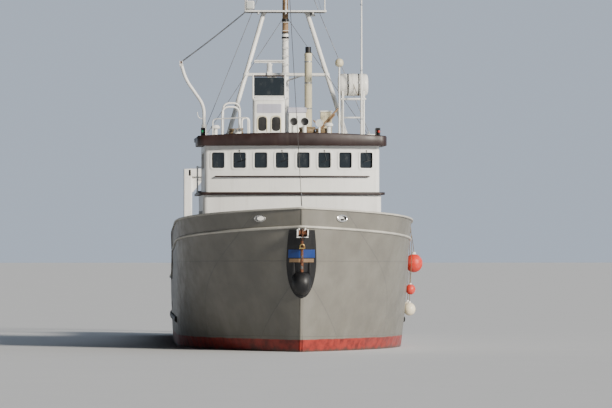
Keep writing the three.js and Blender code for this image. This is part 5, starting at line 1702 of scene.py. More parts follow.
@dataclass
class Houses:
    """The trunk, the boat deck and the wheelhouse with its windows, roof, doors and helm."""

    deck_z: float = 5.35
    pitch: float = 0.73
    window: tuple[float, float] = (0.5, 0.6)
    window_z: Span = (6.15, 6.75)
    side_windows: tuple[Span, ...] = ((7.95, 8.85), (9.05, 9.95), (10.15, 11.05))
    aft_windows: tuple[Span, ...] = ((-1.4, -0.2), (0.2, 1.4))
    door: Span = (1.7, 2.4)
    door_z: Span = (5.44, 7.06)
    aft: float = 11.9
    inset: float = -0.06
    thick: float = 0.07
    top: float = 7.15
    roof_aft: float = 12.1
    visor_aft: float = 10.0
    visor_foot: float = 6.95

    def fronts(self) -> list[float]:
        """Gives the middles of the eight front windows."""
        return [(place - 3.5) * self.pitch for place in range(8)]

    def on_front(self, x: float, margin: float, z: float) -> tuple[Points, Points, Points]:
        """Gives a place on the wheelhouse's front.

        Args:
            x: how far to the side it lies.
            margin: how far the front is moved out.
            z: its height.

        Returns:
            The point, the direction across the front there, and the one out of it.
        """
        radius = front_radius(HOUSE_HALF + margin)
        lean = x / radius
        point = np.array([x, HOUSE_FRONT - margin + radius - math.sqrt(radius ** 2 - x ** 2), z])
        across = np.array([math.cos(math.asin(lean)), lean, 0.0])
        return point, across, np.array([lean, -across[0], 0.0])

    def shell(self, margin: float, aft: float) -> Surface:
        """Gives the curved front and the sides of the wheelhouse.

        Args:
            margin: how far it stands outside the trunk's walls.
            aft: how far aft its sides go.

        Returns:
            An upright grid with lines on the edges of every window, whose cells are left out there.
        """
        edges = [middle + side * self.window[0] / 2 for middle in self.fronts() for side in (-1, 1)]
        front = house_outline(margin, aft, front=edges)
        sides = lines_between(float(front[1, 1]), aft, 0.4, [edge for pair in self.side_windows for edge in pair])
        half = HOUSE_HALF + margin
        port = np.stack([np.full(len(sides) - 1, half), sides[1:]], axis=1)[::-1]
        outline = np.concatenate([port, front[1:-1], (port * (-1, 1))[::-1]])
        heights = lines_between(self.deck_z, self.top, 0.4, self.window_z)
        middles = (outline[1:] + outline[:-1]) / 2
        level = (heights[1:] + heights[:-1]) / 2
        is_front = middles[:, 1] < float(front[4, 1])
        beside = np.abs(middles[:, :1] - np.array(self.fronts())[None])
        open_front = is_front & (beside < self.window[0] / 2).any(axis=1)
        on_side = np.abs(middles[:, 0]) > half - 1e-4
        beside_window = [(middles[:, 1] > a) & (middles[:, 1] < b) for a, b in self.side_windows]
        open_side = on_side & np.any(beside_window, axis=0)
        rows = (level > self.window_z[0]) & (level < self.window_z[1])
        keep = ~np.outer(open_front | open_side, rows)
        return grid(wall_of(outline, heights), keep=keep)

    def windows(self) -> list[tuple[Points, Points, Points, float]]:
        """Lists the windows: eight in front, three on each side, and two aft.

        Returns:
            For each the middle on the wall's outer face, the directions across it and out of it, and its width.
        """
        z = sum(self.window_z) / 2
        windows = [(*self.on_front(x, self.inset, z), self.window[0]) for x in self.fronts()]
        half = HOUSE_HALF + self.inset
        for low, high in self.side_windows:
            for side in (1.0, -1.0):
                middle = np.array([half * side, (low + high) / 2, z])
                windows.append((middle, np.array([0.0, side, 0.0]), np.array([side, 0.0, 0.0]), high - low))
        for low, high in self.aft_windows:
            middle = np.array([(low + high) / 2, self.aft, z])
            windows.append((middle, np.array([-1.0, 0.0, 0.0]), np.array([0.0, 1.0, 0.0]), high - low))
        return windows

    def frames(self) -> tuple[list[Surface], list[Surface], list[Surface]]:
        """Gives what is round the windows.

        Returns:
            Their painted frames, their rubbers, and the jambs between the outer and the inner wall.
        """
        frames, rubbers, jambs = [], [], []
        height = self.window[1]
        flat = rounded_outline([(-0.036, -0.007), (0.03, -0.007), (0.03, 0.008), (-0.036, 0.008)], 0.005, 2)
        bead = circle(0.012, 6)
        for middle, across, out, width in self.windows():
            frames.append(self.window_ring(middle + 0.004 * out, across, out, width, height, flat))
            rubbers.append(self.window_ring(middle - 0.012 * out, across, out, width - 0.05, height - 0.05, bead))
            jambs.append(self.jamb(middle, across, out, width, height))
        return frames, rubbers, jambs

    def window_ring(
        self, centre: Points, across: Points, out: Points, width: float, height: float, profile: Points,
    ) -> Surface:
        """Carries a profile round a window's rounded edge, with its side away from the wall's face."""
        line = set_on(rounded_frame(width, height, 0.1, 6), centre, across)
        return sweep(line, profile, up=out, closed=True)

    def jamb(self, point: Points, across: Points, out: Points, width: float, height: float) -> Surface:
        """Gives the four faces between the outer and the inner wall at a window's edge."""
        corners = set_on(rounded_frame(width, height, 0.001, 1), point, across)
        return grid(np.stack([corners - self.thick * out, corners]), around=True).flipped()

    def after_wall(self, depth: float, back: bool) -> Surface:
        """Gives the wall that looks aft, with two windows and two doorways.

        Args:
            depth: how far from the bow it stands.
            back: whether it faces forward, as its inner side does.

        Returns:
            The wall as one flat surface.
        """
        half = HOUSE_HALF + self.inset
        holes = [(window, self.window_z) for window in self.aft_windows]
        holes += [(self.door, self.door_z), ((-self.door[1], -self.door[0]), self.door_z)]
        return panel(Plane.FRONT, depth, (-half, half), (self.deck_z, self.top), holes, back=back)

    def build(self) -> None:
        """Makes the houses' pieces."""
        self.trunk()
        self.boat_deck()
        self.wheelhouse()
        self.roof()
        for side, name in ((1, "port"), (-1, "starboard")):
            self.leaf(side, name)
        self.helm()
        self.cabin_door()

    def trunk(self) -> None:
        """Makes the trunk with its ports, its grab rails, its vents and the bead at its foot."""
        trunk = Shape("trunk_house").add(WHITE, slab(house_outline(0, 12.95), 3.25, 5.2597, Plane.PLAN, 0.012))
        ring = [(0.125, -0.004), (0.165, -0.004), (0.165, 0.014), (0.15, 0.022), (0.13, 0.022), (0.125, 0.014)]
        pane = [(0.0, 0.004), (0.0, 0.009), (0.128, 0.009)]
        lights = [(3.08, d, 4.55) for d in (8.0, 9.4, 10.8, 12.1)]
        trunk.pair(STAINLESS, *(lathe(ring, where, 0, 28) for where in lights))
        trunk.pair(GLASS, *(lathe(pane[::-1], where, 0, 28).flipped() for where in lights))
        rail = rounded([(3.08, 7.6, 4.05), (3.16, 7.6, 4.05), (3.16, 12.6, 3.95), (3.08, 12.6, 3.95)], 0.06, 4)
        trunk.pair(GEAR_WHITE, tube(rail, 0.018, 8, up=(0.2, 0.1, 1)))
        for distance, z in ((9.2, 4.018), (10.9, 3.984)):
            trunk.pair(GEAR_WHITE, rod((3.07, distance, z), (3.16, distance, z), 0.012))
        foot = house_outline(0.012, 12.95)
        line = np.column_stack([foot, foredeck(foot[:, 1]) + 0.012])
        trunk.add(WHITE, sweep(line[::-1], circle(0.02, 6), up=(0, 0, 1)))
        vent = [
            (0.0, 0.0), (0.1, 0.0), (0.11, 0.04), (0.1, 0.36), (0.17, 0.4), (0.18, 0.46), (0.12, 0.52), (0.0, 0.54),
        ]
        trunk.pair(GEAR_WHITE, lathe(vent, (2.75, 7.0, float(foredeck(7.0)) - 0.01), 2, 24))
        trunk.piece("white_paint", ["trunk"])

    def boat_deck(self) -> None:
        """Makes the boat deck's slab with its dark trim edge, which also paints the shadow line under the ledge, its
        deck paint and its rail.
        """
        # The slab's maroon edge is trim and also painted shade: the dark shadow line under the overhanging deck.
        deck = Shape("boat_deck_plate").add(MAROON, slab(house_outline(0.13, 13.9), 5.26, 5.35, Plane.PLAN, 0.012))
        deck.add(CABIN_DECK, slab(house_outline(0.1, 13.87), 5.3495, 5.3525, Plane.PLAN, 0.001))
        corners = [(3.14, 12.0), (3.14, 13.83), (-3.14, 13.83), (-3.14, 12.0)]
        deck.add(GEAR_WHITE, *railing(corners, 5.35, 0.95, 0.9))
        kick = rounded(np.column_stack([np.array(corners), np.full(4, 5.4)]), 0.1, 4)
        strip = [(-0.006, -0.05), (0.006, -0.05), (0.006, 0.05), (-0.006, 0.05)]
        deck.add(MAROON, sweep(kick, strip, up=(0, 0, 1)))
        deck.pair(GEAR_WHITE, rod((2.9, 13.2, 4.1), (2.9, 13.75, 5.27), 0.035))
        deck.piece("dark_trim", ["boat_deck"])

    def wheelhouse(self) -> None:
        """Makes the wheelhouse's walls, window frames, panes, grab rail and wipers."""
        house = Shape("wheelhouse_walls")
        house.add(WHITE, self.shell(self.inset, self.aft), self.after_wall(self.aft, False))
        inner = self.inset - self.thick
        inner_aft = self.aft - self.thick
        house.add(CREAM, self.shell(inner, inner_aft).flipped(), self.after_wall(inner_aft, True))
        lining = house_outline(inner + 0.01, 11.835)
        house.add(DECK, slab(lining, 5.4, 5.41, Plane.PLAN, 0.002))
        house.add(CREAM, slab(lining, 7.14, 7.149, Plane.PLAN, 0.002))
        frames, rubbers, jambs = self.frames()
        house.add(WHITE, *frames, *jambs).add(GASKET, *rubbers)
        house.add(WHITE, *(
            duct(door, (inner_aft, self.aft), self.door_z, Plane.FRONT)
            for door in (self.door, (-self.door[1], -self.door[0]))))
        lug = [(2.436, 2.484), (11.895, 11.958)]
        house.pair(GALVANISED, *(block(*lug, (z, z + 0.04), 0.004) for z in (5.36, 7.1)))
        rim = set_on(rounded_frame(0.78, 1.7, 0.06, 4), (2.05, self.aft + 0.006, 6.25), (1, 0, 0))
        house.pair(WHITE, sweep(rim, circle(0.02, 8), up=(0, 1, 0), closed=True))
        house.piece("white_paint", ["wheelhouse"])
        band = house_outline(inner - 0.008, 11.2)
        strip = sweep(np.column_stack([band, np.full(len(band), 6.45)]),
                      [(-0.005, -0.35), (0.005, -0.35), (0.005, 0.35), (-0.005, 0.35)], up=(0, 0, 1))
        Shape("front_panes").add(GLASS, strip).piece("window_glass", ["wheelhouse_glass"])
        pane = slab(rounded_frame(3.0, 0.7, 0.05), 11.815, 11.827, Plane.FRONT, 0.002).moved(z=6.45)
        Shape("after_panes").add(GLASS, pane).piece("window_glass", ["wheelhouse_glass_aft"])
        self.front_fittings()

    def front_fittings(self) -> None:
        """Makes the dark grab rail and the wipers on the front."""
        fittings = Shape("front_grab_rail")
        line = house_outline(0.012, 9.0)
        line = line[np.abs(line[:, 0]) < 2.75]
        line = line[line[:, 1] < 7.6]
        rail = np.column_stack([line, np.full(len(line), 5.89)])
        fittings.add(MAROON, tube(rail, 0.026, 10, up=(0, 0, 1)))
        for x in np.linspace(-2.65, 2.65, 8):
            point, _, out = self.on_front(float(x), self.inset, 5.89)
            fittings.add(MAROON, rod(point - 0.005 * out, point + 0.075 * out, 0.016))
        fittings.piece("dark_trim")
        wipers = Shape("window_wipers")
        for x in self.fronts()[1::2]:
            point, across, out = self.on_front(x, self.inset, 6.78)
            hub = point + 0.02 * out
            tip = hub + 0.08 * across - np.array([0, 0, 0.34]) + 0.01 * out
            blade = [tip - 0.16 * across - np.array([0, 0, 0.05]), tip + 0.16 * across + np.array([0, 0, 0.05])]
            wipers.add(BLACK, rod(point - 0.01 * out, hub + 0.02 * out, 0.022), rod(hub, tip, 0.007, 0.005, 8))
            wipers.add(BLACK, rod(blade[0], blade[1], 0.008, None, 6))
        wipers.piece("black_fittings")

    def roof(self) -> None:
        """Makes the cambered roof with its deep maroon visor, whose face is trim paint and, in its lower part, painted
        shade of the overhang's underside, and the davit's socket on it.
        """
        outer = house_outline(0.19, self.roof_aft)
        sides = lines_between(float(outer[1, 1]), self.roof_aft, 0.35, [self.visor_aft])[1:]
        port = np.stack([np.full(len(sides), outer[0, 0]), sides], axis=1)[::-1]
        outline = np.concatenate([port, outer[1:-1], (port * (-1, 1))[::-1]])
        crown = roof_at(outline[:, 0])
        # The visor's maroon face hangs down to visor_foot: trim paint that, in its lower part, also paints the shade
        # under the overhang.
        foot = np.where(outline[:, 1] <= self.visor_aft + 0.001, self.visor_foot, self.top)
        eased = inset(outline[::-1], 0.03)[::-1]
        eased[[0, -1]] = outline[[0, -1]] * (0.991, 1)
        edge = np.stack([foot, foot + 0.02, crown - 0.035, crown - 0.012, crown], axis=1)
        low = inset(outline[::-1], 0.012)[::-1]
        low[[0, -1]] = outline[[0, -1]] * (0.996, 1)
        rings = np.stack([low, outline, outline, (outline + eased) / 2, eased], axis=1)
        fascia = grid(np.concatenate([rings, edge[..., None]], axis=-1))
        wall = house_outline(-0.058, self.roof_aft)
        half = len(eased) // 2
        share = np.linspace(0, 1, 25)[None, :, None]
        across = eased[:half + 1, None] * (1 - share) + eased[::-1][:half + 1, None] * share
        top = np.concatenate([across, roof_at(across[..., :1])], axis=-1)
        roof = Shape("roof_and_visor").add(MAROON, fascia, self.soffit_ring(low, wall))
        roof.add(GEAR_WHITE, grid(top).flipped().welded())
        x = np.linspace(-1, 1, 25) * outer[0, 0]
        flat = np.full(25, self.top)
        low_edge = np.column_stack([x, np.full(25, self.roof_aft), flat])
        high_edge = np.column_stack([x, np.full(25, self.roof_aft), roof_at(x)])
        roof.add(MAROON, grid(np.stack([low_edge, high_edge])))
        shelf = np.column_stack([x, np.full(25, self.aft - 0.01), flat])
        roof.add(MAROON, grid(np.stack([shelf, low_edge])).flipped())
        socket = [(0.0405, 0.02), (0.0405, 0.55), (0.075, 0.55), (0.085, 0.53), (0.085, 0.0)]
        roof.add(GEAR_WHITE, lathe(socket[::-1], (*DAVIT, 7.15), 2, 24))
        flange = [(0.08, 0.0), (0.16, 0.0), (0.16, 0.02), (0.09, 0.05)]
        roof.add(GEAR_WHITE, lathe(flange, (*DAVIT, 7.305), 2, 24))
        roof.piece("dark_trim", ["wheelhouse_roof"], crease=40)

    def soffit_ring(self, outer: Points, wall: Points) -> Surface:
        """Gives the underside of the visor, between its foot and the wheelhouse's wall.

        Args:
            outer: the visor's foot, from the port after corner round the front.
            wall: the wall's outline, in the same order.

        Returns:
            A strip whose inner points lie at the same shares of the wall's length as the outer ones do of theirs.
        """
        reach = outer[outer[:, 1] <= self.visor_aft + 0.001]
        wall = wall[wall[:, 1] <= self.visor_aft]
        wall = np.concatenate([[(wall[0, 0], self.visor_aft)], wall, [(wall[-1, 0], self.visor_aft)]])
        where = np.concatenate([[0], np.cumsum(np.linalg.norm(np.diff(reach, axis=0), axis=1))])
        along = np.concatenate([[0], np.cumsum(np.linalg.norm(np.diff(wall, axis=0), axis=1))])
        share = where / where[-1] * along[-1]
        inner = np.stack([np.interp(share, along, wall[:, 0]), np.interp(share, along, wall[:, 1])], axis=1)
        flat = np.stack([inner, reach], axis=1)
        return grid(np.concatenate([flat, np.full((*flat.shape[:2], 1), self.visor_foot)], axis=-1))

    def leaf(self, side: int, name: str) -> None:
        """Makes a wheelhouse door, with its window, dogs, handle and hinge pin.

        Args:
            side: 1 for the port door, -1 for the starboard one.
            name: the side's name.
        """
        depth = 11.934
        door = Shape(f"wheelhouse_door_leaf_{name}", f"wheelhouse_door_{name}")
        plate = slab(rounded_frame(0.8, 1.69, 0.06), -0.012, 0.012, Plane.FRONT, 0.005)
        parts = [plate.moved(2.06, depth, 6.25), rod((2.46, depth, 5.36), (2.46, depth, 7.14), 0.0112)]
        parts += [block((2.35, 2.47), (11.921, 11.949), (z, z + 0.06), 0.006) for z in (5.62, 6.82)]
        glass = slab(rounded_frame(0.34, 0.46, 0.08), -0.016, 0.016, Plane.FRONT, 0.002).moved(2.02, depth, 6.62)
        rim = set_on(rounded_frame(0.36, 0.48, 0.08), (2.02, 11.95, 6.62), (1, 0, 0))
        handle = rounded([(1.75, 11.945, 6.28), (1.75, 12.0, 6.28), (1.88, 12.0, 6.28)], 0.03, 4)
        rose = lathe([(0.0, 0.0), (0.03, 0.0), (0.03, 0.012), (0.0, 0.014)], (1.75, 11.944, 6.28), 1, 16)
        gasket = sweep(rim, circle(0.013, 6), up=(0, 1, 0), closed=True)
        door.add(WHITE, *in_turn(side, *parts))
        door.add(GLASS, *in_turn(side, glass)).add(GASKET, *in_turn(side, gasket))
        door.add(STAINLESS, *in_turn(side, tube(handle, 0.012, 8, up=(0, 0, 1)), rose))
        door.piece("white_paint", [f"wheelhouse_door_{name}"])

    def helm(self) -> None:
        """Makes the helm console with its screens, and the helmsman's chair."""
        console = Shape("helm_desk")
        desk = [(7.37, 5.4103), (7.93, 5.4103), (7.93, 6.15), (7.65, 6.31), (7.37, 6.12)]
        console.add(VINYL, slab(desk, -1.49, 1.49, Plane.SIDE, 0.02))
        slope = math.degrees(math.atan2(0.16, -0.28))
        screen = slab(rounded_frame(0.4, 0.26, 0.02), 0.0, 0.02, Plane.PLAN, 0.004)
        tilted = screen.turned(0, slope + 180, (0, 0, 0))
        console.add(GLASS, *(tilted.moved(x, 7.8, 6.24) for x in (-1.0, -0.5, 0.5, 1.0)))
        console.piece("black_fittings", ["helm_console"])
        chair = Shape("helm_seat")
        foot = [(0.0, 0.0), (0.24, 0.0), (0.24, 0.015), (0.07, 0.04), (0.052, 0.09), (0.052, 0.5), (0.0, 0.5)]
        chair.add(STAINLESS, lathe(foot, (0, 8.8, 5.4103), 2, 28))
        chair.add(VINYL, block((-0.255, 0.255), (8.545, 9.055), (5.9, 6.01), 0.045))
        chair.add(VINYL, block((-0.255, 0.255), (8.992, 9.088), (5.93, 6.615), 0.045))
        chair.piece("black_fittings", ["helm_chair"])

    def cabin_door(self) -> None:
        """Makes the weathertight door of the forecastle, with its dogs."""
        middle, depth, dog_x = -0.92, 13.034, -0.57
        door = Shape("cabin_door_leaf", "forecastle_door")
        plate = slab(rounded_frame(0.84, 1.71, 0.08), -0.012, 0.012, Plane.FRONT, 0.005)
        pin = rod((-1.335, depth, 1.27), (-1.335, depth, 3.08), 0.0112)
        door.add(WHITE, plate.moved(middle, depth, 2.175), pin)
        rose = [(0.0, 0.0), (0.032, 0.0), (0.028, 0.02), (0.0, 0.02)]
        for z in (1.6, 2.2, 2.8):
            dog = rounded([(dog_x, 13.03, z), (dog_x, 13.09, z), (dog_x, 13.09, z + 0.12)], 0.03, 3)
            door.add(GALVANISED, tube(dog, 0.012, 8, up=(1, 0, 0)))
            door.add(GALVANISED, lathe(rose, (dog_x, 13.045, z), 1, 12))
        rim = set_on(rounded_frame(0.28, 0.28, 0.139, 8), (middle, 13.05, 2.65), (1, 0, 0))
        door.add(STAINLESS, sweep(rim, circle(0.016, 6), up=(0, 1, 0), closed=True))
        pane = slab(rounded_frame(0.27, 0.27, 0.134, 8), 13.04, 13.05, Plane.FRONT, 0.002)
        door.add(GLASS, pane.moved(middle, 0, 2.65))
        door.piece("white_paint", ["forecastle_door"])


# Mast and roof.


def ring(inner: float, outer: float, low: float, high: float, centre: ArrayLike, axis: int = 2) -> Surface:
    """Gives a flat ring with a hole, such as a lug or a washer."""
    profile = [(inner, high), (inner, low), (outer, low), (outer, high), (inner, high)]
    return lathe(profile, centre, axis, 28)


def sheave_block(centre: ArrayLike, radius: float, half: float) -> tuple[list[Surface], Surface]:
    """Gives a wire block that turns about an axis across the ship.

    Args:
        centre: the middle of its axis.
        radius: its cheeks' radius.
        half: half the distance between the cheeks' middles.

    Returns:
        The two cheeks, and the sheave with its groove.
    """
    cheek = [(0.0, -0.008), (radius, -0.008), (radius, 0.008), (0.0, 0.008)]
    x, distance, z = centre
    cheeks = [lathe(cheek, (x + side * half, distance, z), 0, 24) for side in (-1, 1)]
    groove = half * 0.8
    wheel = [(0.0, -groove), (radius * 0.9, -groove), (radius * 0.72, 0), (radius * 0.9, groove), (0.0, groove)]
    return cheeks, lathe(wheel, centre, 0, 24)


def lamp(centre: ArrayLike, radius: float = 0.06, tall: float = 0.14) -> tuple[Surface, Surface]:
    """Gives a lantern.

    Args:
        centre: the middle of its lens.
        radius: its housing's radius.
        tall: its height.

    Returns:
        The housing with its cap, and the lens.
    """
    x, distance, z = centre
    body = [(0.0, -tall * 0.5), (radius, -tall * 0.5), (radius, -tall * 0.25), (radius * 0.5, -tall * 0.24)]
    cap = [(radius * 0.5, tall * 0.26), (radius * 1.05, tall * 0.27), (radius * 0.7, tall * 0.45), (0.0, tall * 0.5)]
    lens = [(radius * 0.8, -tall * 0.26), (radius * 0.95, 0.0), (radius * 0.8, tall * 0.27)]
    return lathe(body + cap, (x, distance, z), 2, 20), lathe(lens, (x, distance, z), 2, 20)


@dataclass
class Mast:
    """The king post with its two raked legs, its platform, the radar and the boom."""

    post: float = 12.7
    post_radii: Span = (0.15, 0.08)
    post_z: Span = (5.3505, 15.19)
    leg_foot: Place = (2.1, 11.2, 7.34)
    leg_head: Place = (0.77, 12.6, 11.8)
    crossbar_z: float = 9.56
    radar_x: float = -0.6
    swivel: Place = (0.0, 12.98, 7.9)
    platform: tuple[Span, Span] = ((-1.45, 1.45), (12.15, 13.05))
    platform_z: Span = (11.8, 11.86)
    boom_root: Place = (0.0, 13.18, 7.9)

    def radius_at(self, z: float) -> float:
        """Gives the king post's radius at a height."""
        return float(np.interp(z, self.post_z, self.post_radii))

    def leg_at(self, z: float) -> Points:
        """Gives the port leg's middle at a height."""
        foot, head = np.array(self.leg_foot), np.array(self.leg_head)
        return foot + (head - foot) * (z - foot[2]) / (head[2] - foot[2])

    def build(self) -> None:
        """Makes the mast's pieces."""
        self.frame()
        self.top()
        self.scanner()
        self.gooseneck()
        self.boom()

    def frame(self) -> None:
        """Makes the king post with its rungs, the legs, the crossbar, the radar's pedestal and the boom's arms."""
        mast = Shape("mast_frame")
        low, high = self.post_z
        change = 11.05
        mast.add(GEAR_WHITE, rod((0, self.post, low), (0, self.post, change), 0.15, self.radius_at(change), 32))
        mast.add(TAN, rod((0, self.post, change), (0, self.post, high), self.radius_at(change), 0.08, 32))
        flange = [(0.25, 0.0), (0.25, 0.022), (0.165, 0.028), (0.152, 0.1)]
        mast.add(GEAR_WHITE, lathe(flange, (0, self.post, low), 2, 32))
        for place in range(8):
            turn = place * math.pi / 4 + 0.39
            x, distance = 0.215 * math.cos(turn), self.post + 0.215 * math.sin(turn)
            mast.add(GALVANISED, lathe([(0.018, 0.0), (0.018, 0.05), (0.0, 0.05)], (x, distance, low), 2, 6))
        for z, tall in ((change, 0.05), (11.45, 0.14), (10.86, 0.08), (13.2, 0.03)):
            radius = self.radius_at(z) + 0.018
            collar = [(radius - 0.02, 0.0), (radius, 0.01), (radius, tall - 0.01), (radius - 0.02, tall)]
            mast.add(BLACK, lathe(collar, (0, self.post, z), 2, 28))
        for z in np.arange(5.75, 11.6, 0.3):
            reach = self.post - self.radius_at(float(z)) - 0.15
            rung = [(-0.12, self.post - 0.08, z), (-0.12, reach, z), (0.12, reach, z), (0.12, self.post - 0.08, z)]
            mast.add(GEAR_WHITE, tube(rounded(rung, 0.05, 3), 0.011, 8, up=(0, 0, 1)))
        mast.pair(GEAR_WHITE, rod(self.leg_foot, self.leg_head, 0.08, None, 24))
        mast.pair(GEAR_WHITE, block((1.9, 2.3), (11.0, 11.4), (7.33, 7.42), 0.015))
        mast.pair(GEAR_WHITE, ball(0.1, (*self.leg_foot[:2], 7.42), 0.6, 20))
        mast.pair(GEAR_WHITE, ball(0.1, (*self.leg_head[:2], 11.77), 0.4, 20))
        for x, distance in ((1.96, 11.06), (2.24, 11.06), (1.96, 11.34), (2.24, 11.34)):
            mast.pair(GALVANISED, lathe([(0.02, 0.0), (0.02, 0.025), (0.0, 0.03)], (x, distance, 7.415), 2, 6))
        bar = self.leg_at(self.crossbar_z)
        mast.add(GEAR_WHITE, rod(bar * (-1, 1, 1), bar, 0.06, None, 22))
        mast.pair(GEAR_WHITE, ball(0.1, bar, 0.9, 20))
        back = np.array([0.0, self.post, 9.35])
        mast.pair(GEAR_WHITE, rod(bar * (0.45, 1, 1), back, 0.03, None, 12))
        pedestal = [
            (0.1, -0.02), (0.105, 0.05), (0.09, 0.3), (0.11, 0.34), (0.11, 0.37), (0.0225, 0.37), (0.0225, 0.3),
        ]
        radar = (self.radar_x, bar[1], self.crossbar_z)
        mast.add(GEAR_WHITE, lathe(pedestal, radar, 2, 28))
        mast.add(GEAR_WHITE, lathe([(0.14, -0.075), (0.14, 0.075)], radar, 0, 24))
        for z, foot, tip in ((7.71, 7.71, 7.55), (8.03, 8.09, 8.25)):
            mast.add(GEAR_WHITE, ring(0.0357, 0.08, 0.0, 0.06, (0, self.swivel[1], z)))
            mast.add(GEAR_WHITE, block((-0.08, 0.08), (12.72, 12.945), (z, z + 0.06), 0.006))
            heel = [(12.83, foot), (13.0, foot), (12.83, tip)]
            mast.add(GEAR_WHITE, slab(heel, -0.012, 0.012, Plane.SIDE, 0.002))
        self.lights(mast)
        mast.piece("white_paint", ["mast"])

    def lights(self, mast: Shape) -> None:
        """Adds the yard and the navigation lights.

        Args:
            mast: the mast's piece.
        """
        mast.add(GEAR_WHITE, rod((-0.62, self.post, 14.3), (0.62, self.post, 14.3), 0.022))
        for x in (-0.6, 0.6):
            housing, lens = lamp((x, self.post, 14.42))
            mast.add(BLACK, housing).add(LENS, lens)
            mast.add(GEAR_WHITE, rod((x, self.post, 14.28), (x, self.post, 14.37), 0.014))
        front = self.post - 0.22
        for z in (12.9, 13.55):
            housing, lens = lamp((0, front, z), 0.075, 0.18)
            mast.add(BLACK, housing).add(LENS, lens)
            shelf = (front - 0.06, self.post - 0.06)
            mast.add(GEAR_WHITE, block((-0.06, 0.06), shelf, (z - 0.115, z - 0.095), 0.004))
        truck = (0, self.post, 15.198)
        mast.add(GEAR_WHITE, lathe([(0.05, -0.055), (0.082, -0.05), (0.082, 0.0)], truck, 2, 24))
        mast.add(GEAR_WHITE, lathe([(0.082, 0.0), (0.0, 0.0015)], truck, 2, 24))

    def top(self) -> None:
        """Makes the platform with its rail, its flood light and its lamp box, and a black plate under it that paints
        the shade on its underside.
        """
        x, distance = self.platform
        low, high = self.platform_z
        deck = Shape("mast_platform").add(GEAR_WHITE, block(x, distance, (low, high), 0.012))
        # Black plate under the platform: painted shade on its underside.
        deck.add(BLACK, block((-1.4, 1.4), (12.2, 13.0), (low - 0.006, low + 0.01), 0.001))
        for middle in (-0.97, 0.0, 0.97):
            deck.add(GEAR_WHITE, block((middle - 0.02, middle + 0.02), (12.2, 13.0), (low - 0.07, low), 0.005))
        rail = [(1.42, 13.02), (1.42, 12.18), (-1.42, 12.18), (-1.42, 13.02)]
        deck.add(GEAR_WHITE, *railing(rail, high - 0.002, 0.9, 1.42, 0.022))
        box = (-1.43, -1.13)
        deck.add(GEAR_WHITE, block(box, (12.075, 12.2), (11.89, 12.19), 0.025))
        deck.add(LENS, block((-1.405, -1.155), (12.055, 12.08), (11.915, 12.165), 0.012))
        deck.add(MAROON, block((-1.44, -1.12), (12.185, 12.215), (11.88, 12.2), 0.006))
        deck.add(GEAR_WHITE, rod((-1.28, 12.17, 11.86), (-1.28, 12.17, 11.9), 0.03))
        flood = [(0.0, -0.13), (0.13, -0.13), (0.13, -0.1), (0.05, 0.0)]
        deck.add(GEAR_WHITE, lathe(flood, (0.95, self.post, low), 2, 24))
        deck.add(LENS, lathe([(0.0, -0.136), (0.115, -0.132)], (0.95, self.post, low), 2, 24))
        deck.piece("white_paint")

    def scanner(self) -> None:
        """Makes the radar's turning bar."""
        bar = self.leg_at(self.crossbar_z)[1]
        scanner = Shape("radar_bar", "radar_scanner")
        scanner.add(GEAR_WHITE, lathe(
            [(0.0, -0.11), (0.022, -0.11), (0.022, 0.003), (0.07, 0.005), (0.07, 0.02), (0.05, 0.05), (0.0, 0.05)],
            (self.radar_x, bar, 9.93), 2, 28))
        arm = slab(rounded_frame(1.12, 0.11, 0.054, 8), -0.055, 0.055, Plane.FRONT, 0.02)
        scanner.add(GEAR_WHITE, arm.moved(self.radar_x, bar, 10.025))
        strip = slab(rounded_frame(1.04, 0.018, 0.008, 3), -0.0552, -0.05, Plane.FRONT, 0.001)
        scanner.add(MAROON, strip.moved(self.radar_x, bar, 10.03))
        scanner.piece("white_paint", ["radar_scanner"])

    def gooseneck(self) -> None:
        """Makes the boom's swivel, with its upright pin and its cross pin."""
        swivel = Shape("boom_swivel", "boom_gooseneck")
        pin = [(0.0, -0.185), (0.034, -0.185), (0.035, -0.12), (0.062, -0.118), (0.062, 0.118), (0.035, 0.12),
               (0.034, 0.185), (0.0, 0.185)]
        swivel.add(GALVANISED, lathe(pin, self.swivel, 2, 28))
        tongue = rounded_outline([(12.99, 7.86), (13.22, 7.86), (13.22, 7.94), (12.99, 7.94)], 0.035, 5)
        swivel.add(GALVANISED, slab(tongue, -0.025, 0.025, Plane.SIDE, 0.004))
        _, root, z = self.boom_root
        swivel.add(GALVANISED, rod((-0.08, root, z), (0.08, root, z), 0.0252, None, 20))
        swivel.piece("galvanised_steel", ["boom_gooseneck"])

    def boom(self) -> None:
        """Makes the boom with its fork, bands, head sheave and stowed topping tackle."""
        boom = Shape("cargo_boom", "boom")
        _, root, z = self.boom_root

        def up(surface: Surface) -> Surface:
            """Tops a level surface up to the boom's rest angle."""
            return surface.turned(0, 12, self.boom_root)

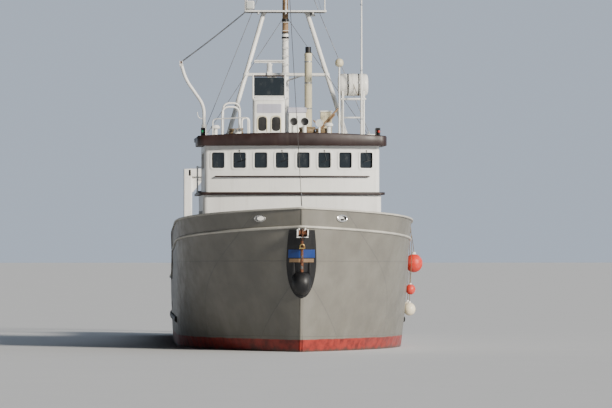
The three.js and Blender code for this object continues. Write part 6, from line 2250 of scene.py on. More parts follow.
        for side in (-1, 1):
            inner, outer = sorted((side * 0.031, side * 0.065))
            hole = ring(0.0257, 0.045, inner, outer, (0, root, z), 0)
            plate = block((inner, outer), (root + 0.035, root + 0.2), (z - 0.05, z + 0.05), 0.006)
            boom.add(GEAR_WHITE, up(hole), up(plate))
        boom.add(GEAR_WHITE, up(rod((0, root + 0.085, z), (0, root + 9.0, z), 0.094, 0.064, 32)))
        for along in (0.25, 2.4, 5.4, 8.4, 8.9):
            radius = 0.095 - 0.03 * along / 9 + 0.004
            band = [(radius - 0.01, -0.04), (radius, -0.035), (radius, 0.035), (radius - 0.01, 0.04)]
            boom.add(GALVANISED, up(lathe(band, (0, root + along, z), 1, 28)))
        for along in (2.4, 5.4, 8.4):
            eye = hoop((0, root + along, z - 0.1), (0, 0.03, 0), (0, 0, 0.03), 0.009, 16)
            boom.add(GALVANISED, up(eye))
        start, end = root + 8.8, root + 9.06
        tip = rounded_outline([(start, z - 0.18), (end, z - 0.18), (end, z), (start, z)], 0.05)
        for side in (-1, 1):
            inner, outer = sorted((side * 0.017, side * 0.025))
            boom.add(GEAR_WHITE, up(slab(tip, inner, outer, Plane.SIDE, 0.002)))
        cheeks, wheel = sheave_block((0, root + 8.95, z - 0.1), 0.075, 0.013)
        boom.add(RUSTY, up(wheel)).add(GALVANISED, *(up(cheek) for cheek in cheeks))
        wire = slack_line((0.012, root + 0.6, z - 0.108), (0.012, root + 8.9, z - 0.108), 0.03, 25)
        boom.add(WIRE, up(tube(wire, 0.007, 6, up=(1, 0, 0))))
        boom.piece("white_paint", ["boom"])


@dataclass
class RoofGear:
    """What stands on the roof: davit, stack, upper helm, raft, antennas, lights and loose gear."""

    davit_foot: Place = (*DAVIT, 7.705)
    stack: tuple[float, float] = (0.72, 10.7)
    raft: Place = (1.75, 10.3, 9.155)
    console: tuple[Span, Span] = ((-1.26, -0.14), (9.7, 10.35))
    davit_head: Place = (-3.76, 10.68, 9.93)
    raft_legs: tuple[Span, float] = ((1.91, 2.64), 0.28)
    dome: tuple[float, float] = (1.75, 9.5)
    whip: tuple[float, float] = (2.52, 9.4)
    searchlight: Place = (0.95, 7.46, 7.74)

    def build(self) -> None:
        """Makes the roof gear's pieces."""
        self.davit()
        self.exhaust()
        self.upper_helm()
        self.life_raft()
        self.antennas()
        self.arches()
        self.side_lights()
        self.loose_gear()

    def davit(self) -> None:
        """Makes the small davit, and the dark wire that holds its head."""
        davit = Shape("davit_arm", "davit")
        x, distance, z = self.davit_foot
        davit.add(GALVANISED, rod((x, distance, 7.412), (x, distance, 7.75), 0.04, None, 24))
        collar = [(0.04, 0.0), (0.095, 0.0), (0.095, 0.03), (0.07, 0.06)]
        davit.add(GEAR_WHITE, lathe(collar, (x, distance, z), 2, 28))
        head = self.davit_head
        line = [(x, distance, z + 0.01), (x, distance, 8.43), (-3.6, 10.7, 9.35), (*head[:2], 9.9)]
        davit.add(GEAR_WHITE, tube(rounded(line, 0.3, 8), 0.058, 18, up=(0, 1, 0)))
        hook = [(x, distance, 7.95), (x - 0.2, distance - 0.02, 8.0), (x - 0.24, distance - 0.04, 8.2)]
        davit.add(GEAR_WHITE, tube(rounded(hook, 0.1, 4), 0.012, 8, up=(0, 1, 0)))
        cheek = rounded_outline([(10.6, 9.8), (10.76, 9.8), (10.76, 10.01), (10.6, 10.01)], 0.06, 5)
        for middle in (head[0] - 0.045, head[0] + 0.045):
            davit.add(GEAR_WHITE, slab(cheek, middle - 0.01, middle + 0.01, Plane.SIDE, 0.003))
        wheel = [(0.0, -0.03), (0.065, -0.03), (0.05, 0.0), (0.065, 0.03), (0.0, 0.03)]
        davit.add(RUSTY, lathe(wheel, head, 0, 24))
        davit.piece("white_paint", ["davit"])
        wire = Shape("davit_topping_wire", "")
        wire.add(BLACK, tube(slack_line((-1.4, 12.2, 11.83), (-3.74, 10.7, 9.97), 0.03, 20), 0.022, 10))
        made = wire.piece("black_fittings")
        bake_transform(made)

    def exhaust(self) -> None:
        """Makes the exhaust stack with its jacket, bands and sooty pipe."""
        x, distance = self.stack
        jacket = [
            (0.16, 7.38), (0.16, 7.52), (0.132, 7.56), (0.132, 10.18), (0.139, 10.2), (0.139, 10.26), (0.11, 10.28),
        ]
        pipe = [(0.105, 10.2), (0.105, 10.5), (0.096, 10.5), (0.096, 10.0), (0.0, 10.0)]
        stack = Shape("exhaust_pipe").add(CREAM, lathe(jacket, (x, distance, 0), 2, 36))
        stack.add(BLACK, lathe(pipe, (x, distance, 0), 2, 32))
        band = [(0.13, 0.0), (0.139, 0.005), (0.139, 0.045), (0.13, 0.05)]
        for z in (8.3, 9.2, 9.95):
            stack.add(GALVANISED, lathe(band, (x, distance, z), 2, 32))
        stack.add(CREAM, block((0.5, 0.94), (10.48, 10.92), (7.37, 7.45), 0.02))
        for side in (-1, 1):
            stack.add(GEAR_WHITE, rod((x, distance, 8.32), (x + side * 0.18, 10.9, 7.42), 0.016, None, 10))
        stack.piece("cream_paint", ["exhaust_stack"])

    def upper_helm(self) -> None:
        """Makes the upper steering place: its cabinet with black plates under its arches that paint the shade of
        recesses, its posts, its dark windscreen and its wheel.
        """
        (low, high), (front, back) = self.console
        middle, depth = (low + high) / 2, (front + back) / 2
        plan = rounded_frame(high - low, back - front, 0.13, 8)
        cabinet = Shape("upper_helm_cabinet")
        cabinet.add(GEAR_WHITE, slab(plan, 7.36, 8.7, Plane.PLAN, 0.06).moved(middle, depth))
        base = rounded_frame(high - low - 0.02, back - front - 0.02, 0.12, 8)
        cabinet.add(MAROON, slab(base, 7.35, 7.46, Plane.PLAN, 0.004).moved(middle, depth))
        # Flat black plates under the cream arches: painted shade of recesses.
        recess_shade = slab(rounded_frame(0.3, 0.5, 0.14, 6), -0.006, 0.0, Plane.FRONT, 0.002)
        arch_line = rounded([(-0.17, 0, -0.29), (-0.17, 0, 0.27), (0.17, 0, 0.27), (0.17, 0, -0.29)], 0.15, 6)
        arch = sweep(arch_line, circle(0.022, 10), up=(0, 1, 0))
        for x in (middle - 0.24, middle + 0.24):
            cabinet.add(BLACK, recess_shade.moved(x, front + 0.004, 7.76)).add(CREAM, arch.moved(x, front, 7.77))
        cloth = slab(rounded_frame(0.86, 0.32, 0.05), -0.012, 0.0, Plane.FRONT, 0.005)
        cabinet.add(CANVAS, cloth.moved(middle, front + 0.004, 8.3))
        cabinet.add(GEAR_WHITE, block((low + 0.02, high - 0.02), (front - 0.02, front + 0.03), (8.56, 8.66), 0.02))
        for x in (low, high):
            cabinet.add(GEAR_WHITE, rod((x, front + 0.06, 8.62), (x, front + 0.06, 9.49), 0.034, None, 18))
            cabinet.add(GEAR_WHITE, ball(0.036, (x, front + 0.06, 9.465), 1.0, 16))
            cabinet.add(GEAR_WHITE, rod((x, front + 0.06, 9.4), (x, back - 0.06, 8.68), 0.018, None, 12))
        cabinet.add(MAROON, rod((low, front + 0.06, 9.44), (high, front + 0.06, 9.44), 0.03, None, 16))
        cabinet.add(GEAR_WHITE, rod((low, front + 0.06, 8.73), (high, front + 0.06, 8.73), 0.022, None, 14))
        hub = np.array([middle, back + 0.012, 8.35])
        cabinet.add(STAINLESS, hoop(hub, (0.19, 0, 0), (0, 0, 0.19), 0.012))
        for spoke in range(3):
            angle = spoke * 2.094 + 0.5
            rim = hub + 0.19 * np.array([math.cos(angle), 0, math.sin(angle)])
            cabinet.add(STAINLESS, rod(hub, rim, 0.008, None, 8))
        cabinet.add(STAINLESS, rod(hub - (0, 0.04, 0), hub + (0, 0.01, 0), 0.03, None, 16))
        screen = slab(rounded_frame(0.36, 0.24, 0.02), 0.0, 0.03, Plane.PLAN, 0.006).turned(0, 25, (0, 0, 0))
        cabinet.add(GLASS, screen.moved(middle, depth + 0.1, 8.72))
        cabinet.piece("white_paint", ["flybridge_console"])
        glass = slab(rounded_frame(1.048, 0.68, 0.02), -0.009, 0.009, Plane.FRONT, 0.002)
        windscreen = Shape("upper_windscreen").add(GLASS, glass.moved(middle, front + 0.06, 9.055))
        windscreen.piece("window_glass", ["flybridge_windscreen"])

    def life_raft(self) -> None:
        """Makes the life raft's canister, and the stand with its cradles."""
        start, distance, z = self.raft
        half = [
            (0.0, 0.0), (0.26, 0.0), (0.33, 0.02), (0.372, 0.06), (0.386, 0.12), (0.388, 0.3), (0.378, 0.31),
            (0.378, 0.36), (0.388, 0.37), (0.388, 0.47), (0.396, 0.48),
        ]
        whole = half + [(radius, 1.05 - along) for radius, along in half[::-1]]
        raft = Shape("raft_canister").add(RAFT_WHITE, lathe(whole, (start, distance, z), 0, 44))
        strap = [(0.38, -0.02), (0.39, -0.018), (0.39, 0.018), (0.38, 0.02)]
        for x in (start + 0.335, start + 0.715):
            raft.add(VINYL, lathe(strap, (x, distance, z), 0, 44))
            raft.add(STAINLESS, block(
                (x - 0.03, x + 0.03), (distance - 0.4, distance - 0.37), (z + 0.02, z + 0.11), 0.004))
        painter = [
            (start + 0.525, distance - 0.396, z), (start + 0.6, distance - 0.41, z - 0.25),
            (start + 0.7, distance - 0.3, z - 0.4),
        ]
        raft.add(ROPE, tube(rounded(painter, 0.1, 5), 0.01, 8))
        raft.piece("white_paint", ["life_raft"])
        stand = Shape("raft_cradle_stand")
        pad = [(0.09, 0.0), (0.09, 0.035), (0.04, 0.04)]
        legs, spread = self.raft_legs
        near, far = distance - spread, distance + spread
        for x in legs:
            for y in (near, far):
                foot = (x, y, roof_at(x) - 0.02)
                stand.add(GEAR_WHITE, rod(foot, (x, y, 8.64), 0.035, None, 16))
                stand.add(GEAR_WHITE, lathe(pad, foot, 2, 20))
            stand.add(GEAR_WHITE, rod((x, near, 7.5), (x, far, 8.55), 0.014, None, 8))
            stand.add(GEAR_WHITE, rod((x, near, 8.0), (x, far, 8.0), 0.02, None, 10))
        for y in (near, far):
            stand.add(GEAR_WHITE, rod((legs[0], y, 8.0), (legs[1], y, 8.0), 0.02, None, 10))
        stand.add(GEAR_WHITE, block((1.83, 2.72), (9.97, 10.63), (8.62, 8.68), 0.012))
        turn = np.radians(np.linspace(-145.6, -34.4, 17))
        arc = np.stack([distance + 0.4 * np.cos(turn), z + 0.4 * np.sin(turn)], axis=1)[::-1]
        cradle = np.concatenate([[(9.97, 8.66), (10.63, 8.66)], arc])
        for x in (1.87, 2.6):
            stand.add(GEAR_WHITE, slab(cradle, x, x + 0.08, Plane.SIDE, 0.004))
        stand.piece("white_paint", ["raft_stand"])

    def antennas(self) -> None:
        """Makes the dome on its pole, and the tall whip on its foot."""
        dome = Shape("dome_and_pole")
        x, distance = self.dome
        foot = float(roof_at(x))
        dome.add(GEAR_WHITE, rod((x, distance, foot - 0.02), (x, distance, 9.8), 0.03, None, 16))
        dome.add(GEAR_WHITE, lathe([(0.1, 0.0), (0.1, 0.02), (0.04, 0.05)], (x, distance, foot - 0.003), 2, 20))
        shell = [
            (0.0, 9.755), (0.06, 9.755), (0.13, 9.8), (0.147, 9.85), (0.149, 9.9), (0.14, 9.96), (0.115, 10.0),
            (0.08, 10.03), (0.04, 10.046), (0.0, 10.049),
        ]
        dome.add(CREAM, lathe(shell, (x, distance, 0), 2, 32))
        dome.piece("cream_paint", ["dome_antenna"])
        whip = Shape("whip_and_foot")
        x, distance = self.whip
        whip.add(GEAR_WHITE, rod((x, distance, roof_at(x) - 0.02), (x, distance, 14.49), 0.04, 0.016, 20))
        band = [(0.034, 0.0), (0.039, 0.006), (0.039, 0.05), (0.034, 0.056)]
        for z in (7.9, 9.6, 11.9):
            whip.add(GALVANISED, lathe(band, (x, distance, z), 2, 20))
        whip.add(GEAR_WHITE, block((2.482, 2.998), (9.342, 9.458), (7.31, 7.4), 0.02))
        whip.piece("white_paint", ["whip_antenna"])

    def arches(self) -> None:
        """Makes the white arched grab rails on the starboard side of the roof."""
        arches = Shape("roof_arches")
        rails = ((9.4, -2.35, -1.75, 8.35), (10.1, -2.3, -1.7, 8.5), (9.0, -1.68, -1.42, 7.95))
        for distance, start, end, top in rails:
            line = [
                (start, distance, roof_at(start) - 0.01), (start, distance, top),
                (end, distance + 0.12, top), (end, distance + 0.12, roof_at(end) - 0.01),
            ]
            arches.add(GEAR_WHITE, tube(rounded(line, 0.26, 8), 0.034, 14, up=(0, 1, 0)))
        arches.add(GEAR_WHITE, rod((-2.35, 9.4, 8.0), (-2.3, 10.1, 8.0), 0.02, None, 10))
        guard = [
            (-2.7, 8.7, roof_at(2.7) - 0.01), (-2.7, 8.7, 7.9), (-1.5, 8.2, 7.95), (-1.5, 8.2, roof_at(1.5) - 0.01),
        ]
        arches.add(GEAR_WHITE, tube(rounded(guard, 0.12, 5), 0.02, 10, up=(0.4, 1, 0)))
        arches.piece("white_paint")

    def side_lights(self) -> None:
        """Makes the side lights in their screens, the horn and the searchlight."""
        for side, finish, name in ((1, SIGNAL_RED, "port"), (-1, SIGNAL_GREEN, "starboard")):
            light = Shape(f"side_light_{name}")
            housing, lens = lamp((3.06 * side, 8.38, 7.47), 0.055, 0.15)
            wall = sorted((side * 2.97, side * 2.985))
            light.add(BLACK, block(wall, (8.25, 9.05), (7.3, 7.6), 0.004)).add(BLACK, housing).add(finish, lens)
            light.add(BLACK, block(sorted((side * 2.98, side * 3.12)), (8.44, 8.455), (7.3, 7.6), 0.004))
            light.add(BLACK, rod((3.06 * side, 8.38, 7.3), (3.06 * side, 8.38, 7.41), 0.02))
            light.piece("black_fittings")
        horn = Shape("horn_and_searchlight")
        for x, long in ((-1.95, 0.42), (-1.82, 0.34)):
            bell = [
                (0.0, long), (0.02, long), (0.022, 0.16), (0.035, 0.06), (0.062, 0.0), (0.055, 0.0), (0.02, 0.1),
                (0.0, 0.1),
            ]
            horn.add(STAINLESS, lathe(bell[::-1], (x, 7.25, roof_at(x) + 0.12), 1, 20).flipped())
        horn.add(GEAR_WHITE, block((-2.02, -1.75), (7.48, 7.54), (roof_at(2.0) - 0.01, roof_at(1.9) + 0.1), 0.008))
        post = self.searchlight[0]
        horn.add(GEAR_WHITE, rod((post, 7.6, 7.38), (post, 7.6, 7.6), 0.035))
        shell = [(0.0, 0.24), (0.08, 0.23), (0.125, 0.16), (0.13, 0.0), (0.12, 0.0)]
        horn.add(GEAR_WHITE, lathe(shell[::-1], self.searchlight, 1, 28).flipped())
        horn.add(LENS, lathe([(0.0, 0.02), (0.12, 0.015)], self.searchlight, 1, 28))
        horn.piece("white_paint")

    def cowl(self, x: float, distance: float, tall: float) -> list[Surface]:
        """Gives a cowl vent: a pipe that bends forward through a quarter circle and widens to a rolled mouth.

        Args:
            x: its place across the ship.
            distance: its place, aft of the stem head.
            tall: the height of the bend's foot above the roof.

        Returns:
            The pipe with its bell, and the roll round the mouth.
        """
        turn = np.linspace(0, np.pi / 2, 10)
        foot = float(roof_at(x))
        reach = 0.13
        top = foot + tall
        bend = np.stack([
            np.full(10, x), distance - reach + reach * np.cos(turn), top + reach * np.sin(turn),
        ], axis=1)
        bell = (x, distance - 0.2, top + reach)
        path = np.concatenate([[(x, distance, foot - 0.02)], bend, [bell]])
        size = np.concatenate([[0.07], np.linspace(0.07, 0.125, 10), [0.145]])
        roll = [(0.13, 0.0), (0.148, 0.0), (0.156, -0.012), (0.148, -0.026), (0.136, -0.02)]
        mouth = lathe(roll[::-1], bell, 1, 28).flipped()
        return [sweep(path, circle(1.0, 24), up=(1, 0, 0), size=size), mouth]

    def cowl_shade_bowl(self, x: float, distance: float, tall: float) -> Surface:
        """Gives a black shallow bowl in a cowl vent's mouth, looking forward: painted shade of the hollow inside."""
        bowl = [(0.0, -0.002), (0.1, -0.003), (0.137, -0.018)]
        return lathe(bowl[::-1], (x, distance - 0.2, roof_at(x) + tall + 0.13), 1, 28)

    def loose_gear(self) -> None:
        """Makes the vents, the lockers, the coils of rope and the spars that lie on the roof."""
        vents = Shape("roof_vents")
        for x in (0.1, 0.48):
            # Each cowl's mouth gets a black bowl: painted shade of its hollow inside.
            vents.add(GEAR_WHITE, *self.cowl(x, 8.5, 0.28)).add(BLACK, self.cowl_shade_bowl(x, 8.5, 0.28))
        for x, distance, tall in ((1.35, 8.9, 0.4), (-2.6, 8.9, 0.36)):
            stem = [
                (0.07, -0.02), (0.07, tall - 0.12), (0.15, tall - 0.11), (0.16, tall - 0.06), (0.11, tall),
                (0.0, tall),
            ]
            vents.add(GEAR_WHITE, lathe(stem, (x, distance, roof_at(x)), 2, 26))
        vents.piece("white_paint")
        locker = Shape("roof_locker")
        locker.add(GEAR_WHITE, block((0.02, 0.62), (10.37, 10.9), (7.37, 8.3), 0.03))
        locker.add(CANVAS, block((-0.01, 0.65), (10.34, 10.93), (8.16, 8.36), 0.03))
        locker.add(GALVANISED, block((0.3, 0.34), (10.355, 10.375), (7.95, 8.05), 0.004))
        locker.add(CREAM, block((1.15, 1.55), (10.57, 10.92), (7.36, 8.2), 0.03))
        locker.add(GEAR_WHITE, block((1.13, 1.57), (10.55, 10.93), (8.2, 8.25), 0.012))
        locker.piece("white_paint")
        coils = Shape("roof_rope_coils")
        for x, distance, radius, rows in ((0.62, 9.35, 0.26, 5), (1.12, 9.15, 0.2, 4), (-1.9, 8.4, 0.22, 4)):
            line = flat_coil(x, distance, roof_at(x) + 0.025, radius, rows, (0.018, 2.3), 0.042)
            coils.strands(ROPE, tube(line, 0.026, 10, up=(0, 0, 1)), len(line), 10, rows * 12.0)
        coils.piece("trawl_twine")
        spars = Shape("roof_spars")
        ends = (
            ((0.95, 9.9, 7.47), (1.75, 10.0, 8.32), 0.032), ((1.02, 9.98, 7.45), (1.62, 9.9, 8.1), 0.029),
            ((1.3, 9.95, 7.44), (0.86, 9.92, 7.9), 0.026),
        )
        for start, end, radius in ends:
            spars.add(TAN, rod(start, end, radius, None, 12))
        spars.add(TAN, block((0.85, 1.75), (9.86, 10.06), (7.36, 7.45), 0.015))
        spars.piece("dark_trim")


# Bow gear.


LINK_BAR = 0.016


def chain(path: ArrayLike) -> Surface:
    """Gives a stud-less chain along a line.

    Args:
        path: the line's points.

    Returns:
        One oval link, (3.1 w cos a, 1.75 w sin a) for a bar of radius w, set at even steps and turned a quarter each
        time.
    """
    line = np.asarray(path, float)
    along = np.concatenate([[0], np.cumsum(np.linalg.norm(np.diff(line, axis=0), axis=1))])
    count = max(2, round(along[-1] / (LINK_BAR * 4.3)))
    where = (np.arange(count) + 0.5) * along[-1] / count
    centre = np.stack([np.interp(where, along, line[:, axis]) for axis in range(3)], axis=1)
    ahead = unit(np.gradient(centre, axis=0))
    side = unit(np.cross(ahead, [0.37, 0.2, 0.9]))
    third = np.cross(ahead, side)
    odd = (np.arange(count) % 2 == 1)[:, None]
    axes = np.stack([ahead, np.where(odd, side, third), np.where(odd, -third, side)], axis=1)
    link = hoop((0, 0, 0), (3.1 * LINK_BAR, 0, 0), (0, 1.75 * LINK_BAR, 0), LINK_BAR, 16, 6)
    points = centre[:, None] + np.einsum("pk,nkj->npj", link.points, axes)
    first = np.arange(count)[:, None, None] * len(link.points)
    faces = [(part[None] + first).reshape(-1, part.shape[1]) for part in link.faces]
    return Surface(points.reshape(-1, 3), faces)


def bow_face(x: Points, z: Points, out: float) -> Points:
    """Gives points on the bow, or a little outside it.

    Args:
        x: the places across, shape (rows, columns).
        z: the height of each row.
        out: how far outside the plating they lie.

    Returns:
        Points of shape (rows, columns, 3). The distance aft is read from the plating's half breadth at that height.
    """
    reach = np.linspace(0, 1, 60) ** 1.6 * 3.2
    skin = on_skin(reach, np.broadcast_to(z, (60, len(z))), out)
    distance = np.stack([
        np.interp(np.abs(row), skin[:, place, 0], skin[:, place, 1]) for place, row in enumerate(x)
    ])
    return np.stack([x, distance, np.broadcast_to(z[:, None], x.shape)], axis=-1)


def bow_plate(low: float, high: float, half: Callable[[Points], Points], out: float, rows: int = 21) -> Surface:
    """Gives a plate that fits the bow.

    Args:
        low: its lowest height.
        high: its highest height.
        half: gives its half width at each height.
        out: how far its face stands outside the plating.
        rows: how many rows it has.

    Returns:
        The face, with a rim that goes back into the plating.
    """
    z = np.linspace(low, high, rows)
    share = np.linspace(-1, 1, 25)
    face = bow_face(half(z)[:, None] * share, z, out)
    back = bow_face(half(z)[:, None] * share, z, -0.02)
    edge = np.concatenate([face[0], face[1:, -1], face[-1, ::-1][1:], face[::-1, 0][1:-1]])
    foot = np.concatenate([back[0], back[1:, -1], back[-1, ::-1][1:], back[::-1, 0][1:-1]])
    return merged(grid(face).flipped(), grid(np.stack([edge, foot]), around=True).flipped()).welded()


@dataclass
class BowGear:
    """The anchor on its pad, the roller, the chain, the windlass and the bitts."""

    pad_z: Span = (1.785, 4.045)
    shank: tuple[Place, ...] = ((0.0, 0.5, 2.35), (0.0, 0.19, 3.7))
    crown: Place = (0.0, 0.56, 2.3)
    roller: Place = (0.0, -0.18, 3.96)
    windlass: Place = (0.0, 3.6, 4.3)
    bitts_out: float = 1.5
    posts: Span = (2.335, 2.665)
    store_hatch: float = 5.0

    def build(self) -> None:
        """Makes the bow gear's pieces."""
        self.pad()
        self.anchor()
        self.roller_and_bracket()
        self.anchor_chain()
        self.windlass_pieces()
        self.bitts()
        self.foredeck_gear()

    def pad_half(self, z: Points) -> Points:
        """Gives the pad's half width: nearly straight sides above, and half an ellipse below.

        Args:
            z: the heights.

        Returns:
            The half width at each height.
        """
        low, high = self.pad_z
        turn = 3.0
        below = 0.495 * np.sqrt(np.clip(1 - ((turn - z) / (turn - low)) ** 2, 0.0004, 1))
        above = 0.495 - 0.07 * np.clip((z - turn) / (high - turn), 0, 1) ** 2
        return np.where(z < turn, below, above)

    def pad(self) -> None:
        """Makes the dark pad round the stem, with its blue band and its strip of timber."""
        low, high = self.pad_z
        pad = Shape("bow_pad").add(BLACK, bow_plate(low, high, self.pad_half, 0.037, 41))
        pad.add(BLUE, bow_plate(3.13, 3.4, lambda z: self.pad_half(z) - 0.05, 0.05, 7))
        pad.add(TAN, bow_plate(2.98, 3.1, lambda z: self.pad_half(z) - 0.09, 0.052, 5))
        pad.piece("black_fittings", ["anchor_pad"], crease=50)

    def anchor(self) -> None:
        """Makes the anchor with its rusty shank, its round crown and its flukes."""
        foot, head = self.shank
        anchor = Shape("stockless_anchor").add(RUSTY, rod(foot, head, 0.058, 0.05, 20))
        turn = np.linspace(-1, 1, 33)
        radius = 0.398 * (1 - np.abs(turn) ** 2.7) ** 0.5
        anchor.add(BLACK, lathe(np.stack([radius, 0.33 * turn], axis=1), self.crown, 0, 48))
        for x in (-0.26, 0.26):
            height = np.linspace(2.35, 2.98, 12)
            line = bow_face(np.broadcast_to(x, (12, 1)).astype(float), height, 0.07)[:, 0]
            size = np.clip(1.15 - (height - 2.35) / 0.66, 0.12, 1) ** 0.7
            fluke = np.stack([0.075 * np.cos(turn * np.pi), 0.032 * np.sin(turn * np.pi)], axis=1)[:-1]
            anchor.add(BLACK, sweep(line, fluke, up=(0, 1, 0), size=size))
        angle = np.linspace(0, 2 * np.pi, 24, endpoint=False)
        eye = np.stack([0.075 * np.cos(angle), 0.13 - 0.02 * np.sin(angle), 3.5 + 0.07 * np.sin(angle)], axis=1)
        anchor.add(BRONZE, sweep(eye, circle(0.022, 10), up=(0, 1, 0), closed=True))
        anchor.add(BRONZE, rod((-0.1, 0.13, 3.44), (0.1, 0.13, 3.44), 0.024, None, 16))
        anchor.piece("black_fittings", ["anchor"], crease=40)

    def roller_and_bracket(self) -> None:
        """Makes the bow roller on its own body, and the white bracket that holds it."""
        _, distance, z = self.roller
        cheek = rounded_outline([(-0.32, 3.86), (0.5, 3.76), (0.5, 4.02), (-0.2, 4.08), (-0.32, 4.06)], 0.05, 4)
        bracket = Shape("roller_bracket").pair(GEAR_WHITE, slab(cheek, 0.15, 0.19, Plane.SIDE, 0.006))
        bracket.add(GEAR_WHITE, block((-0.19, 0.19), (-0.12, 0.4), (3.79, 3.83), 0.006))
        boss = [(0.0, 0.19), (0.045, 0.19), (0.04, 0.205), (0.0, 0.205)]
        bracket.pair(GALVANISED, lathe(boss, (0, distance, z), 0, 20))
        bracket.piece("galvanised_steel", ["bow_roller_bracket"])
        profile = [
            (0.0, -0.148), (0.025, -0.148), (0.025, -0.14), (0.09, -0.139), (0.088, -0.12), (0.064, -0.06),
            (0.058, 0.0), (0.064, 0.06), (0.088, 0.12), (0.09, 0.139), (0.025, 0.14), (0.025, 0.148), (0.0, 0.148),
        ]
        roller = Shape("chain_roller", "bow_roller").add(RUSTY, lathe(profile, self.roller, 0, 36))
        roller.piece("rusty_steel", ["bow_roller"])

    def anchor_chain(self) -> None:
        """Makes the chain from the anchor over the roller and through the bow to the windlass, and its rings, with a
        black disc in the hawse ring as painted shade of the hole.
        """
        _, distance, z = self.roller
        turn = np.radians(np.linspace(200, 80, 9))
        over = np.stack([np.zeros(9), distance + 0.082 * np.cos(turn), z + 0.082 * np.sin(turn)], axis=1)
        outside_line = np.concatenate([[(0, 0.1, 3.72), (0, -0.1, 3.8)], over, [(0, 0.02, 4.06), (0, 0.2, 4.08)]])
        winch_x = 0.125
        lying = [(0.02 + 0.03 * place, place, float(foredeck(place)) + 0.035) for place in (1.15, 2.0, 3.1)]
        over_wheel = [(3.33, 4.26), (3.44, 4.45), (3.6, 4.49), (3.76, 4.42), (3.86, 4.1), (3.98, 3.8)]
        inside_line = [(0, 0.92, 3.98), (0, 0.97, 4.09), *lying, *((winch_x, *place) for place in over_wheel)]
        anchor_chain = Shape("anchor_chain")
        anchor_chain.add(RUSTY, chain(outside_line), chain(rounded(inside_line, 0.2, 5)))
        anchor_chain.add(GEAR_WHITE, hoop((0, 0.115, 4.08), (0.1, 0, 0), (0, 0, 0.085), 0.028, 28, 10))
        # Black disc inside the hawse ring: painted shade of the hole.
        anchor_chain.add(BLACK, lathe([(0.0, 0.0), (0.095, 0.0)], (0, 0.1, 4.08), 1, 24).flipped())
        deck_ring = [(0.075, 0.0), (0.13, 0.0), (0.125, 0.035), (0.095, 0.05), (0.075, 0.035), (0.075, 0.0)]
        for place in ((0.0, 0.92, 4.035), (winch_x, 3.97, 3.825)):
            anchor_chain.add(BLACK, lathe(deck_ring[::-1], place, 2, 28).flipped())
        anchor_chain.piece("rusty_steel")

    def windlass_pieces(self) -> None:
        """Makes the windlass: its frame with its brake handle, and the drum with its chain wheel on its own body."""
        centre = self.windlass
        deck = float(foredeck(centre[1])) - 0.03
        frame_shape = Shape("windlass_bed").add(TOP_GREY, block((-0.52, 0.52), (3.28, 3.92), (deck, 3.93), 0.015))
        cheek = rounded_outline([(3.3, 3.9), (3.9, 3.9), (3.76, 4.39), (3.44, 4.39)], 0.1, 6)
        frame_shape.pair(TOP_GREY, slab(cheek, 0.33, 0.38, Plane.SIDE, 0.006))
        cap = [(0.0, 0.378), (0.08, 0.378), (0.075, 0.395), (0.045, 0.4), (0.0, 0.4)]
        frame_shape.pair(TOP_GREY, lathe(cap, centre, 0, 24))
        frame_shape.pair(GALVANISED, *(
            lathe([(0.022, 0.0), (0.022, 0.028), (0.0, 0.03)], (0.46, d, 3.928), 2, 6) for d in (3.36, 3.6, 3.84)))
        handle = rounded([(0.3, 3.5, 3.93), (0.3, 3.38, 4.2), (0.3, 3.33, 4.36)], 0.1, 4)
        frame_shape.add(GALVANISED, tube(handle, 0.012, 8, up=(1, 0, 0)))
        frame_shape.piece("galvanised_steel", ["windlass_frame"])
        wheel = [
            (0.0, -0.32), (0.225, -0.32), (0.23, -0.31), (0.225, -0.292), (0.132, -0.28), (0.128, -0.1), (0.13, 0.05),
            (0.2, 0.064), (0.255, 0.07), (0.26, 0.085), (0.25, 0.1), (0.165, 0.128), (0.15, 0.15), (0.165, 0.172),
            (0.25, 0.2), (0.26, 0.215), (0.255, 0.23), (0.155, 0.24), (0.15, 0.318), (0.0, 0.32),
        ]
        drum = Shape("windlass_wheel", "windlass_drum").add(RUSTY, lathe(wheel, centre, 0, 48))
        head = [
            (0.038, 0.405), (0.11, 0.41), (0.075, 0.44), (0.07, 0.5), (0.085, 0.56), (0.12, 0.6), (0.12, 0.615),
            (0.0, 0.618),
        ]
        drum.pair(GALVANISED, lathe(head, centre, 0, 36))
        drum.add(GALVANISED, lathe([(0.0375, -0.41), (0.0375, 0.41)], centre, 0, 24))
        rope = coil((-0.25, 0.02), centre, 0.152, 7, 24)
        drum.strands(BLUE_ROPE, tube(rope, 0.022, 10, up=(1, 0, 0)), len(rope), 10, 60.0)
        cog = block((0.12, 0.18), (-0.02, 0.02), (0.15, 0.2), 0.006)
        for place in range(10):
            drum.add(RUSTY, cog.turned(0, 36.0 * place, (0, 0, 0)).moved(0, centre[1], centre[2]))
        drum.piece("rusty_steel", ["windlass_drum"])

    def bitts(self) -> None:
        """Makes the two pairs of bitts, with rope on the port pair."""
        post = [(0.083, -0.02), (0.083, 0.4), (0.1, 0.41), (0.1, 0.43), (0.085, 0.445), (0.0, 0.45)]
        foot = 3.97
        for side, name in ((1, "port"), (-1, "starboard")):
            bitts = Shape(f"mooring_bitts_{name}")
            bitts.add(BLACK, block(sorted((side * 1.36, side * 1.64)), (2.17, 2.83), (3.86, 3.985), 0.02))
            x = self.bitts_out * side
            bitts.add(BLACK, *(lathe(post, (x, distance, foot), 2, 32) for distance in self.posts))
            bitts.add(BLACK, rod(*((x, distance, 4.22) for distance in self.posts), 0.03))
            bitts.piece("black_fittings", [f"bitts_{name}"])
        turn = np.linspace(0, 2 * np.pi * 4, 161)
        eight = np.stack([
            self.bitts_out + 0.1125 * np.sin(2 * turn), sum(self.posts) / 2 + 0.29 * np.cos(turn),
            4.02 + 0.15 * turn / turn[-1] + 0.012 * np.sin(2 * turn),
        ], axis=1)
        rope = Shape("mooring_rope").strands(BLUE_ROPE, tube(eight, 0.02, 8, up=(0, 0, 1)), len(eight), 8, 60.0)
        rope.piece("trawl_twine")

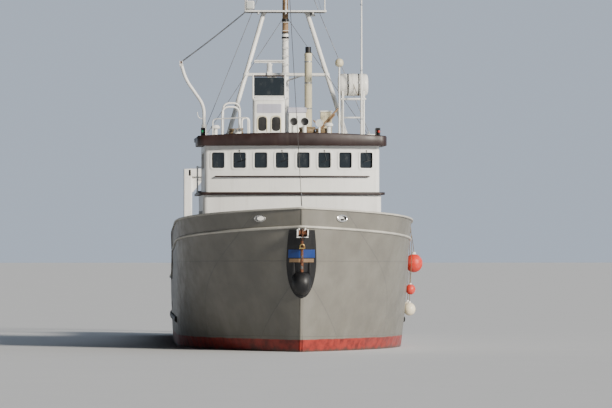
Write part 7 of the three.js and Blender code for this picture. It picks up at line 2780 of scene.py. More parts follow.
    def foredeck_gear(self) -> None:
        """Makes the store hatch and the rope coils on the foredeck."""
        gear = Shape("store_hatch")
        place = (0, self.store_hatch, float(foredeck(self.store_hatch)))
        rim = [(0.36, -0.03), (0.36, 0.03), (0.345, 0.04), (0.325, 0.04), (0.32, 0.03), (0.32, -0.03)]
        gear.add(TOP_GREY, lathe(rim, place, 2, 40))
        lid = [(0.315, -0.03), (0.315, 0.03), (0.3, 0.042), (0.0, 0.048)]
        gear.add(GEAR_WHITE, lathe(lid, place, 2, 40))
        for turn in (0.0, 90.0):
            bar = block((-0.26, 0.26), (-0.02, 0.02), (0.04, 0.06), 0.005).turned(2, turn, (0, 0, 0))
            gear.add(GALVANISED, bar.moved(*place))
        gear.add(GALVANISED, lathe([(0.05, 0.04), (0.05, 0.075), (0.03, 0.085), (0.0, 0.085)], place, 2, 6))
        gear.piece("deck_paint")
        coils = Shape("foredeck_rope_coils")
        for x, distance, radius in ((-1.6, 3.62, 0.28), (1.55, 3.58, 0.3)):
            line = flat_coil(x, distance, float(foredeck(distance)) + 0.025, radius, 5, (0.02, 2.6), 0.042)
            coils.strands(BLUE_ROPE, tube(line, 0.026, 10, up=(0, 0, 1)), len(line), 10, 60.0)
        coils.piece("trawl_twine")


# Deck gear.


def loop_walls(outline: Callable[[float], Points], steps: Sequence[tuple[float, float]]) -> Surface:
    """Gives walls that follow an outline through a section.

    Args:
        outline: gives the outline at a margin, always with as many points.
        steps: the section, as (margin, z) pairs, from the outer foot over the top to the inner foot.

    Returns:
        One ring of points for each step, joined.
    """
    rings = [np.column_stack([outline(margin), np.full(len(outline(margin)), z)]) for margin, z in steps]
    return grid(np.stack(rings), around=True)


@dataclass
class DeckGear:
    """The winches, the hatch, the net reel, the gate, the gantry, the blocks and the trawl doors."""

    winch: Place = (2.2, 15.0, 1.77)
    deck: float = 1.1503
    reel: Place = (0.0, 20.9, 2.4)
    hatch: tuple[Span, Span] = HATCH
    hatch_hinge: tuple[float, float] = (16.86, 1.785)
    gate: tuple[float, float] = GATE
    gantry: tuple[float, Span, float] = (3.2, (24.55, 24.85), 6.4)
    trawl_block: Place = (2.27, 24.7, 5.38)

    def build(self) -> None:
        """Makes the deck gear's pieces."""
        for side, name in ((1, "port"), (-1, "starboard")):
            self.winch_bed(side, name)
            self.winch_drum(side, name)
            self.block_pieces(side, name)
            self.trawl_door(side, name)
        self.coaming()
        self.cover()
        self.reel_frame()
        self.net_reel()
        self.trawl_net()
        self.ramp_gate()
        self.gantry_pieces()
        self.loose_gear()

    def winch_bed(self, side: int, name: str) -> None:
        """Makes a trawl winch's bed with its cheeks, gearbox, motor and brake lever.

        Args:
            side: 1 for port and -1 for starboard.
            name: the side's name.
        """
        x, distance, z = self.winch
        parts = [block((1.44, 3.24), (14.52, 15.48), (self.deck, 1.225), 0.02)]
        cheek = rounded_outline([(14.56, 1.2), (15.44, 1.2), (15.16, 1.89), (14.84, 1.89)], 0.12, 6)
        for inner in (x - 0.71, x + 0.65):
            parts.append(slab(cheek, inner, inner + 0.06, Plane.SIDE, 0.008))
            boss = [(0.046, -0.02), (0.12, -0.02), (0.12, 0.08), (0.046, 0.08)]
            parts.append(lathe(boss, (inner, distance, z), 0, 28))
        parts.append(block((2.915, 3.215), (14.81, 15.19), (1.2, 1.95), 0.05))
        parts.append(rod((3.05, 14.6, 1.5), (3.05, 14.85, 1.5), 0.11, None, 24))
        parts += [block((a, a + 0.05), (14.55, 15.45), (1.22, 1.32), 0.008) for a in (1.62, 2.6)]
        bed = Shape(f"winch_bed_{name}").add(TOP_GREY, *in_turn(side, *parts))
        lever = rounded([(1.56, 14.7, 1.25), (1.56, 14.6, 1.7), (1.56, 14.5, 2.05)], 0.1, 4)
        knob = ball(0.03, (1.56, 14.5, 2.05), 1.0, 14)
        guide = rod((1.6, 15.42, 2.02), (2.84, 15.42, 2.02), 0.022)
        posts = [rod((a, 15.42, 1.2), (a, 15.42, 2.05), 0.025) for a in (1.6, 2.84)]
        bed.add(GALVANISED, *in_turn(side, tube(lever, 0.014, 8, up=(1, 0, 0)), knob, guide, *posts))
        bed.piece("galvanised_steel", [f"winch_frame_{name}"])

    def winch_drum(self, side: int, name: str) -> None:
        """Makes a winch's drum, full of wire, on its own body.

        Args:
            side: 1 for port and -1 for starboard.
            name: the side's name.
        """
        x, distance, z = self.winch
        body = [
            (0.0449, -0.7), (0.0449, -0.632), (0.41, -0.63), (0.42, -0.622), (0.42, -0.608), (0.41, -0.6), (0.3, -0.6),
        ]
        mirrored_body = [(radius, -along) for radius, along in body[::-1]]
        drum = Shape(f"winch_drum_wire_{name}", f"winch_drum_{name}")
        drum.add(RUSTY, *in_turn(side, lathe([*body, *mirrored_body], (x, distance, z), 0, 44)))
        shaft = [(0.0, -0.7), (0.0449, -0.7), (0.0449, 0.715), (0.0, 0.715)]
        drum.add(STAINLESS, *in_turn(side, lathe(shaft, (x, distance, z), 0, 24)))
        along = np.linspace(-0.598, 0.598, 161)
        wraps = 0.372 + 0.011 * np.abs(np.sin(along * np.pi / 0.03)) + 0.01 * np.sin(along * 5)
        wire = lathe(np.stack([wraps, along], axis=1), (x, distance, z), 0, 44)
        drum.add(WIRE, *in_turn(side, wire))
        rib = block((-0.632, -0.624), (-0.025, 0.025), (0.06, 0.4), 0.003)
        ribs = [rib.turned(0, 45.0 * place, (0, 0, 0)).moved(x, distance, z) for place in range(8)]
        drum.add(RUSTY, *in_turn(side, *ribs))
        drum.piece("rusty_steel", [f"winch_drum_{name}"])

    def coaming(self) -> None:
        """Makes the hatch coaming, with its flange, its stays and its hinge lugs."""
        (west, east), (front, back) = self.hatch
        wide, long = east - west, back - front

        def outline(margin: float) -> Points:
            """Gives the coaming's outline, so much outside its opening."""
            return rounded_frame(wide + 2 * margin, long + 2 * margin, 0.06 + margin, 4) + (0, (front + back) / 2)

        steps = [
            (0.05, self.deck - 0.001), (0.05, 1.69), (0.078, 1.7), (0.08, 1.712), (0.08, 1.745), (0.074, 1.7497),
            (0.006, 1.7497), (0.0, 1.745), (0.0, self.deck - 0.01),
        ]
        hatch = Shape("hatch_walls").add(DECK, loop_walls(outline, steps).flipped())
        stay = [(0.995, 1.16), (1.03, 1.16), (1.028, 1.69), (0.995, 1.69)]
        for place in (17.3, 17.95, 18.6):
            hatch.pair(DECK, slab(stay, place, place + 0.015, Plane.FRONT, 0.003))
        axis, height = self.hatch_hinge
        for start in (0.45, 0.61, -0.49, -0.65):
            hatch.add(GALVANISED, ring(0.0125, 0.032, 0.0, 0.04, (start, axis, height), 0))
            hatch.add(GALVANISED, block((start, start + 0.04), (axis - 0.024, axis + 0.024), (1.64, 1.757), 0.004))
            hatch.add(GALVANISED, block((start, start + 0.04), (axis - 0.024, 16.94), (1.64, 1.735), 0.004))
        hatch.piece("deck_paint", ["hatch_coaming"])

    def cover(self) -> None:
        """Makes the hatch cover with its lip, its stiffeners, its grips and its hinge."""
        cover = Shape("hatch_lid", "hatch_cover")
        cover.add(GEAR_WHITE, block((-1.07, 1.07), (16.9, 19.02), (1.755, 1.815), 0.012))
        cover.add(GEAR_WHITE, block((-1.07, 1.07), (18.99, 19.02), (1.69, 1.81), 0.006))
        for start in (0.496, -0.604):
            cover.add(GALVANISED, block((start, start + 0.108), (16.845, 16.95), (1.764, 1.807), 0.008))
            pin = [(end, *self.hatch_hinge) for end in (start - 0.05, start + 0.158)]
            cover.add(GALVANISED, rod(*pin, 0.0118, None, 16))
        for x in (-0.6, 0.6):
            start, end = x - 0.12, x + 0.12
            grip = [(start, 19.015, 1.74), (start, 19.018, 1.72), (end, 19.018, 1.72), (end, 19.015, 1.74)]
            cover.add(GALVANISED, tube(rounded(grip, 0.02, 3), 0.008, 8, up=(0, 1, 0)))
        for a, b in ((-1.0, -0.36), (-0.32, 0.32), (0.36, 1.0)):
            cover.add(GEAR_WHITE, block((a, b), (16.98, 18.94), (1.8105, 1.8148), 0.003))
        cover.piece("white_paint", ["hatch_cover"])

    def reel_frame(self) -> None:
        """Makes the net reel's pedestals, its cross beams and its motor."""
        _, distance, z = self.reel
        foot = self.deck
        stand = Shape("reel_pedestals")
        side_plate = rounded_outline([(20.35, foot), (21.45, foot), (21.08, 2.56), (20.72, 2.56)], 0.07, 6)
        side_plate[:, 1] = np.maximum(side_plate[:, 1], foot)
        posts = []
        bearing = [(0.061, -0.01), (0.17, -0.01), (0.17, 0.11), (0.061, 0.11)]
        for low in (1.655, -1.755):
            stand.add(TOP_GREY, slab(side_plate, low, low + 0.1, Plane.SIDE, 0.01))
            stand.add(TOP_GREY, lathe(bearing, (low, distance, z), 0, 32))
        for low, high in ((20.36, 20.68), (21.37, 21.05)):
            post = [(low, foot), (low + 0.07, foot), (high + 0.07, 2.4), (high, 2.4)]
            posts.append(slab(post, 1.64, 1.77, Plane.SIDE, 0.01))
        stand.pair(TOP_GREY, *posts)
        for start in (20.35, 21.33):
            stand.add(TOP_GREY, block((-1.76, 1.76), (start, start + 0.12), (foot, 1.27), 0.015))
        stand.add(ENGINE, block((1.76, 1.93), (20.7, 21.1), (2.15, 2.62), 0.05))
        motor = [(0.0, 0.0), (0.16, 0.0), (0.16, 0.14), (0.12, 0.16), (0.12, 0.21), (0.0, 0.215)]
        stand.add(ENGINE, lathe(motor, (1.93, distance, z), 0, 28))
        for shift in (-0.05, 0.05):
            hose = [
                (2.05, distance + shift, 2.25), (2.08, distance + shift, 1.7), (1.9, distance + shift * 3, 1.3),
                (1.85, distance + shift * 4, 1.16),
            ]
            stand.add(VINYL, tube(rounded(hose, 0.25, 6), 0.02, 10, up=(0, 1, 0)))
        stand.piece("galvanised_steel", ["net_reel_frame"])

    def net_reel(self) -> None:
        """Makes the net reel's core and flanges, with their rims and ribs."""
        reel = Shape("reel_flanges", "net_reel")
        shaft = [(0.0, -1.688), (0.0598, -1.688), (0.0598, 1.688), (0.0, 1.688)]
        reel.add(STAINLESS, lathe(shaft, self.reel, 0, 28))
        reel.add(GALVANISED, lathe([(0.3, -1.565), (0.3, 1.565)], self.reel, 0, 40))
        for side in (-1, 1):
            low, high = sorted((side * 1.572, side * 1.588))
            plate = [(0.06, low), (0.88, low), (0.88, high), (0.06, high)]
            reel.add(GALVANISED, lathe(plate, self.reel, 0, 56))
            reel.add(GALVANISED, hoop((side * 1.58, *self.reel[1:]), (0, 0.88, 0), (0, 0, 0.88), 0.0195, 56))
            rib = block(sorted((side * 1.586, side * 1.599)), (-0.012, 0.012), (0.1, 0.87), 0.003)
            for place in range(12):
                reel.add(GALVANISED, rib.turned(0, 30.0 * place, (0, 0, 0)).moved(*self.reel))
        reel.piece("galvanised_steel", ["net_reel"])

    def trawl_net(self) -> None:
        """Makes the trawl wound on the reel: lumpy turns of net, ropes round them, and floats among them."""
        _, distance, z = self.reel
        net = Shape("wound_trawl", "net_reel")
        along = np.linspace(-1.552, 1.552, 90)
        size = np.interp(np.abs(along), [0, 0.78, 1.56], [0.71, 0.7, 0.625])
        line = np.stack([along, np.full(90, distance), np.full(90, z)], axis=1)
        surface = sweep(line, circle(1.0, 72), up=(0, 0, 1), size=size)
        angle = np.arctan2(surface.points[:, 2] - z, surface.points[:, 1] - distance)
        place = surface.points[:, 0]
        lumps = (
            0.012 * np.sin(3 * angle + 5 * place) + 0.008 * np.sin(11 * angle - 9 * place)
            + 0.006 * np.sin(23 * place + 4 * angle) - 0.028
        )
        radial = unit(surface.points * (0, 1, 1) - (0, distance, z))
        surface.points = surface.points + radial * lumps[:, None]
        net.strands(NETTING, surface, 90, 72, 1.0)
        for start, end, finish in ((-1.3, -0.8, ROPE), (0.1, 0.55, BLUE_ROPE), (1.05, 1.4, ROPE)):
            middle = (start + end) / 2
            radius = float(np.interp(abs(middle), [0, 0.78, 1.56], [0.68, 0.675, 0.62]))
            rope = coil((start, end), self.reel, radius + 0.012, 9)
            net.strands(finish, tube(rope, 0.016, 8, up=(1, 0, 0)), len(rope), 8, 90.0)
        for place in range(11):
            turn = place * 0.9 + 0.4
            across = -0.62 + 0.12 * place
            spot = (across, distance + 0.655 * math.cos(turn), z + 0.655 * math.sin(turn))
            net.add(CREAM_FENDER if place % 3 else RED_FENDER, ball(0.062, spot, 1.0, 18))
        net.piece("trawl_twine", ["trawl_net"])

    def ramp_gate(self) -> None:
        """Makes the gate at the head of the ramp, with its ribs and its hinge pins."""
        distance, pin = self.gate
        gate = Shape("ramp_gate_leaf", "ramp_gate")
        corners = [(-1.235, pin - 0.018), (1.235, pin - 0.018), (1.235, 2.25), (-1.235, 2.25)]
        plate = rounded_outline(corners, 0.05, 4)
        gate.add(TOP_GREY, slab(plate, distance - 0.018, distance + 0.012, Plane.FRONT, 0.006))
        gate.add(TOP_GREY, *(
            block((x - 0.03, x + 0.03), (distance + 0.005, distance + 0.06), (pin + 0.06, 2.21), 0.008)
            for x in (-0.8, 0.0, 0.8)))
        gate.add(TOP_GREY, rod((-1.2, distance, 2.222), (1.2, distance, 2.222), 0.027, None, 18))
        gate.add(GALVANISED, rod((-1.319, distance, pin), (1.319, distance, pin), 0.0198, None, 18))
        for x in (-1.02, 1.02):
            gate.add(GALVANISED, hoop((x, distance + 0.03, 2.05), (0.045, 0, 0), (0, 0, 0.045), 0.011, 18))
        gate.piece("galvanised_steel", ["ramp_gate"])

    def gantry_pieces(self) -> None:
        """Makes the gantry: legs, beam, braces, hanger plates, ladder, lights and gussets."""
        x, (front, back), top = self.gantry
        middle = (front + back) / 2
        leg = rounded_frame(0.32, back - front, 0.05, 5)
        gantry = Shape("gantry_frame")
        gantry.pair(GEAR_WHITE, slab(leg, self.deck, top - 0.01, Plane.PLAN, 0.02).moved(x, middle))
        beam = rounded_outline([(front, 6.08), (back, 6.08), (back, top), (front, top)], 0.045, 5)
        gantry.add(GEAR_WHITE, slab(beam, -3.19, 3.19, Plane.SIDE, 0.02))
        brace = [(23.7, self.deck), (23.9, self.deck), (24.65, 4.3), (24.5, 4.3)]
        gantry.pair(GEAR_WHITE, slab(brace, x - 0.078, x + 0.078, Plane.SIDE, 0.02))
        knee = [(3.06, 5.45), (3.06, 6.1), (2.5, 6.1)]
        gantry.pair(GEAR_WHITE, slab(knee, middle - 0.015, middle + 0.015, Plane.FRONT, 0.004))
        pad = slab(rounded_frame(0.36, 0.42, 0.05, 4), self.deck, self.deck + 0.03, Plane.PLAN, 0.006)
        gantry.pair(GEAR_WHITE, pad.moved(x - 0.02, middle - 0.02))
        plate = rounded_outline([(24.6, 5.65), (24.8, 5.65), (24.8, 6.12), (24.6, 6.12)], 0.06, 5)
        gantry.pair(GEAR_WHITE, slab(plate, 2.25, 2.29, Plane.SIDE, 0.006))
        for z in (4.5, 4.8, 5.1, 5.4, 5.7):
            rung = [(3.02, front + 0.02, z), (3.02, front - 0.13, z), (3.36, front - 0.13, z), (3.36, front + 0.02, z)]
            gantry.add(GEAR_WHITE, tube(rounded(rung, 0.04, 3), 0.011, 8, up=(0, 0, 1)))
        housing = [(0.0, 0.17), (0.05, 0.17), (0.09, 0.1), (0.1, 0.0), (0.085, 0.0)]
        lamp_body = lathe(housing[::-1], (0, 0, 0), 1, 24).flipped().turned(0, -55, (0, 0, 0))
        lens = lathe([(0.0, 0.012), (0.088, 0.008)], (0, 0, 0), 1, 24).turned(0, -55, (0, 0, 0))
        for place in (-1.2, 0.0, 1.2):
            gantry.add(BLACK, lamp_body.moved(place, front - 0.12, 6.13))
            gantry.add(LENS, lens.moved(place, front - 0.12, 6.13))
            gantry.add(GALVANISED, rod((place, front - 0.11, 6.17), (place, front + 0.02, 6.22), 0.014))
        gantry.piece("white_paint", ["stern_gantry"])

    def block_pieces(self, side: int, name: str) -> None:
        """Makes a trawl block: two cheeks, a sheave, a strap and a shackle.

        Args:
            side: 1 for port and -1 for starboard.
            name: the side's name.
        """
        x, distance, z = self.trawl_block
        wheel = [
            (0.0, -0.045), (0.18, -0.045), (0.185, -0.04), (0.14, 0.0), (0.185, 0.04), (0.18, 0.045), (0.0, 0.045),
        ]
        corners = [(-0.1, -0.14), (0.1, -0.14), (0.14, 0.0), (0.06, 0.26), (-0.06, 0.26), (-0.14, 0.0)]
        cheek = rounded_outline(corners, 0.06, 5) + (distance, z)
        cheeks = [slab(cheek, low, low + 0.014, Plane.SIDE, 0.004) for low in (x - 0.069, x + 0.055)]
        pin = rod((x - 0.07, distance, z), (x + 0.07, distance, z), 0.035, None, 20)
        shackle = rod((x - 0.069, distance, z + 0.22), (x + 0.069, distance, z + 0.22), 0.022)
        hanging = Shape(f"hanging_block_{name}")
        hanging.add(GALVANISED, *in_turn(side, *cheeks, pin))
        hanging.add(RUSTY, *in_turn(side, lathe(wheel, self.trawl_block, 0, 40)))
        hanging.add(GALVANISED, *in_turn(side, shackle))
        hanging.piece("galvanised_steel", [f"trawl_block_{name}"])

    def trawl_door(self, side: int, name: str) -> None:
        """Makes a trawl door: a curved plate with ribs, a shoe, a towing bracket, and hooks over the stern's rail.

        Args:
            side: 1 for port and -1 for starboard.
            name: the side's name.
        """
        share = np.linspace(0, 1, 21)
        x = 1.75 + 1.8 * share
        near = 26.4603 + 0.11 * np.sin(np.pi * share)

        def between(places: Points, first: Points, last: Points) -> Points:
            """Gives the plan outline between two curves."""
            return np.concatenate([np.stack([places, first], axis=1), np.stack([places, last], axis=1)[::-1]])

        parts = [slab(between(x, near, near + 0.045), 1.13, 2.89, Plane.PLAN, 0.008)]
        face = near[1:20] + 0.04
        rib = between(x[1:20], face, np.minimum(face + 0.06, 26.641))
        parts += [slab(rib, z, z + 0.03, Plane.PLAN, 0.004) for z in (1.35, 1.75, 2.2, 2.62)]
        edge = between(x, near, near + 0.06)
        parts += [slab(edge, low, low + 0.06, Plane.PLAN, 0.012) for low in (1.12, 2.84)]
        for start in (1.8, 3.36):
            parts.append(block((start, start + 0.07), (26.195, 26.52), (2.5, 2.553), 0.006))
            parts.append(block((start, start + 0.07), (26.195, 26.233), (2.422, 2.553), 0.006))
        door = Shape(f"trawl_door_plate_{name}").add(RUSTY_DOOR, *in_turn(side, *parts))
        bail = rounded([(2.3, 26.61, 1.6), (2.55, 26.632, 2.0), (2.3, 26.61, 2.45)], 0.12, 5)
        door.add(GALVANISED, *in_turn(side, tube(bail, 0.009, 8, up=(0, 1, 0))))
        door.piece("rusty_steel", [f"trawl_door_{name}"])

    def fish_box(self, x: float, distance: float, low: float) -> list[Surface]:
        """Gives an open fish box: walls that lean out to a rim, and its floor.

        Args:
            x: its middle across the ship.
            distance: its middle, aft of the stem head.
            low: the height of its foot.

        Returns:
            The walls with the rim, and the floor inside and outside.
        """
        def outline(margin: float) -> Points:
            """Gives the box's outline, so much outside its rim's inner edge."""
            return rounded_frame(0.56 + 2 * margin, 0.36 + 2 * margin, 0.05 + margin, 4) + (x, distance)

        steps = [
            (-0.02, low), (0.012, low + 0.185), (0.03, low + 0.188), (0.03, low + 0.212), (0.0, low + 0.215),
            (-0.03, low + 0.02),
        ]
        floors = [
            slab(outline(margin), z, z + 0.004, Plane.PLAN, 0.001)
            for margin, z in ((-0.021, low), (-0.031, low + 0.018))
        ]
        return [loop_walls(outline, steps).flipped(), *floors]

    def loose_gear(self) -> None:
        """Makes two stacks of fish boxes and a spare coil of wire between the hatch and the net reel."""
        row = 19.5
        boxes = Shape("fish_boxes")
        for x, levels in ((-0.82, 3), (-0.12, 2)):
            for level in range(levels):
                boxes.add(CREAM if level % 2 else BLUE, *self.fish_box(x, row, self.deck + 0.2 * level))
        boxes.piece("deck_paint")
        spare = Shape("spare_wire_coil")
        line = flat_coil(0.74, row, self.deck + 0.03, 0.27, 6, (0.02, 2.4), 0.03)
        spare.add(WIRE, tube(line, 0.02, 8, up=(0, 0, 1)))
        spare.piece("black_fittings")


# Under water, fenders and rigging.


@dataclass
class UnderWater:
    """The rudder, the propeller and the engine."""

    blade_z: Span = (-3.1, -1.35)
    stock: tuple[float, float] = (0.0, STOCK)
    hub: Place = (0.0, 22.67, SHAFT_Z)

    def build(self) -> None:
        """Makes the pieces under water and the engine."""
        self.rudder()
        self.propeller()
        self.engine()

    def foil(self) -> Points:
        """Gives the rudder's section, round in front and thin behind.

        Returns:
            (half thickness, distance) points. The half thickness is read between six values, and then each point but
            the outer ones takes the mean of five neighbours.
        """
        chord = (1 - np.cos(np.linspace(0, np.pi, 24))) / 2
        half = np.interp(chord, [0, 0.02, 0.14, 0.3, 0.58, 1], [0, 0.035, 0.07, 0.088, 0.07, 0.012])
        soft = np.convolve(np.pad(half, 2, mode="edge"), np.full(5, 0.2), mode="valid")
        half = np.where((chord > 0.05) & (chord < 0.95), soft, half)
        distance = 23.48 + 1.42 * chord
        return np.concatenate([np.stack([half, distance], axis=1), np.stack([-half, distance], axis=1)[::-1][:-1]])

    def rudder(self) -> None:
        """Makes the rudder's blade, its stock with its flange, and the anodes on its sides."""
        rudder = Shape("rudder_blade", "rudder")
        low, high = self.blade_z
        rudder.add(HULL_GREY, slab(self.foil(), low, high, Plane.PLAN, 0.02))
        axis = (*self.stock, 0)
        stock = [(0.0, -3.258), (0.0745, -3.258), (0.0745, -0.7), (0.0, -0.7)]
        rudder.add(GALVANISED, lathe(stock, axis, 2, 28))
        flange = [(0.07, -1.352), (0.13, -1.352), (0.13, -1.3), (0.09, -1.28), (0.0745, -1.24)]
        rudder.add(GALVANISED, lathe(flange, axis, 2, 28))
        for side in (-1, 1):
            for z in (-2.7, -1.9):
                plate = sorted((side * 0.045, side * 0.082))
                rudder.add(GALVANISED, block(plate, (24.2, 24.5), (z, z + 0.1), 0.01))
        rudder.piece("hull_paint", ["rudder"], crease=28)

    def blade(self) -> Surface:
        """Gives one blade: chords of width w = sqrt(1 - s^6)(0.07 + 0.19 s^0.7), twisted, with s from hub to tip.

        Returns:
            A closed surface whose section is a thin lens: its thickness goes as 2 sqrt(c(1 - c)), c being the share of
            the chord.
        """
        reach = 0.1 + 0.7195 * np.sin(np.linspace(0, np.pi / 2, 22))
        along_blade = (reach - 0.1) / 0.72
        width = np.sqrt(1 - along_blade ** 6) * (0.07 + 0.19 * along_blade ** 0.7)
        lead, trail = -1.15 * width, 0.9 * width
        share = (1 - np.cos(np.linspace(0, np.pi, 9))) / 2
        chord = lead[:, None] + (trail - lead)[:, None] * share
        lens = 2 * np.sqrt(np.maximum(share * (1 - share), 0))
        thick = np.interp(reach, [0.1, 0.82], [0.03, 0.008])[:, None] * lens
        twist = np.radians(np.interp(reach, [0.1, 0.3, 0.82], [52.0, 44.0, 28.0]))[:, None]
        sides = []
        for way in (1, -1):
            across = chord * np.cos(twist) + way * thick * 0.5 * np.sin(twist)
            along = chord * np.sin(twist) - way * thick * 0.5 * np.cos(twist)
            sides.append(np.stack([across, along, np.broadcast_to(reach[:, None], across.shape)], axis=-1))
        loop = np.concatenate([sides[0], sides[1][:, ::-1][:, 1:-1]], axis=1)
        blade = grid(loop, around=True)
        count = loop.shape[1]
        blade.faces += [np.arange(count)[None, ::-1], np.arange(count)[None] + (len(reach) - 1) * count]
        return blade

    def propeller(self) -> None:
        """Makes the propeller with its four twisted blades, its hub, its cone and its shaft."""
        propeller = Shape("screw_propeller", "propeller")
        hub = [
            (0.0, -0.19), (0.148, -0.19), (0.158, -0.15), (0.165, -0.06), (0.16, 0.04), (0.15, 0.118), (0.13, 0.13),
            (0.11, 0.18), (0.07, 0.225), (0.0, 0.24),
        ]
        propeller.add(BRONZE, lathe(hub, self.hub, 1, 36))
        propeller.add(STAINLESS, lathe([(0.0, -0.75), (0.0795, -0.75), (0.0795, -0.18)], self.hub, 1, 28))
        blade = self.blade()
        for quarter in range(4):
            propeller.add(BRONZE, blade.turned(1, 90.0 * quarter, (0, 0, 0)).moved(*self.hub))
        propeller.piece("bronze", ["propeller"], crease=45)

    def engine(self) -> None:
        """Makes the main engine on its bed: block, sump, heads, manifold, flywheel and oil filters."""
        engine = Shape("diesel_engine")
        floor = -1.6997
        engine.add(ENGINE, block((-0.5, 0.5), (11.82, 14.0), (floor + 0.12, floor + 0.24), 0.02))
        engine.add(ENGINE, block((-0.38, 0.38), (11.95, 13.9), (floor + 0.2, floor + 0.95), 0.04))
        for place in range(6):
            start = 12.02 + 0.31 * place
            engine.add(ENGINE, block((-0.24, 0.24), (start, start + 0.28), (floor + 0.94, floor + 1.2), 0.025))
            engine.add(BLACK, rod((0.2, start + 0.14, floor + 1.06), (0.43, start + 0.14, floor + 1.02), 0.045))
        engine.add(BLACK, rod((0.43, 12.0, floor + 1.02), (0.43, 13.95, floor + 1.02), 0.07, None, 20))
        flywheel = [(0.0, 0.0), (0.36, 0.0), (0.37, 0.02), (0.37, 0.12), (0.36, 0.14), (0.0, 0.14)]
        engine.add(RUSTY, lathe(flywheel, (0, 13.9, floor + 0.6), 1, 40))
        engine.add(ENGINE, block((-0.3, 0.3), (14.03, 14.28), (floor + 0.3, floor + 0.85), 0.05))
        oil_filter = [(0.0, 0.0), (0.07, 0.0), (0.075, 0.03), (0.075, 0.26), (0.0, 0.28)]
        engine.add(GEAR_WHITE, *(lathe(oil_filter, (-0.44, d, floor + 0.4), 2, 20) for d in (12.3, 12.55)))
        engine.pair(BLACK, *(block((0.36, 0.5), (d, d + 0.24), (floor, floor + 0.24), 0.02) for d in (12.0, 13.55)))
        engine.piece("engine_paint", ["main_engine"])


@dataclass(frozen=True)
class Ball:
    """A ball fender: the CAD node it stands for, its place, its radius and its finish."""

    node: str
    distance: float
    z: float
    radius: float
    finish: Finish
    slot: str


@dataclass
class Fenders:
    """The four ball fenders on the port side, with their lanyards."""

    sunk: float = 0.044
    balls: tuple[Ball, ...] = (
        Ball("fender_red_large", 7.9, 2.9, 0.3, RED_FENDER, "red_fender"),
        Ball("fender_red_small", 7.3, 2.0, 0.17, RED_FENDER, "red_fender"),
        Ball("fender_cream_forward", 8.3, 1.3, 0.21, CREAM_FENDER, "cream_fender"),
        Ball("fender_cream_aft", 9.3, 1.33, 0.21, CREAM_FENDER, "cream_fender"),
    )

    def build(self) -> None:
        """Makes a piece for each fender."""
        for fender in self.balls:
            self.fender(fender)

    def fender(self, fender: Ball) -> None:
        """Makes one fender: a ball drawn out to a ribbed neck with an eye, and a lanyard up to the rail.

        Args:
            fender: its place, size and finish.
        """
        radius = fender.radius
        skin = skin_point(fender.distance, fender.z)
        centre = np.array([skin[0] + radius - self.sunk, fender.distance, fender.z])
        turn = np.linspace(-np.pi / 2, np.pi * 0.4, 22)
        profile = np.stack([radius * np.cos(turn), 1.07 * radius * np.sin(turn)], axis=1)
        shape = Shape(f"{fender.node}_ball")
        shape.add(fender.finish, lathe(profile, centre, 2, 36))
        neck = radius * np.array([
            (0.31, 1.01), (0.2, 1.1), (0.205, 1.14), (0.19, 1.16), (0.205, 1.2), (0.19, 1.23), (0.2, 1.27),
            (0.13, 1.295), (0.0, 1.297),
        ])
        shape.add(RAFT_WHITE, lathe(neck, centre, 2, 24))
        head = centre + (0, 0, 1.22 * radius)
        rail = skin_point(fender.distance, 4.1, 0.075)
        middle = (head + rail) / 2 + (0.03, 0, 0)
        line = rounded([head, middle, rail, rail + (-0.02, 0.0, 0.12)], 0.3, 6)
        shape.strands(ROPE, tube(line, 0.011, 8, up=(0, 1, 0)), len(line), 8, 40.0)
        shape.piece(fender.slot, [fender.node])


@dataclass
class Rigging:
    """The wires that stay the mast and lead from the winches to the trawl doors."""

    shrouds: tuple[tuple[Place, Place], ...] = (
        ((0.06, 12.66, 14.6), (3.0, 11.7, 7.33)), ((0.08, 12.66, 11.6), (2.9, 10.9, 7.34)),
    )
    forestay: tuple[Place, Place] = ((0.0, 12.6, 14.95), (0.0, 0.42, 4.86))

    def build(self) -> None:
        """Makes the stays, the trawl warps and the halyards."""
        stays = Shape("mast_stays")
        for top, foot in self.shrouds:
            stays.pair(WIRE, rod(top, foot, 0.009, None, 8))
            stays.pair(GALVANISED, rod(np.array(foot) + (np.array(top) - foot) * 0.03, foot, 0.022, None, 10))
        stays.add(WIRE, rod(*self.forestay, 0.01, None, 8))
        stays.add(GALVANISED, rod((0.0, 0.42, 4.84), (0.0, 0.95, 5.28), 0.02, None, 10))
        stays.pair(WIRE, rod((0.58, 12.7, 14.28), (1.3, 12.9, 11.9), 0.005, None, 6))
        stays.piece("black_fittings")
        warps = Shape("trawl_warps")
        warps.pair(WIRE, tube(slack_line((2.2, 14.86, 2.155), (2.27, 24.66, 5.53), 0.12, 30), 0.012, 8))
        warps.pair(WIRE, rod((2.27, 24.86, 5.3), (2.62, 26.36, 2.72), 0.012, None, 8))
        warps.piece("black_fittings")


# Studio.


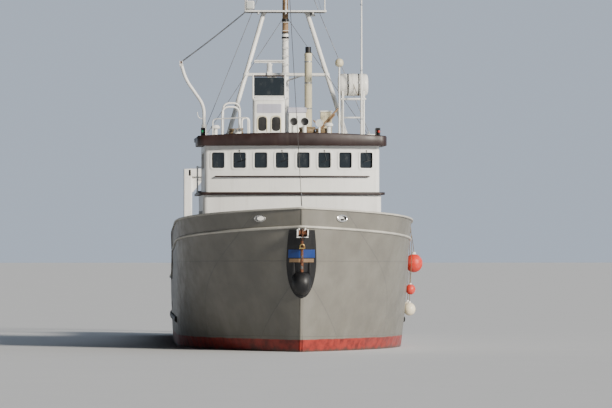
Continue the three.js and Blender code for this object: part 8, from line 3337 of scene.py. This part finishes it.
@dataclass
class Studio:
    """The floor at the water's surface, the lights and the camera."""

    eye: Place = (-7.2, -163.2, 4.0)
    aim: Place = (0.12, -13.2, 4.9)
    away: float = 150.0
    frame_width: float = 20.1
    sensor: float = 36.0
    reach: float = 420.0

    def camera(self) -> None:
        """Sets the camera 150 m ahead of the stem, 4 m above the water."""
        data = bpy.data.cameras.new("camera")
        data.sensor_width = self.sensor
        data.lens = self.sensor * self.away / self.frame_width
        data.clip_end = 2000.0
        camera = bpy.data.objects.new("camera", data)
        camera.location = self.eye
        camera.rotation_euler = (Vector(self.aim) - Vector(self.eye)).to_track_quat("-Z", "Y").to_euler()
        bpy.context.scene.collection.objects.link(camera)
        bpy.context.scene.camera = camera

    def light(self, name: str, direction: Place, strength: float, colour: Colour, spread: float) -> None:
        """Adds a soft sun that shines along a direction.

        Args:
            name: its name.
            direction: where its light goes.
            strength: its power.
            colour: its colour.
            spread: the angle in degrees that it fills, which softens its shadows.
        """
        data = bpy.data.lights.new(name, "SUN")
        data.energy = strength
        data.color = colour
        data.angle = math.radians(spread)
        lamp = bpy.data.objects.new(name, data)
        lamp.rotation_euler = Vector(direction).to_track_quat("-Z", "Y").to_euler()
        bpy.context.scene.collection.objects.link(lamp)

    def floor(self) -> None:
        """Lays the pale floor at the height of the water."""
        mesh = bpy.data.meshes.new("floor")
        side = self.reach
        corners = [(-side, -side, 0), (side, -side, 0), (side, side, 0), (-side, side, 0)]
        mesh.from_pydata(corners, [], [(0, 1, 2, 3)])
        nodes = Nodes("floor")
        mesh.materials.append(nodes.finish(
            Base_Color=nodes.blend(nodes.noise(0.4, 2), (0.6, 0.61, 0.62), (0.64, 0.65, 0.66)), Roughness=0.65,
        ))
        floor = bpy.data.objects.new("floor", mesh)
        bpy.context.scene.collection.objects.link(floor)

    def sky(self) -> None:
        """Fills the surroundings with pale light: an even band at the horizon, and above it less from starboard."""
        world = bpy.data.worlds.new("surroundings")
        world.use_nodes = True
        tree = world.node_tree
        shade = tree.nodes["Background"]
        shade.inputs["Color"].default_value = (0.72, 0.83, 1.0, 1)
        where = tree.nodes.new("ShaderNodeTexCoord")
        parts = tree.nodes.new("ShaderNodeSeparateXYZ")
        tree.links.new(where.outputs["Generated"], parts.inputs["Vector"])
        strongest = tree.nodes.new("ShaderNodeMath")
        strongest.operation = "MAXIMUM"
        spans = (("X", (-0.1, 0.6), (0.015, 0.9)), ("Z", (0.06, 0.12), (0.66, 0.0)))
        for place, (axis, (start, end), (first, last)) in enumerate(spans):
            spread = tree.nodes.new("ShaderNodeMapRange")
            spread.interpolation_type = "SMOOTHSTEP"
            for name, value in (("From Min", start), ("From Max", end), ("To Min", first), ("To Max", last)):
                spread.inputs[name].default_value = value
            tree.links.new(parts.outputs[axis], spread.inputs["Value"])
            tree.links.new(spread.outputs["Result"], strongest.inputs[place])
        tree.links.new(strongest.outputs["Value"], shade.inputs["Strength"])
        bpy.context.scene.world = world

    def build(self) -> None:
        """Sets up the studio."""
        self.camera()
        self.floor()
        self.sky()
        self.light("sun", (-0.68, 0.78, -0.39), 6.6, (1.0, 0.93, 0.82), 9.0)


def main() -> None:
    logging.basicConfig(level=logging.INFO, format="%(name)s: %(message)s", stream=sys.stdout)
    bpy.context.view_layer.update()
    sub_assemblies = [
        Studio(), Hull(), Houses(), Mast(), RoofGear(), BowGear(), DeckGear(), UnderWater(), Fenders(), Rigging(),
    ]
    for part in sub_assemblies:
        part.build()


if __name__ == "__main__":
    main()
